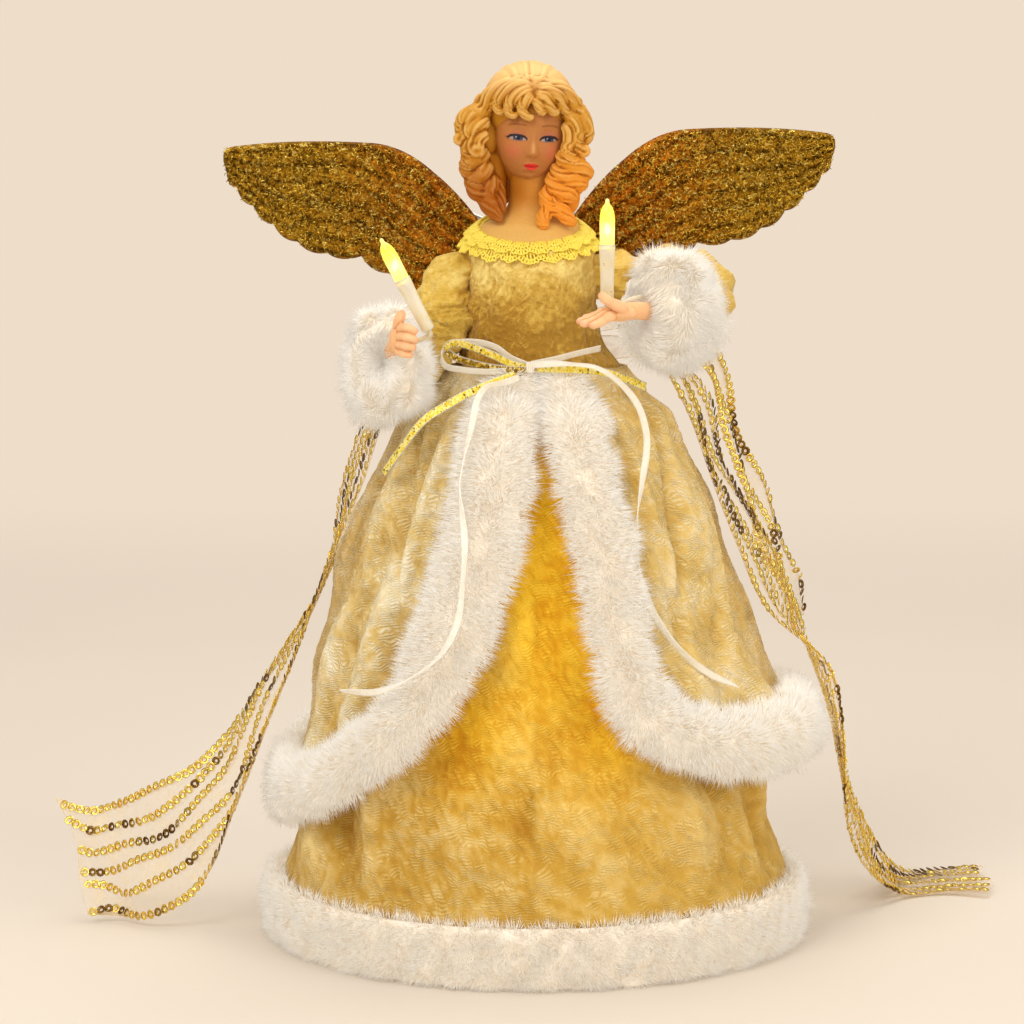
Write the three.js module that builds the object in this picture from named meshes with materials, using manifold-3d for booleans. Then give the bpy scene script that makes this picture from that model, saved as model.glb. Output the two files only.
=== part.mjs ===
// Angel tree topper: a doll in a velvet gown on a hollow cone, with fur trim, wings, arms and lamps.
// Millimetres, +Z up, front -Y, +X the viewer's right; the origin is the middle of the base.
import * as THREE from 'three';
import { mergeVertices } from 'three/addons/utils/BufferGeometryUtils.js';
import Module from 'manifold-3d';

const wasm = await Module();
wasm.setup();

// Gaps
const SEAT_GAP = 0.3; // between pieces that touch
const PIN_GAP = 0.35; // round a pin, a wire or a slider that moves

// Base hoop and cone
const HOOP_RADIUS = 88;
const HOOP_WALL = 2;
const HOOP_FLANGE = 14;
const HOOP_HEIGHT = 20;
const CONE_WALL = 1.3;
const CONE_TOP_RADIUS = 14;
const CONE_BELOW_WAIST = 4;

// Hem fur
const HEM_FUR_DEPTH = 6;
const HEM_FUR_HEIGHT = 22;
const HEM_FUR_LIFT = 0.5;

// Gown
const WAIST_HEIGHT = 194;
const CLOTH = 1.2;
const UNDERSKIRT_BELOW_WAIST = 6;
const UNDERSKIRT_FOLD = 2.2;
const UNDERSKIRT_FOLDS = 9;
const OVERSKIRT_GAP = 7; // between the two skirts' outer faces
const OVERSKIRT_FOLD = 2.4;
const OVERSKIRT_FOLDS = 13;
const OVERSKIRT_TOP_RADIUS = 22;
const OVERSKIRT_FLARE = 8; // outward sweep of the hem at the right side
const TRIM_WIDTH = 23;
const TRIM_TOP_WIDTH = 16;
const TRIM_HEIGHT = 8;
const TRIM_EASE = 1.6; // from the tops of the folds

// Figure above the waist
const FIGURE_X = -2;
const BODICE_LEVELS = [0, 0.1, 0.26, 0.54, 0.8, 1]; // shares of its height where it is shaped
const BODICE_EDGE_HEIGHT = 48.4;
const BODICE_EDGE_SLOPE = 5;
const COLLAR_DROP = 5.8;
const COLLAR_THICKNESS = 0.9;
const COLLAR_SCALLOPS = 14;
const COLLAR_SCALLOP = 1.6;
const TORSO_TOP = 41;
const TORSO_EASE = 0.8; // looseness of the bodice on the torso
const SPIGOT_LENGTH = 10;
const NECK_RADIUS = 6.8;
const HEAD_HEIGHT = 81.5;
const HEAD_SIZE = new THREE.Vector3(12, 13.5, 16.5);
const NOSE_LENGTH = 2.2;

// Waist ribbon and bow
const RIBBON_HEIGHT = 6;
const RIBBON_EASE = 0.6; // between bodice and waist ribbon
const RIBBON_THICKNESS = 1;
const KNOT_SIZE = new THREE.Vector3(4.2, 2.6, 4);
const BOW_LOOP_LENGTH = 23;
const BOW_LOOP_HEIGHT = 11;
const BOW_LOOP_WIDTH = 6;
const SATIN_WIDTH = 3.5;
const GOLD_RIBBON_WIDTH = 5;
const TAIL_THICKNESS = 0.9;

// Sequin streamers
const STREAMER_THICKNESS = 0.8;
const STREAMER_WAIST = 194; // waist that the streamers' edges are drawn for

// Arms
const SHOULDER_HEIGHT = 32.5;
const SHOULDER_Y = 3;
const SHOULDER_X = 21.2;
const ARM_WIRE_RADIUS = 1.1;
const ARM_PIN_LENGTH = 10;
const CUFF_RADIUS = 18;
const CUFF_HOLE = 7.6;
const CUFF_LENGTH = 22;

// Lamps
const LAMP_RADIUS = 2.6;
const LAMP_PLUG_RADIUS = 1.8;
const LAMP_PLUG_LENGTH = 5;
const CANDLE_GLASS = 15;
const SKIRT_GLASS = 8;
const HOLDER_RADIUS = 3.1;
const HOLDER_COLLAR = 7;
const HOLDER_STEM_RADIUS = 2.2;
const CANDLE_STEM = 12;
const SKIRT_STEM = 4;
const SKIRT_LAMP_PROUD = 2;
const LEAD_RADIUS = 0.9;

// Wings
const WING_THICKNESS = 2.4;
const WING_SWEEP = 6; // degrees
const WING_RIGHT_LIFT = 3; // the pair hangs a little askew
const WING_LEFT_LIFT = -1.8;
const WING_HINGE_X = 11;
const WING_WIRE_RADIUS = 0.9;
const BRACKET_WIDTH = 28;
const BRACKET_HEIGHT = 18;
const BRACKET_PLATE = 2.5;
const BRACKET_BOTTOM = 30;
const BARREL_WALL = 1.4;
const BARREL_STANDOFF = 0.4; // plate's back to the bore
const BARREL_INSET = 2; // barrel's ends from the plate's ends

// Battery box, in its own frame against the cone's back wall
const BOX_WIDTH = 34;
const BOX_LENGTH = 60;
const BOX_WALL = 1.5;
const BOX_HEIGHT_ON_CONE = 52;
const BOX_RAIL = 0.8;
const BOX_RAIL_LIP = 1.4;
const LID_THICKNESS = 1.6;
const PAD_THICKNESS = 3.4;
const CELL_ROOM = 0.7; // beside and under the two cells
const CONTACT_ROOM = 3.25; // at each end of the cells
const CELL_BUTTON_RADIUS = 2.75;
const CELL_BUTTON = 1;
const CONTACT_SHEET = 0.5;
const CONTACT_WIDTH = 6;
const SWITCH_LENGTH = 4;
const SWITCH_WIDTH = 3;
const SWITCH_HEIGHT = 3;
const SWITCH_TRAVEL = 4;

// Dependent sizes
const CELL_RADIUS = (BOX_WIDTH / 2 - BOX_WALL - SEAT_GAP - CELL_ROOM) / 2;
const CELL_LENGTH = BOX_LENGTH - 2 * (BOX_WALL + CONTACT_ROOM);
const BOX_DEPTH = BOX_WALL + SEAT_GAP + 2 * CELL_RADIUS + CELL_ROOM;
const coneFoot = HOOP_WALL + SEAT_GAP;
const coneTop = WAIST_HEIGHT - CONE_BELOW_WAIST;
const coneBaseRadius = HOOP_RADIUS - HOOP_WALL - SEAT_GAP;
const coneSlope = (coneBaseRadius - CONE_TOP_RADIUS) / (coneTop - coneFoot);
const coneAngle = Math.atan(coneSlope);
const coneWallAcross = CONE_WALL / Math.cos(coneAngle);
const coneRadius = (z) => coneBaseRadius - coneSlope * (z - coneFoot);
const coneInside = (z) => coneRadius(z) - coneWallAcross;
const holderLength = (stem) => stem + HOLDER_COLLAR;
const lampSeat = (stem) => holderLength(stem) - LAMP_PLUG_LENGTH;
const degrees = THREE.MathUtils.degToRad;
const vector = (x, y, z) => new THREE.Vector3(x, y, z);

// Geometry helpers

// Drops everything but positions, merges shared corners and turns the faces outwards.
function sealed(geometry) {
  const bare = geometry.clone();
  for (const name of Object.keys(bare.attributes)) {
    if (name !== 'position') bare.deleteAttribute(name);
  }
  const merged = mergeVertices(bare, 1e-4);
  const position = merged.attributes.position;
  const corner = (i) => new THREE.Vector3().fromBufferAttribute(position, i);
  const source = merged.index.array;
  const faces = [];
  let volume = 0;
  for (let i = 0; i < source.length; i += 3) {
    const [a, b, c] = [source[i], source[i + 1], source[i + 2]];
    if (a === b || b === c || c === a) continue;
    faces.push([a, b, c]);
    volume += corner(a).dot(corner(b).cross(corner(c)));
  }
  const outward = volume > 0 ? faces : faces.map(([a, b, c]) => [a, c, b]);
  merged.setIndex(outward.flat());
  return merged;
}

function solid(geometry) {
  const closed = sealed(geometry);
  const mesh = new wasm.Mesh({
    numProp: 3,
    vertProperties: new Float32Array(closed.attributes.position.array),
    triVerts: new Uint32Array(closed.index.array),
  });
  return new wasm.Manifold(mesh);
}

function geometryOf(manifold) {
  const mesh = manifold.getMesh();
  const geometry = new THREE.BufferGeometry();
  geometry.setAttribute('position', new THREE.BufferAttribute(new Float32Array(mesh.vertProperties), 3));
  geometry.setIndex(Array.from(mesh.triVerts));
  return geometry;
}

const sum = (whole, next) => whole.add(solid(next));
const difference = (whole, next) => whole.subtract(solid(next));
const join = (first, ...rest) => geometryOf(rest.reduce(sum, solid(first)));
const cut = (first, ...rest) => geometryOf(rest.reduce(difference, solid(first)));
const common = (first, second) => geometryOf(solid(first).intersect(solid(second)));

// Value at u between 0 and 1 along evenly spaced numbers.
function along(values, u) {
  const place = THREE.MathUtils.clamp(u, 0, 1) * (values.length - 1);
  const step = Math.min(Math.floor(place), values.length - 2);
  return THREE.MathUtils.lerp(values[step], values[step + 1], place - step);
}

// Smooth curve through [x, value] pairs, flat beyond both ends.
function curveThrough(pairs) {
  const slope = (i) => {
    const before = pairs[Math.max(i - 1, 0)];
    const after = pairs[Math.min(i + 1, pairs.length - 1)];
    return (after[1] - before[1]) / (after[0] - before[0]);
  };
  return (x) => {
    if (x <= pairs[0][0]) return pairs[0][1];
    if (x >= pairs.at(-1)[0]) return pairs.at(-1)[1];
    const i = pairs.findIndex((pair) => pair[0] > x) - 1;
    const span = pairs[i + 1][0] - pairs[i][0];
    const t = (x - pairs[i][0]) / span;
    const rise = t * t * (3 - 2 * t);
    return pairs[i][1] * (1 - rise) + pairs[i + 1][1] * rise
      + span * slope(i) * t * (1 - t) * (1 - t) - span * slope(i + 1) * t * t * (1 - t);
  };
}

// Closed body through rings of as many points each, capped at both ends.
function loft(rings) {
  const count = rings[0].length;
  const points = rings.flat();
  const faces = [];
  for (let i = 0; i < rings.length - 1; i += 1) {
    for (let j = 0; j < count; j += 1) {
      const a = i * count + j;
      const b = i * count + (j + 1) % count;
      faces.push(a, b, b + count, a, b + count, a + count);
    }
  }
  const last = (rings.length - 1) * count;
  const centre = (ring) => ring.reduce((sum, p) => sum.add(p), vector(0, 0, 0)).divideScalar(count);
  const start = points.push(centre(rings[0])) - 1;
  const end = points.push(centre(rings.at(-1))) - 1;
  for (let j = 0; j < count; j += 1) {
    const next = (j + 1) % count;
    faces.push(start, next, j, end, last + j, last + next);
  }
  const geometry = new THREE.BufferGeometry().setFromPoints(points);
  geometry.setIndex(faces);
  return geometry;
}

function ellipse(halfX, halfY, z, count, centre = vector(0, 0, 0)) {
  return Array.from({ length: count }, (_, k) => {
    const angle = (2 * Math.PI * k) / count;
    return vector(centre.x + halfX * Math.sin(angle), centre.y - halfY * Math.cos(angle), z);
  });
}

// Round body along a smooth route, with radii spread evenly from end to end.
function limb(route, radii, sides, steps) {
  const curve = new THREE.CatmullRomCurve3(route);
  const frames = curve.computeFrenetFrames(steps, false);
  const rings = [];
  for (let i = 0; i <= steps; i += 1) {
    const centre = curve.getPointAt(i / steps);
    const radius = along(radii, i / steps);
    rings.push(Array.from({ length: sides }, (_, k) => {
      const angle = (2 * Math.PI * k) / sides;
      return centre.clone()
        .addScaledVector(frames.normals[i], radius * Math.cos(angle))
        .addScaledVector(frames.binormals[i], radius * Math.sin(angle));
    }));
  }
  return loft(rings);
}

// Wire of constant radius along a smooth route.
function wire(route, radius, sides, steps) {
  const corners = Array.from({ length: sides }, (_, k) => {
    const angle = (2 * Math.PI * k) / sides;
    return new THREE.Vector2(radius * Math.cos(angle), radius * Math.sin(angle));
  });
  const extrudePath = new THREE.CatmullRomCurve3(route);
  return new THREE.ExtrudeGeometry(new THREE.Shape(corners), { steps, extrudePath });
}

// Body turned about Z from [radius, z] pairs.
function turned(profile, segments) {
  const points = profile.map(([radius, z]) => new THREE.Vector2(radius, z));
  return new THREE.LatheGeometry(points, segments).rotateX(Math.PI / 2);
}

// Closed body between two faces, each given as a point for (u, v); a closed sheet goes round in u.
function sheet(columns, rows, closed, outer, inner) {
  const width = closed ? columns : columns + 1;
  const points = [];
  for (const face of [outer, inner]) {
    for (let i = 0; i <= rows; i += 1) {
      for (let j = 0; j < width; j += 1) points.push(face(j / columns, i / rows));
    }
  }
  const at = (layer, i, j) => (layer * (rows + 1) + i) * width + (j % width);
  const faces = [];
  const quad = (a, b, c, d) => faces.push(a, b, c, a, c, d);
  for (let j = 0; j < columns; j += 1) {
    for (let i = 0; i < rows; i += 1) {
      quad(at(0, i, j), at(0, i, j + 1), at(0, i + 1, j + 1), at(0, i + 1, j));
      quad(at(1, i, j), at(1, i + 1, j), at(1, i + 1, j + 1), at(1, i, j + 1));
    }
    quad(at(0, 0, j), at(1, 0, j), at(1, 0, j + 1), at(0, 0, j + 1));
    quad(at(0, rows, j), at(0, rows, j + 1), at(1, rows, j + 1), at(1, rows, j));
  }
  for (let i = 0; i < rows && !closed; i += 1) {
    quad(at(0, i, 0), at(0, i + 1, 0), at(1, i + 1, 0), at(1, i, 0));
    quad(at(0, i, columns), at(1, i, columns), at(1, i + 1, columns), at(0, i + 1, columns));
  }
  const geometry = new THREE.BufferGeometry().setFromPoints(points);
  geometry.setIndex(faces);
  return geometry;
}

// Matrix that stands a piece's Z along a direction at a point.
function standing(origin, direction) {
  const turn = new THREE.Quaternion().setFromUnitVectors(vector(0, 0, 1), direction.clone().normalize());
  return new THREE.Matrix4().compose(origin, turn, vector(1, 1, 1));
}

function block(low, high) {
  const size = high.clone().sub(low);
  const centre = low.clone().add(high).multiplyScalar(0.5);
  return new THREE.BoxGeometry(size.x, size.y, size.z).translate(centre.x, centre.y, centre.z);
}

// Point on the gown's outside at an angle from the front towards +X.
const roundFigure = (radius, angle, z) => vector(radius * Math.sin(angle), -radius * Math.cos(angle), z);

// Finishes
const finish = (color, roughness, metalness = 0) => ({ color, roughness, metalness });
const VELVET = finish(0xd8b45c, 0.7);
const UNDER_VELVET = finish(0xe8b040, 0.65);
const FUR = finish(0xf6f1e8, 0.95);
const SKIN = finish(0xe9b48c, 0.5);
const HAIR = finish(0xe0a24c, 0.45);
const TINSEL = finish(0x8a6a1c, 0.4, 0.8);
const LACE = finish(0xe6c528, 0.5, 0.3);
const SATIN = finish(0xf5f0dc, 0.35);
const GOLD_RIBBON = finish(0xc99a28, 0.35, 0.7);
const SEQUIN = finish(0xcf9f3a, 0.3, 0.8);
const CLEAR_WHITE = finish(0xe8e4dc, 0.4);
const GLOW = finish(0xffd860, 0.2);
const WHITE_PLASTIC = finish(0xf0f0ec, 0.45);
const STEEL = finish(0xb8b8bc, 0.3, 0.9);
const CELL = finish(0x40464c, 0.4, 0.4);
const FOAM = finish(0x8c8c88, 0.9);

const model = new THREE.Group();
const figure = new THREE.Group();
figure.position.set(FIGURE_X, 0, WAIST_HEIGHT);
model.add(figure);

function add(parent, name, geometry, look) {
  const mesh = new THREE.Mesh(sealed(geometry), new THREE.MeshStandardMaterial(look));
  mesh.name = name;
  parent.add(mesh);
  return mesh;
}

// Gown surfaces

const gownFall = curveThrough([
  [0, 0], [0.024, 0.12], [0.072, 0.24], [0.125, 0.318], [0.227, 0.442], [0.334, 0.542], [0.435, 0.632],
  [0.537, 0.716], [0.644, 0.787], [0.763, 0.85], [0.853, 0.892], [0.912, 0.927], [1, 1],
]);
const underskirtTop = WAIST_HEIGHT - UNDERSKIRT_BELOW_WAIST;
const underskirtFoot = HOOP_HEIGHT + SEAT_GAP;
const underskirtTopRadius = coneRadius(underskirtTop) + SEAT_GAP + CLOTH;
const underskirtFootRadius = HOOP_RADIUS - HOOP_WALL / 2 + CLOTH / 2;

function underskirtMean(z) {
  const fall = (underskirtTop - z) / (underskirtTop - underskirtFoot);
  return underskirtTopRadius + (underskirtFootRadius - underskirtTopRadius) * gownFall(fall);
}

function underskirtRadius(angle, z) {
  const fall = THREE.MathUtils.clamp((underskirtTop - z) / (underskirtTop - underskirtFoot), 0, 1);
  const depth = UNDERSKIRT_FOLD * Math.sin(Math.PI * fall ** 1.3);
  const wave = 0.6 * Math.cos(UNDERSKIRT_FOLDS * angle + 0.7)
    + 0.4 * Math.cos((UNDERSKIRT_FOLDS + 4) * angle + 2);
  return underskirtMean(z) + depth * wave;
}

// The overskirt draws in from its fall to the waist over its first stretch.
const OVERSKIRT_GATHER = 14;
const GATHER_SPACING = 1.5; // rows lie closer together towards the waist
const FLARE_ANGLE = degrees(85);
const FLARE_SPREAD = degrees(32);
const FLARE_START = 84; // below the waist
const FLARE_FULL = 122;

// How much wider the overskirt stands at its sides than in front, by depth below the waist.
const hipSpread = curveThrough([
  [0, 11.2], [5, 14.4], [11, 11], [19, 6.5], [27, 5], [38, 4.5], [52, 4.5], [61, 3.5], [75, 1.5], [95, 0.8], [112, 0],
]);

// Radius through the middle of the folds, and how deep the folds are there.
function overskirtMean(angle, z) {
  const below = WAIST_HEIGHT - z;
  const gather = THREE.MathUtils.smoothstep(below, 0, OVERSKIRT_GATHER);
  const open = underskirtMean(Math.min(z, WAIST_HEIGHT - OVERSKIRT_GATHER / 2)) + OVERSKIRT_GAP;
  const mean = THREE.MathUtils.lerp(OVERSKIRT_TOP_RADIUS, open, gather);
  const turn = (angle - FLARE_ANGLE) / FLARE_SPREAD;
  const lift = THREE.MathUtils.smoothstep(below, FLARE_START, FLARE_FULL);
  const flare = OVERSKIRT_FLARE * Math.exp(-turn * turn) * lift;
  return mean + flare + hipSpread(below) * Math.sin(angle) ** 2;
}

const overskirtDepth = (z) => OVERSKIRT_FOLD * THREE.MathUtils.smoothstep(WAIST_HEIGHT - z, 0, 60);

// Share of the way round from the opening's right side to its left side.
function overskirtShare(angle, z) {
  const below = WAIST_HEIGHT - z;
  const start = degrees(openingRight(below));
  const end = degrees(openingLeft(below));
  return THREE.MathUtils.clamp((THREE.MathUtils.euclideanModulo(angle, 2 * Math.PI) - start) / (end - start), 0, 1);
}

// Folds fan out from the waist, some deeper and some wider than others.
function overskirtRadius(angle, z) {
  const share = overskirtShare(angle, z);
  const turn = 2 * Math.PI * (OVERSKIRT_FOLDS * share + 0.2 * Math.sin(4 * Math.PI * share + 0.8));
  const size = 1 + 0.25 * Math.cos(6 * Math.PI * share + 1);
  return overskirtMean(angle, z) + overskirtDepth(z) * size * Math.cos(turn);
}

// Edges of the overskirt: the opening's sides by depth below the waist, and the hem's height by angle.
const openingLeft = curveThrough([
  [3, 341], [23, 344], [38, 344.4], [54, 342.7], [70, 341], [85, 338], [100, 334], [112, 327],
]);
const openingRight = curveThrough([
  [3, 21], [23, 15], [38, 17.8], [54, 19.5], [70, 21], [85, 21.5], [100, 24], [112, 30],
]);
const hemHeight = curveThrough([
  [30, 82], [45, 76], [60, 75], [90, 77], [135, 66], [180, 62], [225, 60], [270, 56], [284, 57],
  [300, 61], [315, 71],
  [327, 82],
]);

function overskirtPlace(u, v) {
  const hem = hemHeight(THREE.MathUtils.lerp(openingRight(112), openingLeft(112), u));
  const z = THREE.MathUtils.lerp(WAIST_HEIGHT, hem, v ** GATHER_SPACING);
  const below = WAIST_HEIGHT - z;
  const angle = degrees(THREE.MathUtils.lerp(openingRight(below), openingLeft(below), u));
  return { angle, z };
}

function makeGown() {
  const underskirt = (inset) => (u, v) => {
    const angle = 2 * Math.PI * u;
    const z = THREE.MathUtils.lerp(underskirtTop, underskirtFoot, v ** GATHER_SPACING);
    return roundFigure(underskirtRadius(angle, z) - inset, angle, z);
  };
  add(model, 'underskirt', sheet(42, 7, true, underskirt(0), underskirt(CLOTH)), UNDER_VELVET);

  const overskirt = (inset) => (u, v) => {
    const { angle, z } = overskirtPlace(u, v);
    return roundFigure(overskirtRadius(angle, z) - inset, angle, z);
  };
  add(model, 'overskirt', sheet(4 * OVERSKIRT_FOLDS, 6, false, overskirt(0), overskirt(CLOTH)), VELVET);
}

// Fur strip along the overskirt's edge, from the waist down one side, round the hem and up the other side.
function makeTrim() {
  const sideDepths = [4, 20, 38, 56, 74, 92, 106];
  const hemAngles = [42, 60, 80, 105, 135, 180, 225, 255, 280, 300, 316];
  const route = new THREE.CatmullRomCurve3([
    ...sideDepths.map((below) => vector(openingRight(below), WAIST_HEIGHT - below, 0)),
    ...hemAngles.map((angle) => vector(angle, hemHeight(angle), 0)),
    ...sideDepths.toReversed().map((below) => vector(openingLeft(below), WAIST_HEIGHT - below, 0)),
  ], false, 'centripetal');
  const place = (u, v, height) => {
    const at = route.getPoint(u);
    const heading = route.getTangent(u);
    const radius = overskirtRadius(degrees(at.x), at.y);
    const run = new THREE.Vector2(degrees(heading.x) * radius, heading.y).normalize();
    const below = WAIST_HEIGHT - at.y;
    const width = THREE.MathUtils.lerp(TRIM_TOP_WIDTH, TRIM_WIDTH, THREE.MathUtils.smoothstep(below, 0, 45));
    const side = (v - 0.5) * width;
    const angle = degrees(at.x) - (side * run.y) / radius;
    const z = Math.min(at.y + side * run.x, WAIST_HEIGHT - SEAT_GAP);
    return roundFigure(overskirtMean(angle, z) + overskirtDepth(z) + TRIM_EASE + height, angle, z);
  };
  const crown = (v) => 1 + (TRIM_HEIGHT - 1) * Math.sqrt(Math.max(0, 1 - (2 * v - 1) ** 2));
  const outer = (u, v) => place(u, v, crown(v));
  const inner = (u, v) => place(u, v, 0);
  add(model, 'overskirt_trim', sheet(56, 3, false, outer, inner), FUR);
}

// Base: hoop, hem fur and cone with its lamp holes

const SKIRT_LAMPS = [
  { angle: degrees(-32), z: 84 },
  { angle: degrees(32), z: 84 },
  { angle: degrees(5), z: 126 },
];

// Skirt lamps point straight out through the cone; the frame's origin is the holder's inner end.
function skirtLampFrame({ angle, z }) {
  const direction = roundFigure(1, angle, 0);
  const start = coneRadius(z) + SKIRT_LAMP_PROUD - holderLength(SKIRT_STEM);
  return standing(roundFigure(start, angle, z), direction);
}

function makeBase() {
  const flangeInside = HOOP_RADIUS - HOOP_FLANGE;
  const wallInside = HOOP_RADIUS - HOOP_WALL;
  add(model, 'hem_hoop', turned([
    [flangeInside, 0], [HOOP_RADIUS, 0], [HOOP_RADIUS, HOOP_HEIGHT], [wallInside, HOOP_HEIGHT],
    [wallInside, HOOP_WALL], [flangeInside, HOOP_WALL], [flangeInside, 0],
  ], 36), WHITE_PLASTIC);

  const furInside = HOOP_RADIUS + SEAT_GAP;
  const furOutside = furInside + HEM_FUR_DEPTH;
  const furTop = HEM_FUR_LIFT + HEM_FUR_HEIGHT;
  const bevel = HEM_FUR_DEPTH / 3;
  add(model, 'hem_fur', turned([
    [furInside, HEM_FUR_LIFT], [furOutside - bevel, HEM_FUR_LIFT], [furOutside, HEM_FUR_LIFT + 2 * bevel],
    [furOutside, furTop - 2 * bevel], [furOutside - bevel, furTop - bevel / 2],
    [furInside + bevel / 2, furTop],
    [furInside, furTop - bevel], [furInside, HEM_FUR_LIFT],
  ], 36), FUR);

  const shell = turned([
    [coneInside(coneFoot), coneFoot], [coneBaseRadius, coneFoot], [CONE_TOP_RADIUS, coneTop],
    [coneInside(coneTop), coneTop], [coneInside(coneFoot), coneFoot],
  ], 36);
  const holes = SKIRT_LAMPS.map((lamp) => new THREE.CylinderGeometry(
    HOLDER_RADIUS + SEAT_GAP, HOLDER_RADIUS + SEAT_GAP, 4 * HOLDER_COLLAR, 12,
  ).rotateX(Math.PI / 2).applyMatrix4(skirtLampFrame(lamp)));
  add(model, 'base_cone', cut(shell, ...holes), CLEAR_WHITE);
}

// Lamps and holders stand on Z from the holder's lower end

function lampHolder(stem, grow = 0) {
  const top = holderLength(stem);
  const outside = [
    [0, -grow], [HOLDER_STEM_RADIUS + grow, -grow], [HOLDER_STEM_RADIUS + grow, stem - grow],
    [HOLDER_RADIUS + grow, stem + HOLDER_COLLAR / 8 - grow], [HOLDER_RADIUS + grow, top + grow],
  ];
  const boreRadius = LAMP_PLUG_RADIUS + SEAT_GAP;
  const bore = [[boreRadius, top], [boreRadius, lampSeat(stem)], [0, lampSeat(stem)]];
  return turned(grow ? [...outside, [0, top + grow]] : [...outside, ...bore], 8);
}

function lamp(stem, glass) {
  const foot = lampSeat(stem) + SEAT_GAP;
  const neck = holderLength(stem) + SEAT_GAP;
  const tip = neck + glass;
  return turned([
    [0, foot], [LAMP_PLUG_RADIUS, foot], [LAMP_PLUG_RADIUS, neck], [LAMP_RADIUS, neck],
    [LAMP_RADIUS, tip - glass * 0.4], [LAMP_RADIUS * 0.7, tip - glass * 0.22],
    [LAMP_RADIUS * 0.25, tip - glass * 0.1],
    [0, tip],
  ], 8);
}

function makeSkirtLamps() {
  SKIRT_LAMPS.forEach((place, i) => {
    const matrix = skirtLampFrame(place);
    add(model, `skirt_lamp_holder_${i + 1}`, lampHolder(SKIRT_STEM).applyMatrix4(matrix), CLEAR_WHITE);
    add(model, `skirt_lamp_${i + 1}`, lamp(SKIRT_STEM, SKIRT_GLASS).applyMatrix4(matrix), GLOW);
  });
}

// Battery box: its back lies along the cone's back wall, its lid faces the cone's axis

const boxFrame = new THREE.Group();
boxFrame.rotation.x = coneAngle;
boxFrame.position.set(0, coneInside(BOX_HEIGHT_ON_CONE), BOX_HEIGHT_ON_CONE)
  .add(vector(0, -Math.cos(coneAngle), -Math.sin(coneAngle)).multiplyScalar(PAD_THICKNESS));
boxFrame.updateMatrix();
model.add(boxFrame);
const boxLeads = { left: -BOX_WIDTH / 2 + 5, right: BOX_WIDTH / 2 - 5, y: -3.2 };

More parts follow.
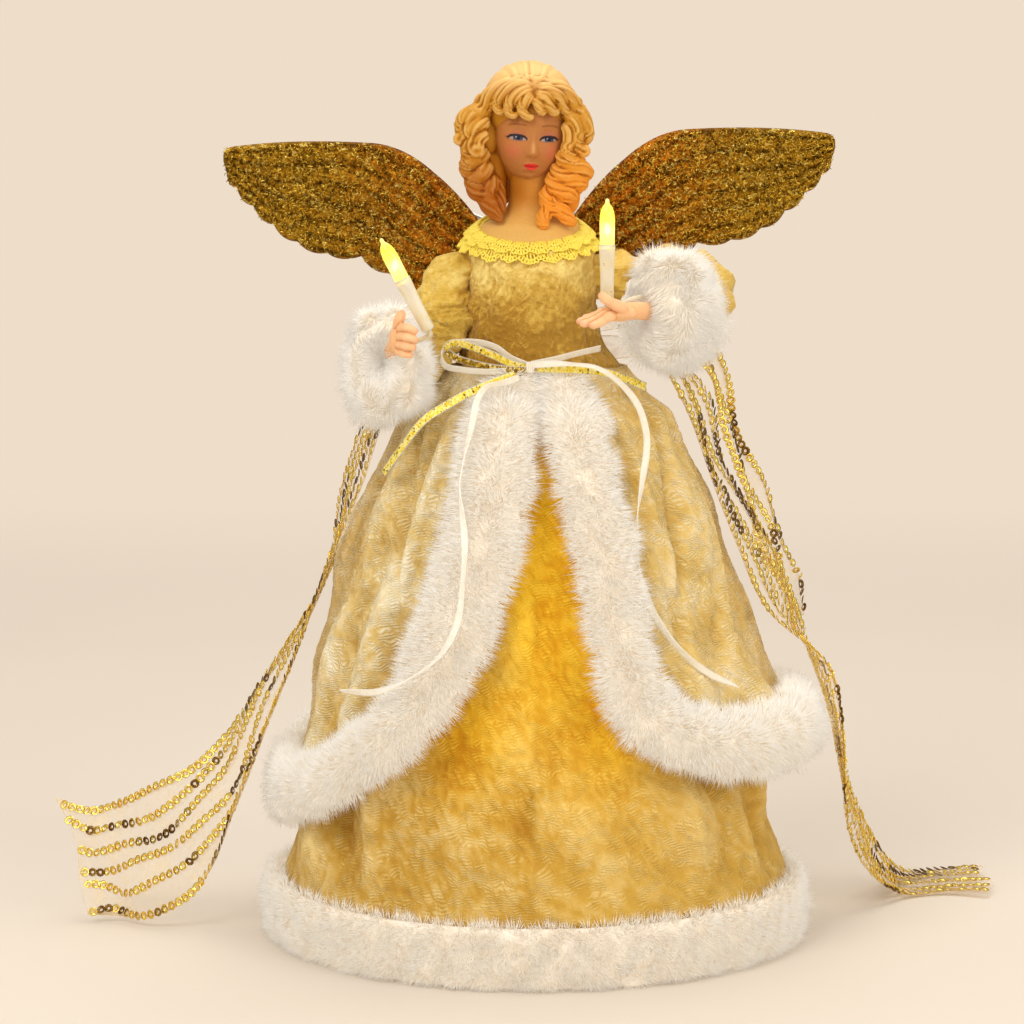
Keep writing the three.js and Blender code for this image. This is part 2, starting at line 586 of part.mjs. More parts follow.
function makeBatteryBox() {
  const half = BOX_WIDTH / 2;
  const inside = half - BOX_WALL;
  const railInside = half - BOX_RAIL;
  const lidLow = -BOX_DEPTH - SEAT_GAP - LID_THICKNESS;
  const lipLow = lidLow - SEAT_GAP;
  const lip = half - BOX_RAIL - BOX_RAIL_LIP;
  const railEnd = lipLow - BOX_RAIL_LIP;
  const right = [
    [inside, -BOX_WALL], [inside, -BOX_DEPTH], [railInside, -BOX_DEPTH], [railInside, lipLow],
    [lip, lipLow],
    [lip, railEnd], [half, railEnd], [half, 0],
  ];
  const left = right.toReversed().map(([x, y]) => [-x, y]);
  const section = new THREE.Shape([...right, ...left].map(([x, y]) => new THREE.Vector2(x, y)));
  const tray = new THREE.ExtrudeGeometry(section, { depth: BOX_LENGTH, bevelEnabled: false })
    .translate(0, 0, -BOX_LENGTH / 2);
  const end = BOX_LENGTH / 2;
  const plates = [-1, 1].map((side) => block(
    vector(-half, -BOX_DEPTH, Math.min(side * end, side * (end - BOX_WALL))),
    vector(half, 0, Math.max(side * end, side * (end - BOX_WALL))),
  ));
  const slotHalf = SWITCH_LENGTH / 2 + PIN_GAP;
  const slot = block(
    vector(-slotHalf, -BOX_DEPTH / 2 - SWITCH_WIDTH / 2 - PIN_GAP, -end - 1),
    vector(slotHalf + SWITCH_TRAVEL, -BOX_DEPTH / 2 + SWITCH_WIDTH / 2 + PIN_GAP, -end + BOX_WALL + 1),
  );
  const leadHoles = [boxLeads.left, boxLeads.right].map((x) => new THREE.CylinderGeometry(
    LEAD_RADIUS + SEAT_GAP, LEAD_RADIUS + SEAT_GAP, 4 * BOX_WALL, 10,
  ).rotateX(Math.PI / 2).translate(x, boxLeads.y, end));
  add(boxFrame, 'battery_box', cut(join(tray, ...plates), slot, ...leadHoles), WHITE_PLASTIC);

  const lidHalf = railInside - SEAT_GAP;
  const lid = block(vector(-lidHalf, lidLow, -end), vector(lidHalf, -BOX_DEPTH - SEAT_GAP, end));
  const grip = block(vector(-lip / 2, lidLow - 1, end - 12), vector(lip / 2, lidLow + 0.5, end - 10));
  add(boxFrame, 'battery_lid', join(lid, grip), WHITE_PLASTIC);

  add(boxFrame, 'switch_slider', block(
    vector(-SWITCH_LENGTH / 2, -BOX_DEPTH / 2 - SWITCH_WIDTH / 2, -end - SWITCH_HEIGHT),
    vector(SWITCH_LENGTH / 2, -BOX_DEPTH / 2 + SWITCH_WIDTH / 2, -end + BOX_WALL),
  ), CELL);

  const cellX = CELL_RADIUS + SEAT_GAP;
  const cellY = -BOX_WALL - SEAT_GAP - CELL_RADIUS;
  const cellEnd = CELL_LENGTH / 2;
  const cellProfile = [
    [0, -cellEnd], [CELL_RADIUS, -cellEnd], [CELL_RADIUS, cellEnd - CELL_BUTTON],
    [CELL_BUTTON_RADIUS, cellEnd - CELL_BUTTON], [CELL_BUTTON_RADIUS, cellEnd], [0, cellEnd],
  ];
  const leaf = (half, side) => {
    const gap = end - BOX_WALL - SEAT_GAP - (cellEnd + SEAT_GAP);
    const shape = new THREE.Shape([[0, 0], [CONTACT_WIDTH, 0], [CONTACT_WIDTH, CONTACT_SHEET],
      [1.5 * CONTACT_SHEET, CONTACT_SHEET], [CONTACT_WIDTH, gap - CONTACT_SHEET / 2],
      [CONTACT_WIDTH - 0.3, gap],
      [0, CONTACT_SHEET]].map(([x, y]) => new THREE.Vector2(x, y)));
    return new THREE.ExtrudeGeometry(shape, { depth: 2 * half, bevelEnabled: false })
      .rotateX(Math.PI / 2).rotateZ(Math.PI / 2)
      .rotateY(side > 0 ? Math.PI : 0)
      .translate(side > 0 ? half : -half, cellY - CONTACT_WIDTH / 2, side * (end - BOX_WALL - SEAT_GAP));
  };
  [['left', -1], ['right', 1]].forEach(([side, sign]) => {
    const cell = turned(cellProfile, 14);
    if (sign < 0) cell.rotateX(Math.PI);
    add(boxFrame, `cell_${side}`, cell.translate(sign * cellX, cellY, 0), CELL);
    add(boxFrame, `contact_${side}`, leaf(CONTACT_WIDTH / 2, -1).translate(sign * cellX, 0, 0), STEEL);
  });
  add(boxFrame, 'contact_bridge', leaf(cellX + CONTACT_WIDTH / 2, 1), STEEL);

  const slab = block(vector(-half + 2, SEAT_GAP, -end + 8), vector(half - 2, 2 * PAD_THICKNESS, end - 8))
    .applyMatrix4(boxFrame.matrix);
  const hollow = turned([
    [0, coneFoot], [coneInside(coneFoot) - SEAT_GAP, coneFoot], [coneInside(coneTop) - SEAT_GAP, coneTop],
    [0, coneTop],
  ], 36);
  add(model, 'battery_pad', common(slab, hollow), FOAM);
}

// Leads inside the cone: one to the arms' lamps up through the torso, one round the skirt lamps

const DUCT_TOP = 33;
const DUCT_GAP = 0.5;
const torsoDuct = LEAD_RADIUS + DUCT_GAP;

function makeLeads() {
  const fromBox = (x, z) => vector(x, boxLeads.y, z).applyMatrix4(boxFrame.matrix);
  const nearWall = (angle, z, inset) => roundFigure(coneInside(z) - inset, angle, z);
  const lidSide = BOX_LENGTH / 2;
  add(model, 'main_lead', wire([
    fromBox(boxLeads.right, lidSide - 3), fromBox(boxLeads.right, lidSide + 3),
    nearWall(degrees(172), WAIST_HEIGHT - 84, 2.5), nearWall(degrees(176), WAIST_HEIGHT - 54, 3),
    vector(FIGURE_X + 1, 9, WAIST_HEIGHT - 28), vector(FIGURE_X, 1, WAIST_HEIGHT - 18),
    vector(FIGURE_X, 0, WAIST_HEIGHT - 10),
    vector(FIGURE_X, 0, WAIST_HEIGHT + DUCT_TOP / 2),
    vector(FIGURE_X, 0, WAIST_HEIGHT + DUCT_TOP - SEAT_GAP),
  ], LEAD_RADIUS, 5, 26), WHITE_PLASTIC);

  const atHolder = ({ angle, z }) => {
    const end = coneRadius(z) + SKIRT_LAMP_PROUD - holderLength(SKIRT_STEM);
    return roundFigure(end - 2 * SEAT_GAP - LEAD_RADIUS, angle, z);
  };
  const [left, right, upper] = SKIRT_LAMPS;
  add(model, 'skirt_lead', wire([
    fromBox(boxLeads.left, lidSide - 3), fromBox(boxLeads.left, lidSide + 3),
    nearWall(degrees(210), 100, 3), nearWall(degrees(245), 97, 3), nearWall(degrees(285), 92, 4),
    nearWall(degrees(312), 87, 7), atHolder(left), nearWall(degrees(-18), 104, 9), atHolder(upper),
    nearWall(degrees(20), 104, 9), atHolder(right),
  ], LEAD_RADIUS, 5, 38), WHITE_PLASTIC);
}

// Torso, bodice, collar and head, in the figure's frame

const bodiceX = curveThrough([
  [0, 32], [4, 29], [8, 26], [12, 24], [16, 22.6], [22, 20.6], [34, 20.4], [42, 20.4], [48, 20], [52, 18.5],
]);
// How far the left side is pressed in by the sleeve that hangs on it.
const bodiceTuck = curveThrough([[0, 6], [4, 5.4], [8, 4], [12, 2.4], [16, 1.4], [22, 0.2], [26, 0]]);
const bodiceY = curveThrough([
  [0, 20], [6, 20.2], [12, 20.8], [24, 21.4], [34, 20.8], [42, 19], [48, 16.5], [52, 14.5],
]);
const bodiceEdge = (angle) => BODICE_EDGE_HEIGHT - BODICE_EDGE_SLOPE * Math.cos(angle);

function bodicePoint(angle, z, grow) {
  const tuck = Math.sin(angle) < 0 && z < 26 ? bodiceTuck(z) : 0;
  return vector((bodiceX(z) + grow - tuck) * Math.sin(angle), -(bodiceY(z) + grow) * Math.cos(angle), z);
}

const shoulder = (side) => vector(side * SHOULDER_X, SHOULDER_Y, SHOULDER_HEIGHT);
const armPinStart = (side) => vector(side * (SHOULDER_X - ARM_PIN_LENGTH), SHOULDER_Y, SHOULDER_HEIGHT);

function armPinHole(side) {
  const radius = ARM_WIRE_RADIUS + PIN_GAP;
  return new THREE.CylinderGeometry(radius, radius, ARM_PIN_LENGTH + 2, 12).rotateZ(Math.PI / 2)
    .translate(side * (SHOULDER_X - ARM_PIN_LENGTH / 2 + 1 - SEAT_GAP), SHOULDER_Y, SHOULDER_HEIGHT);
}

function makeTorso() {
  const inset = CLOTH + TORSO_EASE;
  const spigot = coneInside(coneTop) - SEAT_GAP;
  const seat = SEAT_GAP - CONE_BELOW_WAIST;
  const foot = 2 * SEAT_GAP;
  const sides = 24;
  const level = (z) => ellipse(1, 1, z, sides).map((point) => bodicePoint(Math.atan2(point.x, -point.y), z, -inset));
  const rings = [
    ellipse(spigot, spigot, seat - SPIGOT_LENGTH, sides), ellipse(spigot, spigot, seat, sides),
    ellipse(CONE_TOP_RADIUS, CONE_TOP_RADIUS, seat, sides),
    ellipse(CONE_TOP_RADIUS, CONE_TOP_RADIUS, foot, sides),
    level(foot), level(8), level(17), level(25), level(33), level(TORSO_TOP),
  ];
  // The cone stands on the base's middle, the figure leans off it by FIGURE_X.
  rings.slice(0, 4).forEach((ring) => ring.forEach((point) => point.setX(point.x - FIGURE_X)));
  const duct = new THREE.CylinderGeometry(torsoDuct, torsoDuct, DUCT_TOP + 30, 8).rotateX(Math.PI / 2)
    .translate(0, 0, DUCT_TOP - (DUCT_TOP + 30) / 2);
  add(figure, 'torso_form', cut(loft(rings), duct, armPinHole(-1), armPinHole(1)), FOAM);

  const bodice = (grow) => (u, v) => {
    const angle = 2 * Math.PI * u;
    const share = BODICE_LEVELS[Math.round(v * 5)];
    return bodicePoint(angle, THREE.MathUtils.lerp(SEAT_GAP, bodiceEdge(angle), share), grow);
  };
  const shell = sheet(28, 5, true, bodice(0), bodice(-CLOTH));
  add(figure, 'bodice', cut(shell, armPinHole(-1), armPinHole(1)), VELVET);

  const lace = (lift) => (u, v) => {
    const angle = 2 * Math.PI * u;
    const edge = bodiceEdge(angle);
    const wave = COLLAR_SCALLOP * Math.abs(Math.sin((COLLAR_SCALLOPS * angle) / 2));
    if (v < 0.3) return bodicePoint(angle, edge, -CLOTH).setZ(edge + 2 * SEAT_GAP + lift);
    if (v < 0.6) return bodicePoint(angle, edge, 2 * SEAT_GAP + lift).setZ(edge + SEAT_GAP + lift);
    const low = edge - COLLAR_DROP * 0.7 - wave;
    const out = Math.max(bodiceX(low) - bodiceX(edge), 0);
    return bodicePoint(angle, edge, 2.2 + out + lift).setZ(low);
  };
  add(figure, 'lace_collar', sheet(42, 2, true, lace(COLLAR_THICKNESS), lace(0)), LACE);
}

// Head with neck and shoulder plate; grow widens it for the hair's seat.
function headShape(grow) {
  const skull = new THREE.SphereGeometry(1, 20, 14).rotateX(Math.PI / 2);
  const position = skull.attributes.position;
  const size = HEAD_SIZE.clone().addScalar(grow);
  for (let i = 0; i < position.count; i += 1) {
    const p = vector(position.getX(i), position.getY(i), position.getZ(i));
    const low = Math.max(0, -p.z);
    const jaw = 1 - 0.3 * low * low;
    const back = p.y > 0 ? 1 - 0.25 * low : 1;
    const noseX = p.x / 0.16;
    const noseZ = (p.z + 0.42) / 0.16;
    const nose = p.y < 0 ? NOSE_LENGTH * Math.exp(-noseX * noseX - noseZ * noseZ) : 0;
    position.setXYZ(i, size.x * p.x * jaw, -1.5 + size.y * p.y * back - nose, HEAD_HEIGHT + size.z * p.z);
  }
  return skull;
}

function shoulderPlate(grow) {
  const foot = TORSO_TOP + SEAT_GAP;
  const inset = CLOTH + 2 * SEAT_GAP;
  const level = (halfX, halfY, z) => ellipse(halfX + grow, halfY + grow, z, 18);
  return loft([
    level(bodiceX(foot) - inset, bodiceY(foot) - inset, foot), level(17.8, 13.8, foot + 5),
    level(15.5, 11.6, foot + 8.5),
    level(12, 9.6, foot + 11.5), level(8.8, 8.2, foot + 15), level(NECK_RADIUS, NECK_RADIUS, foot + 19),
    level(NECK_RADIUS, NECK_RADIUS, HEAD_HEIGHT - HEAD_SIZE.z / 2),
  ]);
}

function makeHead() {
  add(figure, 'head', join(shoulderPlate(0), headShape(0)), SKIN);
}

// Moulded hair: a cap and wavy locks, hollowed by the head

function makeHair() {
  const cap = new THREE.SphereGeometry(1, 14, 10).rotateX(Math.PI / 2).scale(15.8, 15.2, 20.5)
    .translate(-0.5, 3.5, HEAD_HEIGHT + 3.5);
  const roll = limb([
    vector(-15, -3, 88), vector(-10.5, -9.5, 95), vector(0, -11, 98.5), vector(10.5, -9.5, 95),
    vector(15, -3, 88),
  ], [2.4, 3, 3.2, 3, 2.4], 6, 8);
  const lock = (side, reach) => {
    const points = [
      [11, -8, 92], [15, -8, 86], [17 + reach, -5, 78], [20 + reach, -3, 71], [17 + reach, -7, 63],
      [13 + reach, -9, 56], [12.5 + reach, -10, 52],
    ];
    return limb(points.map(([x, y, z]) => vector(side * x, y, z)), [2.4, 4, 4.8, 4.4, 4, 3, 1.2], 5, 8);
  };
  const outerLock = (side, reach) => {
    const points = [
      [13, -2, 92], [18, 0, 84], [20 + reach, 2, 76], [17 + reach, 5, 68], [19, 4, 60], [15, 3, 54],
    ];
    return limb(points.map(([x, y, z]) => vector(side * x, y, z)), [2.5, 4.5, 5, 4.6, 3.6, 1.4], 5, 6);
  };
  const backLocks = [-12, -4, 4, 12].map((x) => limb([
    vector(x, 13, 90), vector(x * 1.2, 17, 80), vector(x * 1.1, 16, 70), vector(x * 1.2, 17, 61),
    vector(x, 15.5, 55),
  ], [3, 4.4, 4.6, 4, 1.6], 5, 5));
  const fringe = [-1, 1].map((side) => limb([
    vector(side * 0.4, -12, 95), vector(side * 3.2, -15, 91), vector(side * 7.5, -13.5, 89.5),
    vector(side * 11, -9.5, 86), vector(side * 12.2, -7, 80),
  ], [1.6, 2.6, 2.8, 2.8, 1.6], 5, 6));
  const sideLocks = [lock(-1, 1.5), lock(1, -1.5), outerLock(-1, 1), outerLock(1, -1.5)];
  const whole = join(cap, roll, ...sideLocks, ...backLocks, ...fringe);
  add(figure, 'hair', cut(whole, headShape(SEAT_GAP), shoulderPlate(SEAT_GAP)), HAIR);
}

// Waist ribbon and bow

function makeBow() {
  const band = (grow) => (u, v) => bodicePoint(2 * Math.PI * u, 2 * SEAT_GAP + v * RIBBON_HEIGHT, grow);
  add(figure, 'waist_ribbon', sheet(28, 1, true, band(RIBBON_EASE + RIBBON_THICKNESS), band(RIBBON_EASE)), SATIN);

  const front = -(bodiceY(3) + RIBBON_THICKNESS + 2 * SEAT_GAP);
  const knotCentre = vector(-1.5, front - KNOT_SIZE.y - 0.4, 2 * SEAT_GAP + RIBBON_HEIGHT / 2);
  const knot = new THREE.SphereGeometry(1, 10, 8).scale(KNOT_SIZE.x, KNOT_SIZE.y, KNOT_SIZE.z)
    .translate(knotCentre.x, knotCentre.y, knotCentre.z);
  add(figure, 'bow_knot', knot, SATIN);

  // The loop leaves the knot to the left and comes back to it.
  const loopStart = knotCentre.x - KNOT_SIZE.x - SEAT_GAP;
  const loopPoint = (u, grow) => {
    const swing = 2 * Math.PI * u;
    const reach = (1 - Math.cos(swing)) / 2;
    const rise = Math.sin(swing) * (BOW_LOOP_HEIGHT / 2 + grow) * Math.sqrt(reach + 0.12);
    const x = loopStart + grow - reach * (BOW_LOOP_LENGTH + 2 * grow);
    return vector(x, 0, knotCentre.z + 1 + 3 * reach + rise);
  };
  const loop = (grow) => (u, v) => loopPoint(u, grow).setY(knotCentre.y + (v - 0.5) * BOW_LOOP_WIDTH - 1.4);
  add(figure, 'bow_loop', sheet(24, 1, true, loop(0), loop(-TAIL_THICKNESS)), SATIN);

  const beside = knotCentre.x + KNOT_SIZE.x + SEAT_GAP + 0.2;
  ribbon(figure, 'bow_tail_short', [
    vector(beside, knotCentre.y, knotCentre.z + 1.6), vector(9, front - 2, 6.4),
    vector(17, front + 1, 8.2),
    vector(23.5, front + 3.5, 9),
  ], () => vector(0, 0, 1), SATIN_WIDTH, 8, SATIN);
  ribbon(figure, 'gold_tail_right', [
    vector(beside, knotCentre.y - 0.6, knotCentre.z - 2.8), vector(12, front - 3.6, -0.4),
    vector(22, front - 2, -2),
    vector(31, front - 1.6, -6.4), vector(37, front - 1, -12.5),
  ], () => vector(0, 0, 1), GOLD_RIBBON_WIDTH, 10, GOLD_RIBBON);
}

// Flat ribbon along a route; across gives the direction of its width.
function ribbon(parent, name, route, across, width, steps, look) {
  const curve = new THREE.CatmullRomCurve3(route);
  const face = (lift) => (u, v) => {
    const heading = curve.getTangentAt(v);
    const side = across(v).clone().addScaledVector(heading, -across(v).dot(heading)).normalize();
    const normal = heading.clone().cross(side);
    return curve.getPointAt(v).addScaledVector(side, (u - 0.5) * width).addScaledVector(normal, lift);
  };
  add(parent, name, sheet(1, steps, false, face(TAIL_THICKNESS / 2), face(-TAIL_THICKNESS / 2)), look);
}

// Loose tails over the skirt, in the figure's frame
function makeTails() {
  const outward = (route) => (v) => {
    const at = new THREE.CatmullRomCurve3(route).getPointAt(v);
    return vector(-at.y, at.x, 0);
  };
  const goldLeft = [
    vector(-7, -27.6, -0.1), vector(-11, -32.3, -0.4), vector(-16, -35.2, -2.4), vector(-25, -38.6, -7.8),
    vector(-35.5, -39, -15),
    vector(-44, -36.5, -24.5), vector(-49, -33, -31.5),
  ];
  ribbon(figure, 'gold_tail_left', goldLeft, () => vector(0, 0.3, 1), GOLD_RIBBON_WIDTH, 12, GOLD_RIBBON);
  const satinLeft = [
    vector(-3.6, -27.8, -0.6), vector(-8, -33.2, -3), vector(-14.5, -39, -7.5), vector(-20, -48, -17),
    vector(-23.3, -55.5, -28), vector(-22.7, -61, -36), vector(-21.6, -67, -45), vector(-21.4, -71, -53),
    vector(-22, -75.4, -62), vector(-23, -79.6, -71.5), vector(-25.5, -82, -79), vector(-30, -82.6, -85.6),
    vector(-38, -80.6, -92), vector(-49.5, -74.6, -98), vector(-62, -65, -99.5),
  ];
  ribbon(figure, 'satin_tail_left', satinLeft, outward(satinLeft), SATIN_WIDTH, 24, SATIN);
  const satinRight = [
    vector(1.6, -27.6, 1.4), vector(9, -31, 1), vector(18, -32.6, -1.6), vector(26.5, -33.5, -8),
    vector(33, -36.5, -20),
    vector(37, -44.6, -36), vector(37.6, -53.4, -54), vector(40, -59, -72), vector(49, -59, -86),
    vector(58, -54, -95.5),
    vector(69, -45, -101),
  ];
  ribbon(figure, 'satin_tail_right', satinRight, outward(satinRight), SATIN_WIDTH, 24, SATIN);
}

// Sequin streamers, each a thin band between two edges, in the model's frame

function streamer(name, firstEdge, secondEdge, steps) {
  const placed = ([x, y, z]) => vector(x, y, (z * WAIST_HEIGHT) / STREAMER_WAIST);
  const first = new THREE.CatmullRomCurve3(firstEdge.map(placed));
  const second = new THREE.CatmullRomCurve3(secondEdge.map(placed));
  const face = (lift) => (u, v) => {
    const heading = first.getTangent(v).add(second.getTangent(v)).normalize();
    const side = second.getPoint(v).sub(first.getPoint(v));
    const normal = heading.cross(side).normalize();
    return first.getPoint(v).addScaledVector(side, u).addScaledVector(normal, lift);
  };
  const half = STREAMER_THICKNESS / 2;
  add(model, name, sheet(2, steps, false, face(half), face(-half)), SEQUIN);
}

function makeStreamers() {
  streamer('streamer_right', [
    [5, 21.6, 195.6], [20, 23, 196], [44, 30, 196], [62, 30, 182], [69, 30, 158], [80, 29, 134],
    [91, 27, 112], [100, 27, 86],
    [108, 30, 60], [114, 38, 38], [122, 56, 17], [138, 76, 2.5], [152, 82, 2], [167, 78, 4],
  ], [
    [5, 21.6, 200.4], [20, 20, 205], [38, 8, 203], [50, 0, 184], [60, -2, 160], [70, -4, 136],
    [79, -6, 114], [99, -4, 92],
    [106, 0, 62], [110, 8, 38], [118, 24, 15], [132, 40, 2], [150, 44, 2], [166, 42, 3],
  ], 26);
  streamer('streamer_left', [
    [-9, 21.6, 195.6], [-22, 24, 196], [-42, 28, 196], [-56, 28, 178], [-67, 26, 152], [-72, 24, 128],
    [-82, 24, 104], [-96, 22, 82],
    [-106, 19, 68], [-118, 14, 60], [-130, 12, 50], [-143, 14, 42], [-156, 18, 38], [-167, 16, 42],
  ], [
    [-9, 21.6, 200.4], [-22, 20, 205], [-35.5, 12, 202], [-50, 0, 178], [-62, -6, 154], [-71, -8, 130],
    [-80, -10, 104], [-92, -10, 74],
    [-102, -9, 46], [-109, -8, 27], [-121, -6, 12], [-135, -2, 5], [-147, 4, 3], [-157, 4, 3],
  ], 26);
  streamer('streamer_right_short', [
    [6, 20.2, 202.6], [24, 28, 206], [48, 34, 206], [60, 36, 190], [68, 36, 164], [78, 35, 138],
    [86, 33, 116], [92, 31, 100],
  ], [
    [6, 20.3, 207], [24, 33, 214], [52, 42, 210], [66, 46, 192], [74, 47, 166], [84, 46, 142],
    [91, 44, 122], [96, 42, 106],
  ], 15);
}

// Arms: sleeve, cuff, hand, wire, lamp holder, lamp and lead of one side, in the figure's frame

const ARMS = {
  left: {
    side: -1,
    sleeve: [
      [-25.5, 3, 32], [-31.8, 4, 24], [-35, 0, 12], [-40, -13, 6.5], [-45, -25, 6.8], [-45.6, -32, 8.4],
    ],
    radii: [6.8, 8.2, 9.6, 10.4, 10, 7.4, 6],
    cuff: { centre: [-46.6, -28.5, 6.6], axis: [-0.06, -0.98, 0.2], width: 0.84, height: 1.12 },
    wrist: [[-45.7, -32.8, 8.6], [-45.4, -37, 10], [-44.4, -41, 12.2]],
    palm: { centre: [-43, -44.6, 14.4], size: [3.6, 4.2, 5.2] },
    fingers: [
      [[-42.4, -47.2, 18], [-40.2, -50.6, 18.6], [-37, -51.6, 17.2]],
      [[-42.6, -47.8, 15.6], [-40.2, -51.6, 15.6], [-36.8, -52, 14.6]],
      [[-42.8, -47.6, 13.2], [-40.6, -51.2, 12.8], [-37.4, -51.4, 12]],
      [[-43, -46.8, 11], [-41.2, -49.8, 10.2], [-38.6, -50, 9.6]],
    ],
    thumb: [[-43.4, -44.6, 17.6], [-43.2, -46.4, 21], [-41.8, -47.2, 24]],
    candle: { foot: [-33.4, -46.4, 17.6], axis: [-0.462, 0, 0.887] },
    lead: [[-36.6, -42, 14], [-40, -37.4, 11.6], [-41.2, -33, 9.4]],
  },
  right: {
    side: 1,
    sleeve: [
      [26, 3, 32.4], [38, 4.5, 31.5], [51, 5, 30], [58.5, 0, 27], [55, -12, 25], [48, -23.5, 23.6],
      [43, -31, 23.4],
    ],
    radii: [6.8, 8.2, 10.2, 11, 11, 10, 8, 6],
    cuff: { centre: [46.4, -26.5, 22.6], axis: [-0.55, -0.83, -0.03], width: 1.1, height: 1.16 },
    wrist: [[42.5, -31.8, 23.4], [38.5, -37.6, 23.4], [34.4, -42.6, 23.8]],
    palm: { centre: [29, -46, 23.4], size: [5.8, 4.6, 3] },
    fingers: [
      [[24.6, -44.2, 23.4], [20.4, -46, 22], [17, -47.8, 21.6]],
      [[24.2, -46.4, 23.2], [19.4, -49.2, 21.4], [15.2, -51.4, 20.8]],
      [[24.8, -48.6, 22.8], [20.2, -51.6, 20.8], [16.2, -53.6, 20]],
      [[26, -50, 22.4], [22.4, -53, 20.4], [19.4, -54.6, 19.4]],
    ],
    thumb: [[30, -49.4, 25], [25.8, -51.4, 27.4], [22.4, -51.6, 30]],
    candle: { foot: [25.2, -46.6, 26.8], axis: [0, 0, 1] },
    lead: [[26.8, -44.2, 25.2], [31, -41.2, 26.6], [36, -37.4, 28], [41, -32.4, 28.2]],
  },
};

function makeArm(name, plan) {
  const at = (p) => vector(...p);
  const pinRoute = [armPinStart(plan.side), shoulder(plan.side)];
  const sleeveRoute = [shoulder(plan.side), ...plan.sleeve.map(at)];
  const wristRoute = plan.wrist.map(at);
  const wireRoute = [...pinRoute, ...plan.sleeve.map(at), ...wristRoute.slice(0, 2)];
  const wireShape = (radius) => wire(wireRoute, radius, 6, 18);
  add(figure, `${name}_arm_wire`, wireShape(ARM_WIRE_RADIUS), STEEL);
  add(figure, `${name}_sleeve`,
    cut(limb(sleeveRoute, plan.radii, 12, 10), wireShape(ARM_WIRE_RADIUS + SEAT_GAP)), VELVET);

  // Lead from the lamp holder's foot into the cuff.
  const candle = standing(at(plan.candle.foot), at(plan.candle.axis));
  const down = at(plan.candle.axis).normalize().negate();
  const leadStart = at(plan.candle.foot).addScaledVector(down, SEAT_GAP);
  const leadRoute = [leadStart, leadStart.clone().addScaledVector(down, 1), ...plan.lead.map(at)];
  const leadShape = (radius) => wire(leadRoute, radius, 5, 9);

  // Cuff ring about the forearm, wider than it is high or the other way by its plan.
  const half = CUFF_LENGTH / 2;
  const ring = turned([
    [CUFF_HOLE, -half * 0.7], [CUFF_RADIUS * 0.72, -half], [CUFF_RADIUS * 0.95, -half * 0.55],
    [CUFF_RADIUS, 0],
    [CUFF_RADIUS * 0.93, half * 0.6], [CUFF_RADIUS * 0.7, half], [CUFF_HOLE * 1.1, half * 0.75],
    [CUFF_HOLE, -half * 0.7],
  ], 16);
  const cuffAxis = at(plan.cuff.axis).normalize();
  const acrossAxis = vector(0, 0, 1).cross(cuffAxis).normalize();
  const upAxis = cuffAxis.clone().cross(acrossAxis);
  const cuffFrame = new THREE.Matrix4().makeBasis(
    acrossAxis.multiplyScalar(plan.cuff.width), upAxis.multiplyScalar(plan.cuff.height), cuffAxis,
  ).setPosition(at(plan.cuff.centre));
  const sleeveRoom = limb(sleeveRoute, plan.radii.map((radius) => radius + SEAT_GAP), 12, 10);
  const leadRoom = leadShape(LEAD_RADIUS + SEAT_GAP);
  add(figure, `${name}_cuff`, cut(ring.applyMatrix4(cuffFrame), sleeveRoom, leadRoom), FUR);

  add(figure, `${name}_lamp_holder`, lampHolder(CANDLE_STEM).applyMatrix4(candle), CLEAR_WHITE);
  add(figure, `${name}_lamp`, lamp(CANDLE_STEM, CANDLE_GLASS).applyMatrix4(candle), GLOW);
  add(figure, `${name}_lamp_lead`, leadShape(LEAD_RADIUS), CLEAR_WHITE);

  const palm = new THREE.SphereGeometry(1, 9, 7).scale(...plan.palm.size).translate(...plan.palm.centre);
  const wrist = limb([...wristRoute, at(plan.palm.centre)], [3.6, 3.2, 3, 3], 8, 4);
  const rimEnd = (i) => wristRoute[1].clone().lerp(wristRoute[i], 0.2);
  const rim = limb([rimEnd(0), rimEnd(2)], [4.1, 4.1], 8, 1);
  const fingers = plan.fingers.map((points) => limb(points.map(at), [1.7, 1.6, 1.1], 5, 3));
  const thumb = limb(plan.thumb.map(at), [1.9, 1.7, 1.1], 5, 3);
  add(figure, `${name}_hand`, cut(
    join(palm, wrist, rim, ...fingers, thumb),
    lampHolder(CANDLE_STEM, SEAT_GAP).applyMatrix4(candle),
    leadRoom,
    wireShape(ARM_WIRE_RADIUS + SEAT_GAP),
  ), SKIN);
}

// Wings: a bracket on the back, and a panel with its wire for each side, in the figure's frame

const wingBore = WING_WIRE_RADIUS + PIN_GAP;
const plateFront = bodiceY(BRACKET_BOTTOM) + SEAT_GAP;
const plateBack = plateFront + BRACKET_PLATE;
const wingHingeY = plateBack + BARREL_STANDOFF + wingBore;

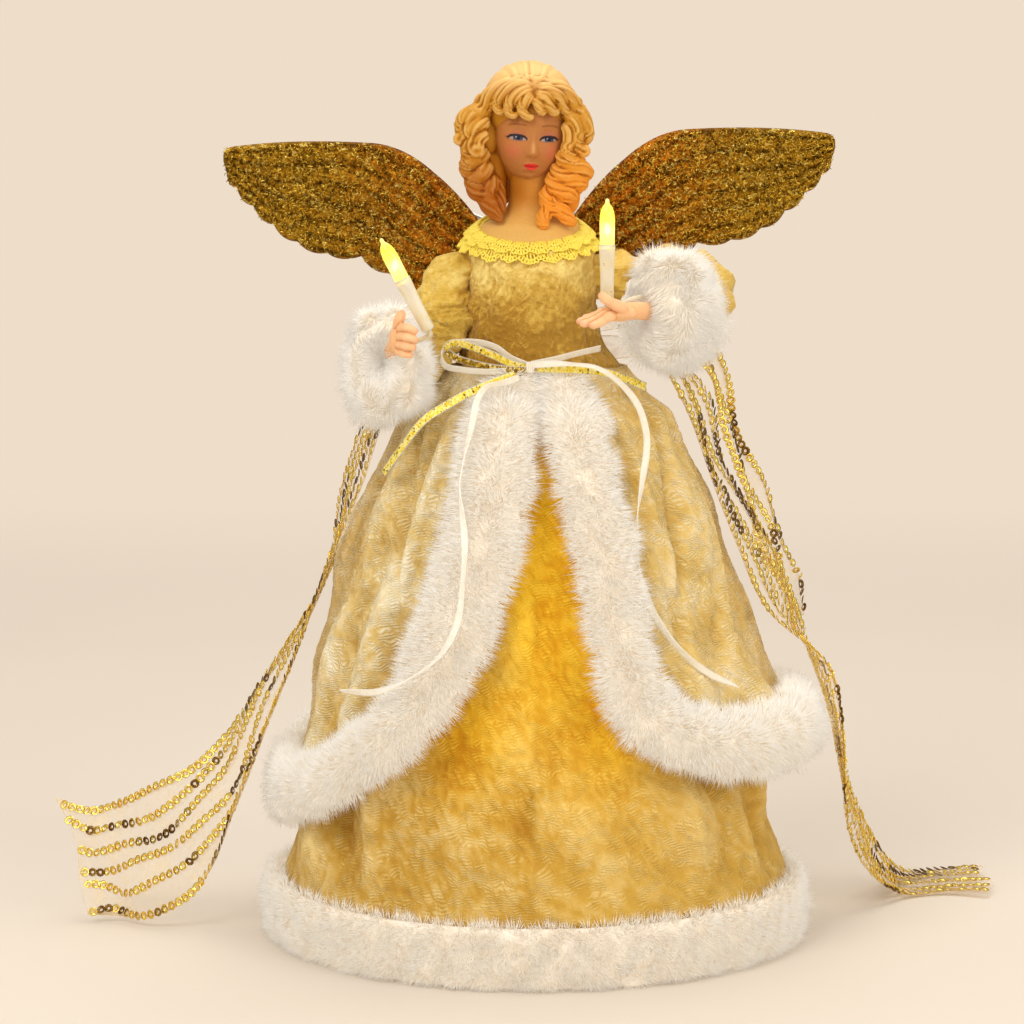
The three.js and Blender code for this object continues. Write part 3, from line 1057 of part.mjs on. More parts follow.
function wingPanel() {
  const outline = new THREE.Shape();
  outline.moveTo(15, 33);
  outline.lineTo(15, 49);
  outline.quadraticCurveTo(24, 62, 33, 69);
  outline.quadraticCurveTo(44, 79, 56, 79.5);
  outline.quadraticCurveTo(84, 81, 105, 78);
  outline.quadraticCurveTo(110, 75, 106.5, 69.5);
  const tips = [[103, 64], [97, 57.5], [90, 51], [81.5, 45], [71, 41], [59, 40], [49, 34], [37, 28]];
  let last = vector(106.5, 69.5, 0);
  for (const [x, z] of tips) {
    const middle = vector((last.x + x) / 2 + 1.6, (last.y + z) / 2 - 3, 0);
    outline.quadraticCurveTo(middle.x, middle.y, x, z);
    last = vector(x, z, 0);
  }
  outline.quadraticCurveTo(24, 24, 15, 33);
  return new THREE.ExtrudeGeometry(outline, { depth: WING_THICKNESS, bevelEnabled: false, curveSegments: 4 })
    .translate(-WING_HINGE_X, 0, -WING_THICKNESS / 2).rotateX(Math.PI / 2)
    .rotateZ(degrees(WING_SWEEP)).translate(WING_HINGE_X, wingHingeY, 0);
}

function mirrored(geometry) {
  return sealed(geometry.clone().scale(-1, 1, 1));
}

function makeWings() {
  const top = BRACKET_BOTTOM + BRACKET_HEIGHT;
  const plate = block(
    vector(-BRACKET_WIDTH / 2, plateFront, BRACKET_BOTTOM),
    vector(BRACKET_WIDTH / 2, plateBack, top),
  );
  const upright = (radius, low, high) => new THREE.CylinderGeometry(radius, radius, high - low, 12)
    .rotateX(Math.PI / 2).translate(WING_HINGE_X, wingHingeY, (low + high) / 2);
  const barrel = upright(wingBore + BARREL_WALL, BRACKET_BOTTOM + BARREL_INSET, top - BARREL_INSET);
  const bore = upright(wingBore, BRACKET_BOTTOM - BARREL_INSET, top + BARREL_INSET);
  const blank = join(plate, barrel, mirrored(barrel));
  add(figure, 'wing_bracket', cut(blank, bore, mirrored(bore)), WHITE_PLASTIC);

  const panel = wingPanel();
  const behind = (reach) => wingHingeY + reach * Math.tan(degrees(WING_SWEEP))
    + WING_THICKNESS / 2 + 2 * SEAT_GAP + WING_WIRE_RADIUS;
  const wing = wire([
    vector(WING_HINGE_X, wingHingeY, BRACKET_BOTTOM - BARREL_INSET),
    vector(WING_HINGE_X, wingHingeY, top - 8),
    vector(WING_HINGE_X, wingHingeY, top - 2), vector(WING_HINGE_X, wingHingeY, top + 0.6),
    vector(WING_HINGE_X + 3.5, behind(4), top + 2.4),
    vector(30, behind(30 - WING_HINGE_X), 57), vector(50, behind(50 - WING_HINGE_X), 66),
    vector(74, behind(74 - WING_HINGE_X), 67),
  ], WING_WIRE_RADIUS, 6, 16);
  add(figure, 'wing_right', panel.clone().translate(0, 0, WING_RIGHT_LIFT), TINSEL);
  add(figure, 'wing_left', mirrored(panel).translate(0, 0, WING_LEFT_LIFT), TINSEL);
  add(figure, 'wing_wire_right', wing, STEEL);
  add(figure, 'wing_wire_left', mirrored(wing), STEEL);
}

makeBase();
makeGown();
makeTrim();
makeSkirtLamps();
makeBatteryBox();
makeLeads();
makeTorso();
makeHead();
makeHair();
makeBow();
makeTails();
makeStreamers();
makeArm('left', ARMS.left);
makeArm('right', ARMS.right);
makeWings();

export default model;
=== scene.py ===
"""Looks of the angel tree topper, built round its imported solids.

Sizes are in millimetres in the solids' frame, front -Y and +X the viewer's right; meshes are in metres.
Points marked figure are counted from the middle of the waist.
"""
from __future__ import annotations

import logging
import math
from dataclasses import dataclass, field
from enum import Enum
from typing import Callable, Sequence, Union

import bmesh
import bpy
import numpy as np
from mathutils import Matrix, Vector
from mathutils.kdtree import KDTree


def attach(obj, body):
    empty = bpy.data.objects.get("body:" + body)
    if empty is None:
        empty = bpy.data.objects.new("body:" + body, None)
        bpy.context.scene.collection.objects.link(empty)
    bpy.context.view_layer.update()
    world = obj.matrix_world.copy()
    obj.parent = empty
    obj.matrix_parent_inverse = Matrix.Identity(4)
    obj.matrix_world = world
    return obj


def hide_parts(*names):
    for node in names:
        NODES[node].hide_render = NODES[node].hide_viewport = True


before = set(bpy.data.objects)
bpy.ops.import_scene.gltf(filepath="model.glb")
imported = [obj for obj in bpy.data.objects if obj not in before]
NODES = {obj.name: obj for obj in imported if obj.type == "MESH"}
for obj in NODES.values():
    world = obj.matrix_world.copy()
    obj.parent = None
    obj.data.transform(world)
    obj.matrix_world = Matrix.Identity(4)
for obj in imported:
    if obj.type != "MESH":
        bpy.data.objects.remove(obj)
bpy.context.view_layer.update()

MM = 0.001
TAU = 2 * math.pi
WAIST = 194.0
FIGURE = np.array([-2.0, 0.0, WAIST])
LOG = logging.getLogger("tree_topper")

Place = tuple[float, float, float]
Path = Sequence[Place]
Colour = Place
Points = np.ndarray
Piece = bpy.types.Object
Link = Union["Value", float, int, Sequence[float]]


class Body(str, Enum):
    """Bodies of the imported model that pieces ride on."""

    MAIN = "body"
    LEFT_ARM = "left_arm"
    RIGHT_ARM = "right_arm"
    LEFT_WING = "left_wing"
    RIGHT_WING = "right_wing"


# Node trees


class Value:
    """A node's output that Python's operators turn into Math nodes."""

    def __init__(self, tree: "Tree", socket: bpy.types.NodeSocket) -> None:
        """Keeps the socket and the tree that new nodes go into."""
        self.tree = tree
        self.socket = socket

    def math(self, operation: str, *others: Link) -> "Value":
        """Math node of that operation on this value and the others."""
        return self.tree.node("ShaderNodeMath", {"operation": operation}, dict(enumerate((self, *others))))

    def __add__(self, other: Link) -> "Value":
        """Sum."""
        return self.math("ADD", other)

    __radd__ = __add__

    def __mul__(self, other: Link) -> "Value":
        """Product."""
        return self.math("MULTIPLY", other)

    __rmul__ = __mul__

    def __sub__(self, other: Link) -> "Value":
        """Difference."""
        return self.math("SUBTRACT", other)

    def __rsub__(self, other: Link) -> "Value":
        """Difference with this value taken away."""
        return self.tree.node("ShaderNodeMath", {"operation": "SUBTRACT"}, {0: other, 1: self})

    def __truediv__(self, other: Link) -> "Value":
        """Quotient."""
        return self.math("DIVIDE", other)

    def step(self, low: float, high: float) -> "Value":
        """Smooth rise from 0 at low to 1 at high."""
        return self.tree.node("ShaderNodeMapRange", {"interpolation_type": "SMOOTHSTEP"},
                              {0: self, 1: low, 2: high, 3: 0.0, 4: 1.0})


class Tree:
    """A node tree whose nodes all come from one method."""

    def __init__(self, nodes: bpy.types.NodeTree) -> None:
        """Wraps an existing tree."""
        self.nodes = nodes

    def node(self, kind: str, settings: dict | None = None, sockets: dict | None = None,
             out: int | str = 0) -> Value:
        """Adds a node.

        Args:
            kind: the node's type.
            settings: its properties; stops gives a colour ramp's positions and colours.
            sockets: values or links by socket name or number.
            out: the output that is returned.

        Returns:
            The chosen output.
        """
        made = self.nodes.nodes.new(kind)
        for name, value in (settings or {}).items():
            if name == "stops":
                self._ramp(made.color_ramp, value)
            else:
                setattr(made, name, value)
        for name, value in (sockets or {}).items():
            if isinstance(value, Value):
                self.nodes.links.new(value.socket, made.inputs[name])
            else:
                made.inputs[name].default_value = value
        return Value(self, made.outputs[out] if len(made.outputs) else None)

    @staticmethod
    def _ramp(ramp: bpy.types.ColorRamp, stops: Sequence[tuple[float, Colour]]) -> None:
        """Sets a colour ramp's stops."""
        while len(ramp.elements) < len(stops):
            ramp.elements.new(1.0)
        for element, (place, colour) in zip(ramp.elements, stops):
            element.position = place
            element.color = (*colour, 1.0)

    def ramp(self, factor: Value, stops: Sequence[tuple[float, Colour]]) -> Value:
        """Colour along a ramp."""
        return self.node("ShaderNodeValToRGB", {"stops": stops}, {"Fac": factor})

    def mix(self, factor: Link, first: Link, second: Link) -> Value:
        """Mix of two colours."""
        first, second = (c if isinstance(c, Value) else (*c, 1.0) for c in (first, second))
        return self.node("ShaderNodeMix", {"data_type": "RGBA"}, {0: factor, 6: first, 7: second}, out=2)

    def noise(self, where: Value, scale: Link, detail: float, warp: float = 0.0, out: int | str = 0) -> Value:
        """Noise texture at a place."""
        return self.node("ShaderNodeTexNoise", None,
                         {"Vector": where, "Scale": scale, "Detail": detail, "Distortion": warp}, out)

    def vector(self, operation: str, *operands: Link, out: int | str = 0) -> Value:
        """Vector Math node of that operation."""
        return self.node("ShaderNodeVectorMath", {"operation": operation}, dict(enumerate(operands)), out)

    def part(self, vector: Value, axis: str) -> Value:
        """One coordinate of a vector."""
        return self.node("ShaderNodeSeparateXYZ", None, {0: vector}, axis)


@dataclass(frozen=True)
class Finish:
    """A surface: its name, the record's slot, which is not used, and what stays the same all over it."""

    name: str
    slot: str
    roughness: float = 0.5
    metallic: float = 0.0
    constants: tuple[tuple[str, float | Colour], ...] = ()

    def paint(self, tree: Tree, place: Value) -> dict[str, Value]:
        """Links of the shader's sockets.

        Args:
            tree: the material's nodes.
            place: Object coordinates in millimetres.

        Returns:
            Values by socket name.
        """
        raise NotImplementedError

    def material(self) -> bpy.types.Material:
        """Material of this finish, made once."""
        made = bpy.data.materials.get(self.name)
        if made is not None:
            return made
        made = bpy.data.materials.new(self.name)
        made.use_nodes = True
        tree = Tree(made.node_tree)
        shader = made.node_tree.nodes["Principled BSDF"]
        shader.inputs["Roughness"].default_value = self.roughness
        shader.inputs["Metallic"].default_value = self.metallic
        for name, value in self.constants:
            shader.inputs[name].default_value = (*value, 1.0) if isinstance(value, tuple) else value
        raw = tree.node("ShaderNodeTexCoord", out="Object")
        place = tree.vector("MULTIPLY", raw, (1000.0, 1000.0, 1000.0))
        for name, value in self.paint(tree, place).items():
            made.node_tree.links.new(value.socket, shader.inputs[name])
        return made


def bump(tree: Tree, height: Value, strength: float, depth: float) -> Value:
    """Bump of a height over a depth in millimetres."""
    return tree.node("ShaderNodeBump", None, {"Height": height, "Strength": strength, "Distance": depth * MM})


def attribute(tree: Tree, name: str, out: int | str = "Fac") -> Value:
    """A mesh's own attribute."""
    return tree.node("ShaderNodeAttribute", {"attribute_name": name}, out=out)


@dataclass(frozen=True)
class Velvet(Finish):
    """Crushed short-pile velvet with a fishbone nap, optionally lit from behind."""

    shades: tuple[Colour, Colour, Colour] = ((0.48, 0.28, 0.055), (0.72, 0.53, 0.2), (0.96, 0.89, 0.68))
    band: float = 2.6
    stroke: float = 1.05
    marks: float = 0.14
    woven: float = 0.26
    grain: float = 1.5
    drift: float = 0.85
    tuft: float = 0.24
    lit: bool = False

    def strokes(self, tree: Tree, place: Value) -> Value:
        """Short strokes that turn from band to band, broken up by the crush."""
        x, y, z = (tree.part(place, axis) for axis in "XYZ")
        around = x.math("ARCTAN2", y * -1.0) * 58.0
        waver = tree.noise(place, 0.09, 2.0)
        across = around * 0.8 + z * 0.6 + waver * 10.0
        along = z * 0.8 - around * 0.6 + waver * 5.0
        row = (across / self.band).math("FLOOR")
        edge = ((across / self.band).math("FRACT") - 0.5).math("ABSOLUTE").step(0.32, 0.5)
        lean = (row * 0.37).math("FRACT") * 0.5 + 0.35
        stripe = ((along + across * lean + row * 0.41) * (TAU / self.stroke)).math("SINE") * 0.5 + 0.5
        return stripe * (1.0 - edge) * tree.noise(place, 0.22, 3.0).step(0.36, 0.58)

    def paint(self, tree: Tree, place: Value) -> dict[str, Value]:
        """Nap, crush marks (with painted shade on the skirts and bodice) and pile, with the lamps' glow where the cloth
        is lit.
        """
        # The crush attribute also carries painted shade on the skirts and bodice.
        crush = attribute(tree, "crush")
        drift = tree.noise(place, 0.06, 3.0, 0.6)
        strokes = self.strokes(tree, place)
        pile = tree.noise(place, self.grain, 3.0, 0.4)
        nap = ((drift - 0.5) * self.drift + crush * self.marks + (strokes - 0.25) * self.woven
               + (pile - 0.5) * self.tuft + 0.42)
        colour = tree.ramp(nap, ((0.2, self.shades[0]), (0.46, self.shades[1]), (0.82, self.shades[2])))
        # Painted shade: the right side is tinted a deeper gold, away from the key light on the left.
        east_shade = tree.part(place, "X").step(-20.0, 40.0)
        colour = tree.mix(east_shade * 0.3, colour, (0.72, 0.47, 0.09))
        height = strokes * (1.6 * self.woven) + pile * (1.6 * self.tuft) + crush * 0.2
        links = {"Base Color": colour, "Normal": bump(tree, height, 0.8, 1.0),
                 "Roughness": (1.0 - nap * 0.4).math("MINIMUM", 0.9)}
        if self.lit:
            glow = attribute(tree, "glow")
            warm = tree.mix(nap.step(0.2, 0.8), (0.54, 0.225, 0.0), (0.8, 0.48, 0.012))
            links["Base Color"] = tree.mix(glow.step(0.03, 0.8) * 0.9, colour, warm)
            links["Emission Color"] = tree.mix(glow, (0.0, 0.0, 0.0), warm)
        return links


@dataclass(frozen=True)
class Fur(Finish):
    """White plush with painted shade, warmer and darker, at its roots."""

    tone: float = 1.0

    def paint(self, tree: Tree, place: Value) -> dict[str, Value]:
        """White strands with painted shade at the root, and a painted glow for the light let through from strand to
        strand.
        """
        tip = attribute(tree, "tip")
        patches = tree.noise(place, 0.12, 2.0)
        root = tree.mix(patches.step(0.35, 0.7), (0.89, 0.81, 0.69), (0.93, 0.87, 0.77))
        colour = tree.mix(tip.step(0.0, 0.6), root, (0.96, 0.935, 0.885))
        colour = tree.vector("MULTIPLY", colour, (self.tone, self.tone, self.tone))
        return {"Base Color": colour, "Emission Color": tree.vector("MULTIPLY", colour, (1.0, 0.93, 0.84))}


@dataclass(frozen=True)
class Painted(Finish):
    """Moulded plastic painted by the mesh's own colours."""

    grain: float = 1.2

    def paint(self, tree: Tree, place: Value) -> dict[str, Value]:
        """The painted colour with a slight mottle and an uneven gloss, also given out as a painted glow where the
        finish sets an emission strength.
        """
        mottle = tree.noise(place, self.grain, 3.0)
        paint = attribute(tree, "paint", "Color")
        shade = tree.mix(mottle.step(0.2, 0.8) * 0.5, paint, tree.vector("MULTIPLY", paint, (0.88, 0.82, 0.78)))
        return {"Base Color": shade, "Emission Color": shade, "Roughness": 0.36 + mottle * 0.22,
                "Normal": bump(tree, mottle, 0.12, 0.12)}


@dataclass(frozen=True)
class Tinsel(Finish):
    """Crinkled metal threads stuck on felt."""

    def paint(self, tree: Tree, place: Value) -> dict[str, Value]:
        """Dark felt between bright threads, with sparkles."""
        wide = tree.vector("MULTIPLY", place, (0.62, 0.62, 1.0))
        threads = tree.noise(wide, 1.05, 5.0, 2.6)
        tone = tree.noise(place, 0.09, 2.0)
        glints = tree.node("ShaderNodeTexVoronoi", {"feature": "F1"}, {"Vector": wide, "Scale": 1.25}, "Color")
        glint = tree.node("ShaderNodeSeparateColor", None, {0: glints})
        sparkle = glint.step(0.83, 0.97)
        ridge = attribute(tree, "shade")
        lit = (threads * 1.25 + tone * 0.35 + ridge * 0.34 - 0.52)
        colour = tree.ramp(lit, ((0.22, (0.05, 0.022, 0.001)), (0.46, (0.29, 0.135, 0.004)),
                                 (0.66, (0.62, 0.34, 0.015)), (0.9, (0.95, 0.68, 0.1))))
        inward = 1.0 - tree.part(place, "X").math("ABSOLUTE").step(30.0, 80.0)
        colour = tree.mix(inward, colour, tree.vector("MULTIPLY", colour, (1.25, 0.78, 0.5)))
        return {"Base Color": tree.mix(sparkle * 0.85, colour, (1.0, 0.8, 0.22)),
                "Roughness": 0.52 - sparkle * 0.3, "Normal": bump(tree, threads + sparkle * 0.3, 1.0, 1.1)}


@dataclass(frozen=True)
class Thread(Finish):
    """Shiny yarn of crochet."""

    colour: Colour = (0.9, 0.66, 0.03)
    dark: Colour = (0.55, 0.33, 0.01)
    scale: float = 2.6

    def paint(self, tree: Tree, place: Value) -> dict[str, Value]:
        """Twisted yarn with bright and dark filaments."""
        fibre = tree.noise(place, self.scale, 4.0, 1.0)
        return {"Base Color": tree.mix(fibre.step(0.3, 0.66), self.dark, self.colour),
                "Roughness": 0.55 - fibre * 0.3, "Normal": bump(tree, fibre, 0.6, 0.3)}


@dataclass(frozen=True)
class Ribbon(Finish):
    """Woven ribbon, with its threads along the mesh's own UV."""

    colour: Colour = (0.97, 0.95, 0.88)
    shade: Colour = (0.88, 0.81, 0.66)
    threads: float = 13.0
    dots: float = 0.0
    dense: float = 0.5
    sheer: float = 0.0

    def paint(self, tree: Tree, place: Value) -> dict[str, Value]:
        """Fine threads along the ribbon; a lurex one has bright and dark picks and sheer white selvedges."""
        uv = tree.node("ShaderNodeUVMap", {"uv_map": "ribbon"})
        along = tree.part(uv, "Y")
        across = tree.part(uv, "X")
        weave = (across * self.threads * TAU).math("SINE") * 0.5 + 0.5
        waver = tree.noise(place, 0.5, 2.0)
        colour = tree.mix(waver.step(0.35, 0.7) * 0.6 + weave * 0.25, self.shade, self.colour)
        height = weave * 0.5 + waver
        links = {"Roughness": self.roughness + waver * 0.15}
        if self.dots:
            lie = tree.node("ShaderNodeCombineXYZ", None, {"X": along / self.dots, "Y": across * 4.0})
            cells = tree.node("ShaderNodeTexVoronoi", {"feature": "F1"}, {"Vector": lie, "Scale": 1.0}, "Color")
            cell = tree.node("ShaderNodeSeparateColor", None, {0: cells})
            colour = tree.ramp(cell, ((0.0, (0.12, 0.055, 0.003)), (self.dense, self.shade),
                                      (self.dense + 0.25, self.colour), (0.96, (1.0, 0.93, 0.42))))
            edge = (across - 0.5).math("ABSOLUTE").step(0.38, 0.44)
            colour = tree.mix(edge, colour, (0.97, 0.94, 0.84))
            height = height + cell * 2.0
            links["Alpha"] = 1.0 - edge * 0.5
        if self.sheer:
            links["Alpha"] = 1.0 - self.sheer * (0.6 + weave * 0.4)
        return {**links, "Base Color": colour, "Normal": bump(tree, height, 0.45, 0.2)}


@dataclass(frozen=True)
class Organza(Finish):
    """Sheer gold weave."""

    def paint(self, tree: Tree, place: Value) -> dict[str, Value]:
        """Soft folds of a sheer weave, denser at its edges."""
        uv = tree.node("ShaderNodeUVMap", {"uv_map": "ribbon"})
        across = tree.part(uv, "X")
        folds = tree.noise(place, 0.16, 2.0, 0.5)
        edge = (across - 0.5).math("ABSOLUTE").step(0.44, 0.5)
        return {"Base Color": tree.mix(folds, (0.86, 0.6, 0.22), (0.95, 0.78, 0.45)),
                "Alpha": 0.08 + folds.step(0.4, 0.75) * 0.16 + edge * 0.4}


@dataclass(frozen=True)
class Sequin(Finish):
    """Stamped metal foil, gold or bronze by piece."""

    worn: Colour = (0.8, 0.52, 0.06)
    bright: Colour = (1.0, 0.82, 0.25)
    bronze: Colour = (0.2, 0.105, 0.02)

    def paint(self, tree: Tree, place: Value) -> dict[str, Value]:
        """Gold with some bronze pieces, a little worn."""
        pick = attribute(tree, "pick")
        wear = tree.noise(place, 1.5, 2.0)
        gold = tree.mix(wear, self.worn, self.bright)
        return {"Base Color": tree.mix(pick.step(0.66, 0.74), gold, self.bronze), "Roughness": 0.16 + wear * 0.2}


@dataclass(frozen=True)
class Lamp(Finish):
    """Lit lamp: a hot core, marked by a rise over 1, behind coloured glass."""

    def paint(self, tree: Tree, place: Value) -> dict[str, Value]:
        """Glow along the lamp from its own attribute."""
        rise = attribute(tree, "rise")
        speck = tree.noise(place, 0.9, 2.0)
        glow = tree.ramp(rise * 0.5 + speck * 0.03, (
            (0.0, (1.0, 0.72, 0.08)), (0.2, (1.0, 0.9, 0.3)), (0.3, (0.98, 0.8, 0.06)), (0.42, (0.8, 0.66, 0.03)),
            (0.52, (0.9, 0.8, 0.3)), (0.7, (1.0, 1.0, 0.85))))
        return {"Base Color": tree.mix(0.5, glow, (1.0, 0.86, 0.2)), "Emission Color": glow,
                "Alpha": 0.62 + rise.step(1.1, 1.2) * 0.38}


@dataclass(frozen=True)
class Moulded(Finish):
    """Plain moulded, drawn or foamed material with its own grain."""

    colour: Colour = (0.86, 0.85, 0.82)
    second: Colour = (0.78, 0.77, 0.73)
    scale: float = 0.6
    depth: float = 0.08

    def paint(self, tree: Tree, place: Value) -> dict[str, Value]:
        """Two close tones, an uneven gloss and a fine grain."""
        cloud = tree.noise(place, self.scale, 4.0)
        grain = tree.noise(place, self.scale * 7, 2.0)
        return {"Base Color": tree.mix(cloud.step(0.3, 0.7), self.second, self.colour),
                "Roughness": self.roughness + cloud * 0.16 - 0.08, "Normal": bump(tree, grain, 0.3, self.depth)}


SHEEN = (("Sheen Weight", 0.55), ("Sheen Roughness", 0.35), ("Sheen Tint", (1.0, 0.86, 0.55)))
VELVET = Velvet("crushed_velvet", "velvet", constants=SHEEN)
BODICE_VELVET = Velvet("pebbled_velvet", "velvet", marks=0.3, woven=0.04, grain=0.55, drift=0.45, tuft=0.75,
                       constants=SHEEN, shades=((0.38, 0.19, 0.012), (0.62, 0.39, 0.06), (0.95, 0.76, 0.26)))
SLEEVE_VELVET = Velvet("sleeve_velvet", "velvet", marks=0.2, woven=0.06, grain=0.6, drift=0.6, tuft=0.6,
                       constants=SHEEN, shades=((0.42, 0.225, 0.02), (0.64, 0.41, 0.055), (0.82, 0.64, 0.2)))
LIT_VELVET = Velvet("lit_velvet", "under_velvet", lit=True, shades=(
    (0.38, 0.18, 0.014), (0.54, 0.315, 0.045), (0.78, 0.59, 0.25)), woven=0.22, drift=0.6, marks=0.2, constants=(
    ("Sheen Weight", 0.25), ("Sheen Tint", (1.0, 0.8, 0.4)), ("Specular IOR Level", 0.25), ("Emission Strength", 0.3)))
# Fur glows with its own colour: painted light standing in for light passed between the strands.
PLUSH = (("Emission Strength", 0.24), ("Specular IOR Level", 0.1))
FUR = Fur("white_plush", "fur", 0.9, tone=0.9, constants=PLUSH)
HEM_FUR = Fur("hem_plush", "fur", 0.9, tone=0.88, constants=PLUSH)
# Skin and hair give out their paint as a faint painted glow that lifts their shade.
SKIN = Painted("painted_skin", "skin", constants=(
    ("Subsurface Weight", 0.1), ("Subsurface Scale", 0.0006), ("Specular IOR Level", 0.14),
    ("Emission Strength", 0.12)))
HAIR = Painted("painted_hair", "hair", constants=(
    ("Subsurface Weight", 0.15), ("Subsurface Scale", 0.001), ("Specular IOR Level", 0.14), ("Emission Strength", 0.1)))
TINSEL = Tinsel("tinsel_felt", "tinsel", 0.4, 0.85)
# The crochet glows faintly gold: painted light.
LACE = Thread("crochet_lurex", "lace", 0.4, 0.1, colour=(1.0, 0.84, 0.14), dark=(0.82, 0.6, 0.03), constants=(
    ("Emission Strength", 0.06), ("Emission Color", (1.0, 0.78, 0.1))))
# The satin glows faintly white: painted light.
SATIN = Ribbon("white_satin", "satin", 0.3, colour=(1.0, 0.98, 0.92), shade=(0.92, 0.86, 0.72), sheer=0.45, constants=(
    ("Sheen Weight", 0.3), ("Emission Strength", 0.1), ("Emission Color", (1.0, 0.96, 0.88))))
GOLD_RIBBON = Ribbon("gold_lurex", "gold_ribbon", 0.3, 0.35, colour=(1.0, 0.78, 0.05), shade=(0.8, 0.55, 0.015),
                     dots=0.55, dense=0.16)
DARK_RIBBON = Ribbon("dark_lurex", "gold_ribbon", 0.3, 0.4, colour=(0.8, 0.55, 0.06), shade=(0.42, 0.24, 0.01),
                     dots=0.5, dense=0.5)
ORGANZA = Organza("sheer_organza", "sequin", 0.45)
SEQUIN = Sequin("foil_sequin", "sequin", 0.2, 0.9)
THREADS = Sequin("metal_threads", "tinsel", 0.24, 0.95, worn=(0.74, 0.4, 0.015), bright=(1.0, 0.74, 0.13),
                 bronze=(0.14, 0.06, 0.003))
HUSK = Moulded("frosted_husk", "clear_white", 0.3, colour=(0.96, 0.92, 0.8), second=(0.94, 0.86, 0.62), scale=0.2,
               constants=(("Transmission Weight", 0.45), ("IOR", 1.3)))
LAMP = Lamp("lit_lamp", "glow", 0.12, constants=(("Emission Strength", 1.0), ("Coat Weight", 0.6)))
WHITE = Moulded("white_moulding", "white_plastic", 0.45)
TRANSLUCENT = Moulded("translucent_cone", "clear_white", 0.42, colour=(0.92, 0.88, 0.78), second=(0.86, 0.8, 0.68))
STEEL = Moulded("drawn_steel", "steel", 0.3, 0.95, colour=(0.62, 0.61, 0.6), second=(0.45, 0.44, 0.43), scale=1.4)
CELL = Moulded("cell_sleeve", "cell", 0.32, 0.2, colour=(0.1, 0.11, 0.12), second=(0.05, 0.055, 0.06), scale=0.3)
FOAM = Moulded("grey_foam", "foam", 0.9, colour=(0.5, 0.5, 0.48), second=(0.34, 0.34, 0.33), scale=0.9, depth=0.5)


# Mesh helpers


def unit(vectors: Points) -> Points:
    """Vectors made one long."""
    return vectors / np.maximum(np.linalg.norm(vectors, axis=-1, keepdims=True), 1e-9)


def ease(values: Points, low: float, high: float) -> Points:
    """Smooth rise from 0 at low to 1 at high."""
    t = np.clip((values - low) / (high - low), 0.0, 1.0)
    return t * t * (3 - 2 * t)


def bell(values: Points, centre: float, width: float) -> Points:
    """Bell of height 1 about a centre."""
    return np.exp(-(((values - centre) / width) ** 2))


def ripple(points: Points, wavelength: float, seed: int, waves: int = 12) -> Points:
    """Smooth random field of unit strength, made of waves in random directions.

    Args:
        points: places, one row each.
        wavelength: of the waves, in the places' unit.
        seed: of the random directions.
        waves: how many are added up.

    Returns:
        One number for each place.
    """
    random = np.random.default_rng(seed)
    heading = unit(random.normal(size=(waves, points.shape[-1]))) * random.uniform(0.7, 1.4, (waves, 1))
    phase = random.uniform(0, TAU, waves)
    return np.sin(points @ heading.T * (TAU / wavelength) + phase).sum(-1) * math.sqrt(2 / waves)


def curve_through(pairs: Sequence[tuple[float, float]]) -> Callable[[Points], Points]:
    """Smooth curve through pairs of place and value, flat beyond both ends."""
    xs, ys = (np.array(v, float) for v in zip(*pairs))
    before = np.maximum(np.arange(len(xs)) - 1, 0)
    after = np.minimum(np.arange(len(xs)) + 1, len(xs) - 1)
    slopes = (ys[after] - ys[before]) / (xs[after] - xs[before])

    def value(x: Points) -> Points:
        """Value of the curve at x."""
        x = np.clip(x, xs[0], xs[-1])
        i = np.clip(np.searchsorted(xs, x, side="right") - 1, 0, len(xs) - 2)
        span = xs[i + 1] - xs[i]
        t = (x - xs[i]) / span
        rise = t * t * (3 - 2 * t)
        swing = slopes[i] * t * (1 - t) ** 2 - slopes[i + 1] * t * t * (1 - t)
        return ys[i] * (1 - rise) + ys[i + 1] * rise + span * swing

    return value


class Route:
    """Smooth centripetal curve through points, as the solids' routes are."""

    def __init__(self, points: Sequence[Sequence[float]], offset: Points | None = None) -> None:
        """Keeps the points, moved by an offset."""
        self.points = np.array(points, float) + (0 if offset is None else offset)

    def at(self, t: Points) -> Points:
        """Points at even shares of the control points, from 0 to 1."""
        p = self.points
        padded = np.vstack([2 * p[0] - p[1], p, 2 * p[-1] - p[-2]])
        place = np.clip(t, 0, 1) * (len(p) - 1)
        i = np.minimum(place.astype(int), len(p) - 2)
        w = (place - i)[:, None]
        p0, p1, p2, p3 = (padded[i + k] for k in range(4))
        d0, d1, d2 = (np.sqrt(np.linalg.norm(b - a, axis=1, keepdims=True)) for a, b in ((p0, p1), (p1, p2), (p2, p3)))
        out = ((p1 - p0) / d0 - (p2 - p0) / (d0 + d1) + (p2 - p1) / d1) * d1
        back = ((p2 - p1) / d1 - (p3 - p1) / (d1 + d2) + (p3 - p2) / d2) * d1
        return ((2 * w**3 - 3 * w**2 + 1) * p1 + (w**3 - 2 * w**2 + w) * out
                + (3 * w**2 - 2 * w**3) * p2 + (w**3 - w**2) * back)

    def even(self, count: int) -> Points:
        """Points at even distances along the curve."""
        fine = self.at(evenly(40 * len(self.points)))
        run = run_along(fine)
        wanted = np.linspace(0, run[-1], count)
        return np.stack([np.interp(wanted, run, fine[:, k]) for k in range(3)], axis=1)


def run_along(points: Points) -> Points:
    """Distance of each point from the first along a path."""
    return np.concatenate([[0], np.cumsum(np.linalg.norm(np.diff(points, axis=0), axis=1))])


def path_length(points: Points) -> float:
    """Length along points."""
    return float(np.linalg.norm(np.diff(points, axis=0), axis=1).sum())


def evenly(count: int) -> Points:
    """Even shares from 0 to 1."""
    return np.linspace(0, 1, count)


def circle(count: int) -> Points:
    """Even angles of one turn."""
    return np.linspace(0, TAU, count, endpoint=False)


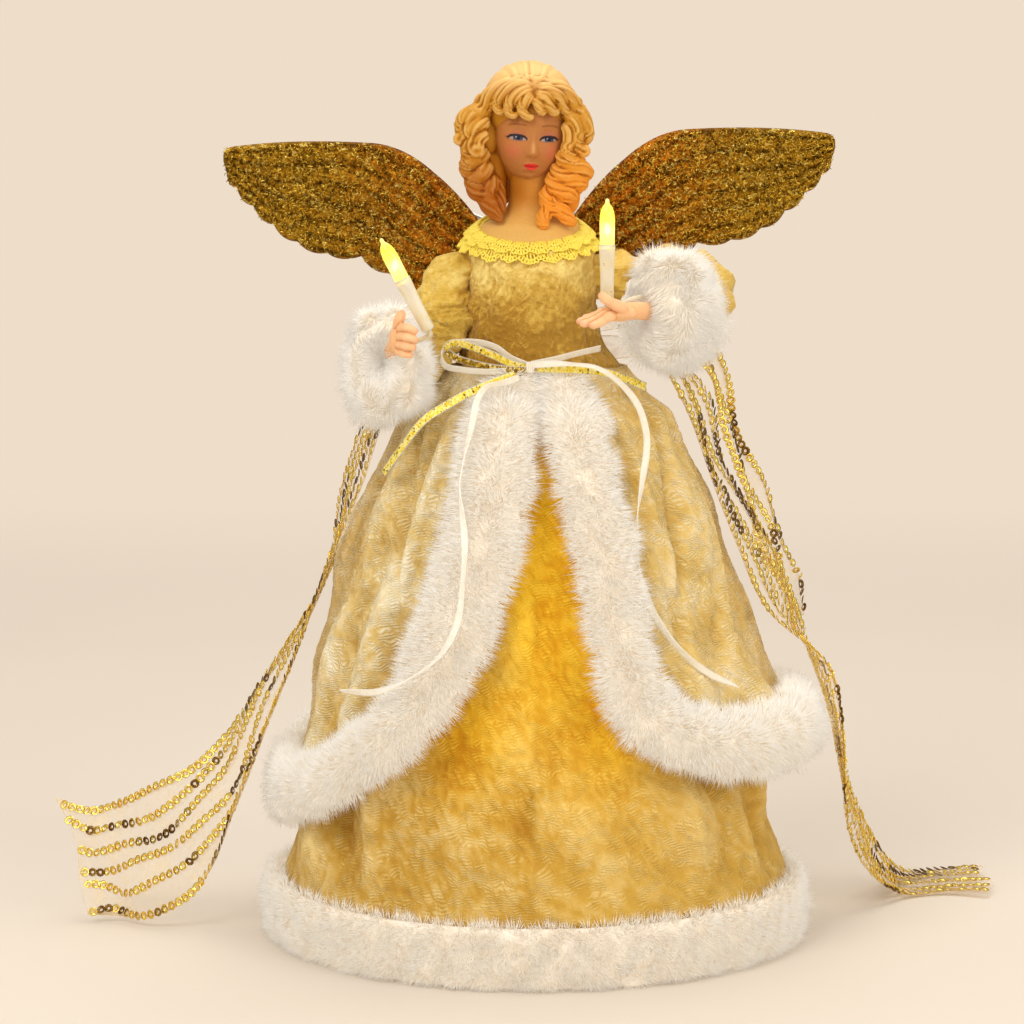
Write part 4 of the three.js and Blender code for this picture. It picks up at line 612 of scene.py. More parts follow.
def even_grid(rows: int, columns: int, wrap: bool = False) -> tuple[Points, Points]:
    """Shares down and across a grid of points, from 0 to 1, or short of 1 across where it wraps."""
    down, across = np.meshgrid(evenly(rows), np.linspace(0, 1, columns, endpoint=not wrap), indexing="ij")
    return down.ravel(), across.ravel()


def joined(*parts: Points) -> Points:
    """Rows of points or pairs from their coordinates, which are broadcast first."""
    return np.stack(np.broadcast_arrays(*parts), axis=-1).reshape(-1, len(parts))


def taper(count: int, shares: Sequence[float], radii: Sequence[float]) -> Points:
    """Radii along a path of so many points, from the radii at some shares of it."""
    return np.interp(evenly(count), shares, radii)


def frames_along(points: Points, up: Points) -> tuple[Points, Points]:
    """Side and normal along a path, with the side kept near up."""
    heading = unit(np.gradient(points, axis=0))
    up = np.broadcast_to(np.asarray(up, float), points.shape)
    side = unit(up - heading * (up * heading).sum(1, keepdims=True))
    return side, np.cross(heading, side)


def grid_faces(rows: int, columns: int, wrap: bool = False) -> np.ndarray:
    """Quads of a grid of rows by columns of points, joined round where it wraps."""
    r, c = np.meshgrid(np.arange(rows - 1), np.arange(columns if wrap else columns - 1), indexing="ij")
    a, b = r * columns + c, r * columns + (c + 1) % columns
    return np.stack([a, b, b + columns, a + columns], axis=-1).reshape(-1, 4)


def tube_faces(rows: int, columns: int) -> list[list[int]]:
    """Faces of rings of points joined into a tube, with both ends closed."""
    ends = [list(range(columns))[::-1], list(range((rows - 1) * columns, rows * columns))]
    return grid_faces(rows, columns, True).tolist() + ends


def ring_faces(rows: int, columns: int) -> np.ndarray:
    """Quads of rings of points joined into a closed ring."""
    first, after, last = np.arange(columns), np.roll(np.arange(columns), -1), (rows - 1) * columns
    return np.vstack([grid_faces(rows, columns, True), joined(first + last, after + last, after, first)])


def new_object(name: str, data: bpy.types.ID) -> Piece:
    """Object of some data, linked into the scene."""
    made = bpy.data.objects.new(name, data)
    bpy.context.scene.collection.objects.link(made)
    return made


def mesh_object(name: str, points: Points, faces: Sequence[Sequence[int]]) -> Piece:
    """Smooth object of a mesh whose points are in millimetres."""
    mesh = bpy.data.meshes.new(name)
    mesh.from_pydata((np.asarray(points, float) * MM).tolist(), [], [list(map(int, f)) for f in faces])
    mesh.polygons.foreach_set("use_smooth", [True] * len(mesh.polygons))
    mesh.update()
    return new_object(name, mesh)


def solid(name: str, points: Points, faces: Sequence[Sequence[int]]) -> Piece:
    """Smooth object of closed bodies with their faces outwards."""
    made = mesh_object(name, points, faces)
    face_outwards(made)
    return made


class Shell:
    """Points and faces of several closed bodies gathered into one mesh."""

    def __init__(self) -> None:
        """Starts empty."""
        self.points: list[Points] = []
        self.faces: list[list[int]] = []
        self.count = 0

    def add(self, points: Points, faces: Sequence[Sequence[int]]) -> None:
        """Adds a body."""
        self.faces.extend([int(i) + self.count for i in f] for f in faces)
        self.points.append(np.asarray(points, float))
        self.count += len(points)

    def tube(self, path: Points, radii: Points | float, sides: int, flat: float = 1.0,
             ridges: int = 0, depth: float = 0.0, twist: float = 0.0) -> None:
        """Adds a tube with closed ends.

        Args:
            path: its centreline.
            radii: one for each point, or one for all.
            sides: corners of its section.
            flat: height of the section over its width.
            ridges: strands moulded round it.
            depth: of the grooves between them, as a share of the radius.
            twist: turns of the strands along it.
        """
        path = np.asarray(path, float)
        radii = np.broadcast_to(np.asarray(radii, float), (len(path),))
        heading = unit(np.gradient(path, axis=0))
        normal = np.zeros_like(path)
        guess = np.eye(3)[np.argmin(np.abs(heading[0]))]
        for i, h in enumerate(heading):
            guess = guess - h * (guess @ h)
            guess = guess / max(np.linalg.norm(guess), 1e-9)
            normal[i] = guess
        other = np.cross(heading, normal)
        around = circle(sides)
        spin = np.linspace(0, TAU * twist, len(path))[:, None]
        wave = 1 - depth * (0.5 - 0.5 * np.cos(ridges * around[None] + spin)) if ridges else np.ones((1, sides))
        reach = radii[:, None] * wave
        ring = (path[:, None] + normal[:, None] * (reach * np.cos(around))[..., None]
                + other[:, None] * (flat * reach * np.sin(around))[..., None])
        self.add(ring.reshape(-1, 3), tube_faces(len(path), sides))

    def ball(self, centre: Sequence[float], radii: Sequence[float], rows: int = 12, columns: int = 18) -> None:
        """Adds an ellipsoid."""
        lat, lon = np.linspace(-math.pi / 2, math.pi / 2, rows + 1)[1:-1, None], circle(columns)
        ring = joined(np.cos(lat) * np.sin(lon), -np.cos(lat) * np.cos(lon), np.sin(lat))
        points = np.vstack([ring, [[0, 0, -1]], [[0, 0, 1]]]) * np.asarray(radii) + np.asarray(centre)
        n, last = len(ring), len(ring) - columns
        faces = grid_faces(rows - 1, columns, True).tolist()
        faces += [[n, (k + 1) % columns, k] for k in range(columns)]
        faces += [[n + 1, last + k, last + (k + 1) % columns] for k in range(columns)]
        self.add(points, faces)

    def object(self, name: str) -> Piece:
        """Object of all bodies, with their faces outwards."""
        return solid(name, np.vstack(self.points), self.faces)


def face_outwards(piece: Piece, merge: float = 0.0) -> None:
    """Merges points closer than some metres and turns each closed body's faces outwards."""
    shape = bmesh.new()
    shape.from_mesh(piece.data)
    if merge:
        bmesh.ops.remove_doubles(shape, verts=shape.verts, dist=merge)
    bmesh.ops.recalc_face_normals(shape, faces=shape.faces)
    if shape.calc_volume(signed=True) < 0:
        bmesh.ops.reverse_faces(shape, faces=shape.faces)
    shape.to_mesh(piece.data)
    shape.free()


def points_of(piece: Piece, kind: str = "co") -> Points:
    """A mesh's points in millimetres, or its normals."""
    flat = np.zeros(len(piece.data.vertices) * 3)
    piece.data.vertices.foreach_get(kind, flat)
    return flat.reshape(-1, 3) / (MM if kind == "co" else 1.0)


def put_points(piece: Piece, points: Points) -> None:
    """Sets a mesh's points in millimetres."""
    piece.data.vertices.foreach_set("co", (points * MM).ravel())
    piece.data.update()


def set_numbers(piece: Piece, name: str, values: Points) -> None:
    """Keeps a number for each point under a name."""
    layer = piece.data.attributes.new(name, "FLOAT", "POINT")
    layer.data.foreach_set("value", np.asarray(values, np.float32))


def set_vectors(piece: Piece, name: str, values: Points) -> None:
    """Keeps a vector for each point under a name."""
    layer = piece.data.attributes.new(name, "FLOAT_VECTOR", "POINT")
    layer.data.foreach_set("vector", np.asarray(values, np.float32).ravel())


def set_colours(piece: Piece, values: Points) -> None:
    """Keeps a painted colour for each point."""
    layer = piece.data.color_attributes.new("paint", "FLOAT_COLOR", "POINT")
    colours = np.ones((len(values), 4), np.float32)
    colours[:, :3] = values
    layer.data.foreach_set("color", colours.ravel())


def set_uv(piece: Piece, uv: Points) -> None:
    """Keeps a place across and along a ribbon for each point."""
    layer = piece.data.uv_layers.new(name="ribbon")
    corners = np.zeros(len(piece.data.loops), int)
    piece.data.loops.foreach_get("vertex_index", corners)
    layer.data.foreach_set("uv", np.asarray(uv, np.float32)[corners].ravel())


def evaluated(piece: Piece) -> None:
    """Puts the modifiers' result into the mesh and removes them."""
    graph = bpy.context.evaluated_depsgraph_get()
    mesh = bpy.data.meshes.new_from_object(piece.evaluated_get(graph))
    old = piece.data
    piece.modifiers.clear()
    piece.data = mesh
    bpy.data.meshes.remove(old)


def modified(piece: Piece, kind: str, **settings: object) -> None:
    """Applies one modifier."""
    made = piece.modifiers.new(kind.lower(), kind)
    for name, value in settings.items():
        setattr(made, name, value)
    evaluated(piece)


def dress(piece: Piece, finish: Finish, *nodes: str, body: Body = Body.MAIN) -> Piece:
    """Gives a piece its finish, its body and the solids it stands for.

    Args:
        piece: the finished mesh.
        finish: its surface.
        nodes: solids that it replaces.
        body: what it rides on.

    Returns:
        The piece.
    """
    piece.data.materials.clear()
    piece.data.materials.append(finish.material())
    piece.data.polygons.foreach_set("material_index", [0] * len(piece.data.polygons))
    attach(piece, body.value)
    if nodes:
        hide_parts(*nodes)
    LOG.info("%s: %d faces", piece.name, len(piece.data.polygons))
    return piece


# Repeated pieces by Geometry Nodes


class Scatter:
    """A Geometry Nodes tree with named inputs that instances a small shape and realizes it."""

    def __init__(self, name: str, inputs: Sequence[tuple[str, str]]) -> None:
        """Makes the tree with its interface.

        Args:
            name: of the tree.
            inputs: name and kind of socket of each input.
        """
        self.group = bpy.data.node_groups.new(name, "GeometryNodeTree")
        face = self.group.interface
        face.new_socket("Geometry", in_out="INPUT", socket_type="NodeSocketGeometry")
        self.keys = {label: face.new_socket(label, in_out="INPUT", socket_type=f"NodeSocket{kind}").identifier
                     for label, kind in inputs}
        face.new_socket("Geometry", in_out="OUTPUT", socket_type="NodeSocketGeometry")
        self.tree = Tree(self.group)
        self.source = self.group.nodes.new("NodeGroupInput")

    def input(self, label: str) -> Value:
        """A named input."""
        return Value(self.tree, self.source.outputs[label])

    def close(self, geometry: Value) -> None:
        """Ends the tree in the finished geometry."""
        end = self.group.nodes.new("NodeGroupOutput")
        self.group.links.new(geometry.socket, end.inputs[0])

    def run(self, piece: Piece, values: dict[str, object]) -> None:
        """Runs the tree on a piece with these inputs and keeps the result."""
        made = piece.modifiers.new("scatter", "NODES")
        made.node_group = self.group
        for label, value in values.items():
            made[self.keys[label]] = value
        evaluated(piece)


def tuft_shape(name: str, spikes: int, spread: float, seed: int) -> Piece:
    """Small tuft of tapered hairs one unit long, standing on Z, with its tips marked."""
    random = np.random.default_rng(seed)
    shell = Shell()
    marks = []
    for k in range(spikes):
        turn = TAU * (k + random.uniform(0, 0.7)) / spikes
        foot = np.array([math.cos(turn), math.sin(turn), 0]) * random.uniform(0.05, 0.28)
        lean = np.array([math.cos(turn + 0.4), math.sin(turn + 0.4), 0]) * random.uniform(0.15, spread)
        tip = foot + lean + np.array([0, 0, random.uniform(0.7, 1.05)])
        angles = turn + np.array([0, 2.1, 4.2])
        base = foot + 0.027 * joined(np.cos(angles), np.sin(angles), 0 * angles)
        shell.add(np.vstack([base, tip]) / MM, [[0, 2, 1], [0, 1, 3], [1, 2, 3], [2, 0, 3]])
        marks += [0.0, 0.0, 0.0, 1.0]
    made = shell.object(name)
    set_numbers(made, "tip", np.array(marks))
    return made


class Pile:
    """Plush pile over lumpy bases: tufts that follow the comb, sway with the nap and hang a little."""

    def __init__(self) -> None:
        """Makes the tuft and the tree once."""
        self.tuft = tuft_shape("tuft", 7, 0.4, 3)
        self.scatter = Scatter("plush", (
            ("Tuft", "Object"), ("Density", "Float"), ("Length", "Float"), ("Lean", "Float"), ("Drop", "Float"),
            ("Wave", "Float"), ("Seed", "Int"), ("Fur", "Material")))
        tree, source = self.scatter.tree, self.scatter.input
        grow = tree.node("GeometryNodeInputNamedAttribute", {"data_type": "FLOAT"}, {"Name": "grow"})
        spread = tree.node("GeometryNodeDistributePointsOnFaces", None, {
            "Mesh": source("Geometry"), "Density": source("Density") * grow, "Seed": source("Seed")})
        normal = Value(tree, spread.socket.node.outputs["Normal"])
        sway = tree.noise(tree.node("GeometryNodeInputPosition"), source("Wave"), 2.0, out="Color")
        lean = tree.node("ShaderNodeVectorMath", {"operation": "SCALE"}, {
            0: tree.vector("SUBTRACT", sway, (0.5, 0.5, 0.5)), "Scale": source("Lean")})
        fall = tree.node("ShaderNodeCombineXYZ", None, {"Z": source("Drop") * -1.0})
        comb = tree.node("GeometryNodeInputNamedAttribute", {"data_type": "FLOAT_VECTOR"}, {"Name": "comb"})
        heading = tree.vector("ADD", tree.vector("ADD", normal, comb), tree.vector("ADD", lean, fall))
        turn = tree.node("FunctionNodeAlignRotationToVector", {"axis": "Z"}, {"Vector": heading})
        spin = tree.node("FunctionNodeRandomValue", {"data_type": "FLOAT"}, {2: 0.0, 3: 6.283}, out=1)
        about = tree.node("FunctionNodeAxisAngleToRotation", None, {"Axis": (0, 0, 1), "Angle": spin})
        turn = tree.node("FunctionNodeRotateRotation", {"rotation_space": "LOCAL"}, {0: turn, 1: about})
        size = tree.node("FunctionNodeRandomValue", {"data_type": "FLOAT"}, {2: 0.65, 3: 1.2}, out=1)
        hair = tree.node("GeometryNodeObjectInfo", None, {"Object": source("Tuft")}, "Geometry")
        many = tree.node("GeometryNodeInstanceOnPoints", None, {
            "Points": spread, "Instance": hair, "Rotation": turn, "Scale": size * source("Length")})
        real = tree.node("GeometryNodeRealizeInstances", None, {"Geometry": many})
        both = tree.node("GeometryNodeJoinGeometry", None, {"Geometry": source("Geometry")})
        tree.nodes.links.new(real.socket, both.socket.node.inputs[0])
        self.scatter.close(tree.node("GeometryNodeSetMaterial", None, {
            "Geometry": both, "Material": source("Fur")}))

    def grow(self, base: Piece, per_square: float, length: float, lean: float, drop: float,
             wave: float, seed: int, bare: Points, comb: Points | None = None, finish: Fur = FUR) -> None:
        """Grows pile on a base.

        Args:
            base: the piece that gets the pile.
            per_square: tufts on a square millimetre.
            length: of the pile in millimetres.
            lean: how far the nap sways.
            drop: how far the pile hangs.
            wave: size of the nap's patches in millimetres.
            seed: of the places.
            bare: true at the points that need none.
            comb: direction that the pile is combed in at each point.
            finish: of the pile.
        """
        count = len(base.data.vertices)
        set_vectors(base, "comb", np.zeros((count, 3)) if comb is None else comb)
        set_numbers(base, "grow", 1.0 - bare)
        self.scatter.run(base, {"Tuft": self.tuft, "Density": per_square / MM**2, "Length": length * MM,
                                "Lean": lean, "Drop": drop, "Wave": 1 / (wave * MM), "Seed": seed,
                                "Fur": finish.material()})
        for name in ("comb", "grow"):
            base.data.attributes.remove(base.data.attributes[name])

    def clear(self) -> None:
        """Removes the tuft that was repeated."""
        bpy.data.objects.remove(self.tuft)


# Gown


def round_figure(radius: Points, angle: Points, z: Points) -> Points:
    """Points round the gown's axis, by the angle from the front towards +X."""
    return np.stack(np.broadcast_arrays(radius * np.sin(angle), -radius * np.cos(angle), z), axis=-1)


@dataclass
class Gown:
    """Both skirts, the fur along the overskirt's edges and the fur round the hem."""

    pile: Pile
    cloth: float = 1.0
    under_top: float = 188.0
    under_foot: float = 20.3
    under_top_radius: float = 16.26
    under_foot_radius: float = 87.6
    over_gap: float = 7.0
    over_top_radius: float = 22.0
    gather: float = 14.0
    lap: float = 2.4
    row_spacing: float = 1.5
    opening_end: float = 112.0
    trim_left_width: float = 22.0
    trim_right_width: float = 15.5
    trim_hem_width: float = 17.0
    trim_left_top: float = 18.0
    trim_right_top: float = 15.5
    trim_crown: float = 3.6
    trim_ease: float = 1.8
    hem_radius: float = 88.6
    hem_low: float = 0.7
    hem_high: float = 20.6
    folds: int = 13
    crush_depth: float = 0.7
    fold_reach: float = 4.0
    fall = staticmethod(curve_through((
        (0, 0), (0.024, 0.12), (0.072, 0.24), (0.125, 0.318), (0.227, 0.442), (0.334, 0.542), (0.435, 0.632),
        (0.537, 0.716), (0.644, 0.787), (0.763, 0.85), (0.853, 0.892), (0.912, 0.927), (1, 1))))
    hips = staticmethod(curve_through((
        (0, 11.2), (5, 14.4), (11, 11), (19, 6.5), (27, 5), (38, 4.5), (52, 4.5), (61, 3.5), (75, 1.5), (95, 0.8),
        (112, 0))))
    left_edge = staticmethod(curve_through((
        (3, 341), (23, 343), (38, 344), (54, 342.4), (70, 339.6), (85, 336.4), (100, 332.4), (112, 326))))
    right_edge = staticmethod(curve_through((
        (3, 21), (23, 17), (38, 19), (54, 20.2), (70, 21), (85, 21.5), (100, 24), (112, 30))))
    hem_height = staticmethod(curve_through((
        (30, 82), (45, 76), (60, 75), (90, 77), (135, 66), (180, 62), (225, 60), (270, 54), (284, 54),
        (300, 59), (315, 70), (327, 82))))

    def under_mean(self, z: Points) -> Points:
        """Underskirt's radius through the middle of its folds."""
        share = (self.under_top - z) / (self.under_top - self.under_foot)
        return self.under_top_radius + (self.under_foot_radius - self.under_top_radius) * self.fall(share)

    def under_radius(self, angle: Points, z: Points) -> Points:
        """Underskirt's radius with folds, soft lumps and deeper folds at its lower sides."""
        share = np.clip((self.under_top - z) / (self.under_top - self.under_foot), 0, 1)
        wave = 0.6 * np.cos(9 * angle + 0.7) + 0.4 * np.cos(13 * angle + 2)
        low = ease(share, 0.45, 0.8) * (1 - 0.6 * ease(share, 0.9, 1.0))
        turn = np.mod(angle + math.pi, TAU) - math.pi
        pleats = sum(bell(turn, math.radians(a) + 0.0016 * (60 - z), math.radians(w)) * d
                     for a, w, d in ((38, 3.2, 2.6), (49, 2.6, -2.4), (58, 3.0, 2.8), (68, 3.4, -2.2), (-44, 3.4, 2.2),
                                     (-55, 3.0, -1.8), (-66, 4.0, 2.2), (12, 5.0, 0.8), (-14, 5.0, -0.8)))
        lumps = 1.3 * ease(share, 0.2, 0.5) * ripple(np.stack([angle * 75, z], axis=-1), 40, 72)
        rim = 1 - 0.8 * ease(share, 0.86, 1.0)
        return self.under_mean(z) + 2.0 * np.sin(math.pi * share**1.3) * wave + (1.5 * low * pleats + lumps) * rim

    def over_mean(self, angle: Points, z: Points) -> Points:
        """Overskirt's radius through the middle of its folds."""
        below = WAIST - z
        drawn = ease(below, 0, self.gather)
        open_radius = self.under_mean(np.minimum(z, WAIST - self.gather / 2)) + self.over_gap
        turn = (angle - math.radians(85)) / math.radians(32)
        flare = 8 * np.exp(-turn * turn) * ease(below, 84, 122)
        spread = self.hips(below) * np.sin(angle) ** 2 - 1.7 * ease(-below, -0.5, self.lap)
        turn = (np.mod(np.degrees(angle), 360) - 282) / 40
        spread = spread - 4.0 * np.exp(-turn * turn) * ease(below, 80, 125)
        return self.over_top_radius + (open_radius - self.over_top_radius) * drawn + flare + spread

    def over_depth(self, z: Points) -> Points:
        """Depth of the overskirt's folds."""
        return 2.4 * ease(WAIST - z, 0, 60)

    def over_radius(self, angle: Points, z: Points) -> Points:
        """Overskirt's radius with its long folds, the waist's darts and soft lumps."""
        below = WAIST - z
        turn = np.mod(np.degrees(angle), 360)
        right, left = self.right_edge(below), self.left_edge(below)
        share = (turn - right) / (left - right)
        wave = np.cos(TAU * (self.folds * share + 0.2 * np.sin(4 * math.pi * share + 0.8)))
        long = self.over_depth(z) * (1 + 0.25 * np.cos(6 * math.pi * share + 1)) * wave
        gathers = np.exp(-below / 12) * ease(below, 0, 5) * (
            0.6 * np.cos(46 * angle + 3 * np.sin(5 * angle)) + 0.4 * np.cos(29 * angle + 1.3))
        fade = ease(below, 1, 8) * (1 - 0.8 * ease(below, 60, 110))
        darts = sum(depth * bell(turn, start + drift * below, wide) for start, drift, wide, depth in (
            (38, 0.05, 2, -2.4), (43, 0.05, 3, 1.2), (69, -0.33, 2.2, -2.6), (75, -0.33, 3.4, 1.2),
            (90, -0.36, 2.6, -2.6), (97, -0.36, 3.4, 1.2), (324, -0.05, 2, -2.4), (318, -0.02, 3, 1.2),
            (309, 0.1, 2, -2), (303, 0.1, 3, 1.2), (296, 0.3, 2.2, -2.4), (290, 0.3, 3.4, 1.2), (274, 0.3, 2.6, -2.4)))
        lumps = ease(below, 20, 60) * ripple(np.stack([angle * 70, z * 0.8], axis=-1), 40, 71)
        inner = ease(np.minimum(share, 1 - share), 0.015, 0.06)
        return self.over_mean(angle, z) + long + gathers + (darts * fade + 0.9 * lumps) * inner

    def cloth_piece(self, name: str, points: Points, rows: int, columns: int, wrap: bool,
                    crush: Points) -> Piece:
        """Closed sheet from a grid of its outer face, with its crush marks and painted fold shade."""
        piece = mesh_object(name, points, grid_faces(rows, columns, wrap))
        set_numbers(piece, "crush", crush)
        face_outwards(piece)
        middle = points.mean(0) * MM
        first = piece.data.polygons[len(piece.data.polygons) // 2]
        out = (first.center - Vector(middle)) * Vector((1, 1, 0))
        if first.normal.dot(out) < 0:
            piece.data.flip_normals()
        modified(piece, "SOLIDIFY", thickness=self.cloth * MM, offset=-1.0)
        return piece

    @staticmethod
    def crushed(points: Points, angle: Points, seed: int, slant: float) -> Points:
        """Crush marks from 0 to 1: short feathery strokes along a slant that changes from patch to patch."""
        flat = np.stack([angle * 75, points[:, 2]], axis=1)
        patch = ripple(flat, 46, seed, 8)
        lean = slant + 0.9 * patch
        strokes = joined(flat[:, 0] * np.cos(lean) + flat[:, 1] * np.sin(lean),
                         -flat[:, 0] * np.sin(lean) + flat[:, 1] * np.cos(lean))
        fine = ripple(strokes * np.array([0.42, 1.0]), 5.2, seed + 1, 16)
        wide = ripple(strokes * np.array([0.5, 1.0]), 13, seed + 2, 12)
        return 0.5 + 0.5 * np.tanh(0.75 * fine + 0.65 * wide)

    def underskirt(self) -> None:
        """Underskirt, lit by the lamps behind it."""
        rows, columns = 96, 310
        v, u = even_grid(rows, columns, True)
        angle = TAU * u
        z = self.under_top + (self.under_foot - self.under_top) * v**1.25
        radius = self.under_radius(angle, z)
        crush = self.crushed(round_figure(radius, angle, z), angle, 11, 0.5)
        lump = self.crush_depth * (crush - 0.5) * ease(WAIST - z, 15, 40)
        # Painted shade: fold valleys darken and ridges lighten through the crush marks.
        fold_shade = np.clip((radius - self.under_mean(z)) / self.fold_reach, -1, 1)
        points = round_figure(radius + lump, angle, z)
        piece = self.cloth_piece("underskirt_cloth", points, rows, columns, True, crush + 0.9 * fold_shade)
        x, y, z = points_of(piece).T
        beam = bell(x, 4, 17) * bell(z, 138, 44)
        pools = sum(power * bell(x, at, wide) * bell(z, high, tall) for power, at, wide, high, tall in (
            (0.5, -24, 13, 82, 22), (0.55, 27, 14, 84, 24), (0.3, 0, 40, 80, 46)))
        set_numbers(piece, "glow", np.clip(ease(-y, 5, 30) * (beam + pools), 0, 1))
        dress(piece, LIT_VELVET, "underskirt")

    def overskirt(self) -> None:
        """Overskirt, open at the front."""
        rows, columns = 100, 300
        v, u = even_grid(rows, columns)
        right, left = self.right_edge(self.opening_end), self.left_edge(self.opening_end)
        hem = self.hem_height(right + (left - right) * u)
        z = WAIST + self.lap + (hem - WAIST - self.lap) * v**self.row_spacing
        below = WAIST - z
        right, left = self.right_edge(below), self.left_edge(below)
        angle = np.radians(right + (left - right) * u)
        radius = self.over_radius(angle, z)
        crush = self.crushed(round_figure(radius, angle, z), angle, 23, 0.9)
        lump = self.crush_depth * (crush - 0.5) * ease(below, 10, 30)
        # Painted shade: fold valleys darken and ridges lighten through the crush marks.
        fold_shade = np.clip((radius - self.over_mean(angle, z)) / self.fold_reach, -1, 1)
        points = round_figure(radius + lump, angle, z)
        piece = self.cloth_piece("overskirt_cloth", points, rows, columns, False, crush + 0.9 * fold_shade)
        dress(piece, VELVET, "overskirt")

    def trim(self) -> None:
        """Fur strip down one side of the opening, round the hem and up the other side."""
        depths = (-0.5, 20, 38, 56, 74, 92, 106)
        turns = (42, 60, 80, 105, 135, 180, 225, 255, 280, 300, 316)
        right = [(self.right_edge(d), WAIST - d, 0) for d in depths]
        hem = [(a, self.hem_height(a), 0) for a in turns]
        left = [(self.left_edge(d), WAIST - d, 0) for d in depths[::-1]]
        steps, rounds = 320, 22
        line = Route([*right, *hem, *left]).at(evenly(steps))
        radius = self.over_mean(np.radians(line[:, 0]), line[:, 1])
        run = unit(np.stack([np.gradient(np.radians(line[:, 0])) * radius, np.gradient(line[:, 1])], axis=1))
        depth = WAIST - line[:, 1]
        first = np.arange(steps) < steps / 2
        upright = np.where(first, self.trim_right_width, self.trim_left_width)
        top = np.where(first, self.trim_right_top, self.trim_left_top)
        width = top + (upright - top) * ease(depth, 0, 40)
        width = width + (self.trim_hem_width - width) * ease(depth, 82, 108)
        turn = circle(rounds)
        ends = np.sqrt(np.clip(1 - (2 * evenly(steps) - 1) ** 60, 0.3, 1))
        side = -np.cos(turn)[None] * 0.5 * (width * ends)[:, None]
        rise = np.where(np.sin(turn) > 0, np.abs(np.sin(turn)) ** 0.5 * self.trim_crown, 0.8 * np.sin(turn))
        angle = np.radians(line[:, 0])[:, None] - side * run[:, 1:2] / radius[:, None]
        z = np.minimum(line[:, 1:2] + side * run[:, 0:1], WAIST + 1.4)
        out = self.over_mean(angle, z) + self.over_depth(z) + self.trim_ease + rise[None] * ends[:, None]
        points = round_figure(out, angle, z).reshape(-1, 3)
        middle = np.repeat(points.reshape(steps, rounds, 3).mean(1), rounds, axis=0)
        points = points + unit(points - middle) * (0.6 * ripple(points, 11, 5) + 0.4 * ripple(points, 5, 6))[:, None]
        grid = points.reshape(steps, rounds, 3)
        across = unit(grid[:, rounds // 2] - grid[:, 0])
        comb = across[:, None] * (-np.cos(turn) * 1.5)[None, :, None] + np.array([0.0, 0.0, -0.25])
        for name, low, high in (("right", 0, 92), ("hem", 91, 230), ("left", 229, steps)):
            count = high - low
            piece = solid(f"overskirt_fur_{name}", grid[low:high].reshape(-1, 3), tube_faces(count, rounds))
            self.pile.grow(piece, per_square=0.5, length=6.0, lean=1.6, drop=0.1, wave=12, seed=21,
                           comb=comb[low:high], bare=np.tile(np.sin(turn) < -0.3, count))
            dress(piece, FUR, "overskirt_trim")

    def hem(self) -> None:
        """Fur band round the foot."""
        steps, rounds = 260, 22
        turn, angle = circle(rounds), circle(steps)
        out = np.where(np.cos(turn) > 0, np.abs(np.cos(turn)) ** 0.45 * 3.0, 0.4 * np.cos(turn))
        height = (self.hem_low + self.hem_high) / 2 + np.sign(np.sin(turn)) * np.abs(np.sin(turn)) ** 0.75 * (
            self.hem_high - self.hem_low) / 2
        points = round_figure(self.hem_radius + out[None], angle[:, None], height[None]).reshape(-1, 3)
        push = 0.6 * ripple(points, 12, 8) + 0.4 * ripple(points, 6, 9)
        flat = unit(points * np.array([1, 1, 0]))
        points = points + flat * np.where(np.tile(out > 0.5, steps), push, 0)[:, None]
        piece = solid("hem_fur_band", points, ring_faces(steps, rounds))
        self.pile.grow(piece, per_square=0.45, length=4.8, lean=2.0, drop=0.2, wave=9, seed=22,
                       bare=np.tile(np.cos(turn) < -0.2, steps), finish=HEM_FUR)
        self.keep_above_floor(piece)
        dress(piece, HEM_FUR, "hem_fur")

    @staticmethod
    def keep_above_floor(piece: Piece) -> None:
        """Bends hairs that would go through the floor."""
        points = points_of(piece)
        z = points[:, 2]
        points[:, 2] = np.where(z < 0.8, 0.15 + 0.65 * np.exp(np.minimum(z - 0.8, 0)), z)
        put_points(piece, points)

    def build(self) -> None:
        """Makes every piece of the gown's skirts."""
        self.underskirt()
        self.overskirt()
        self.trim()
        self.hem()


# Copies at listed places


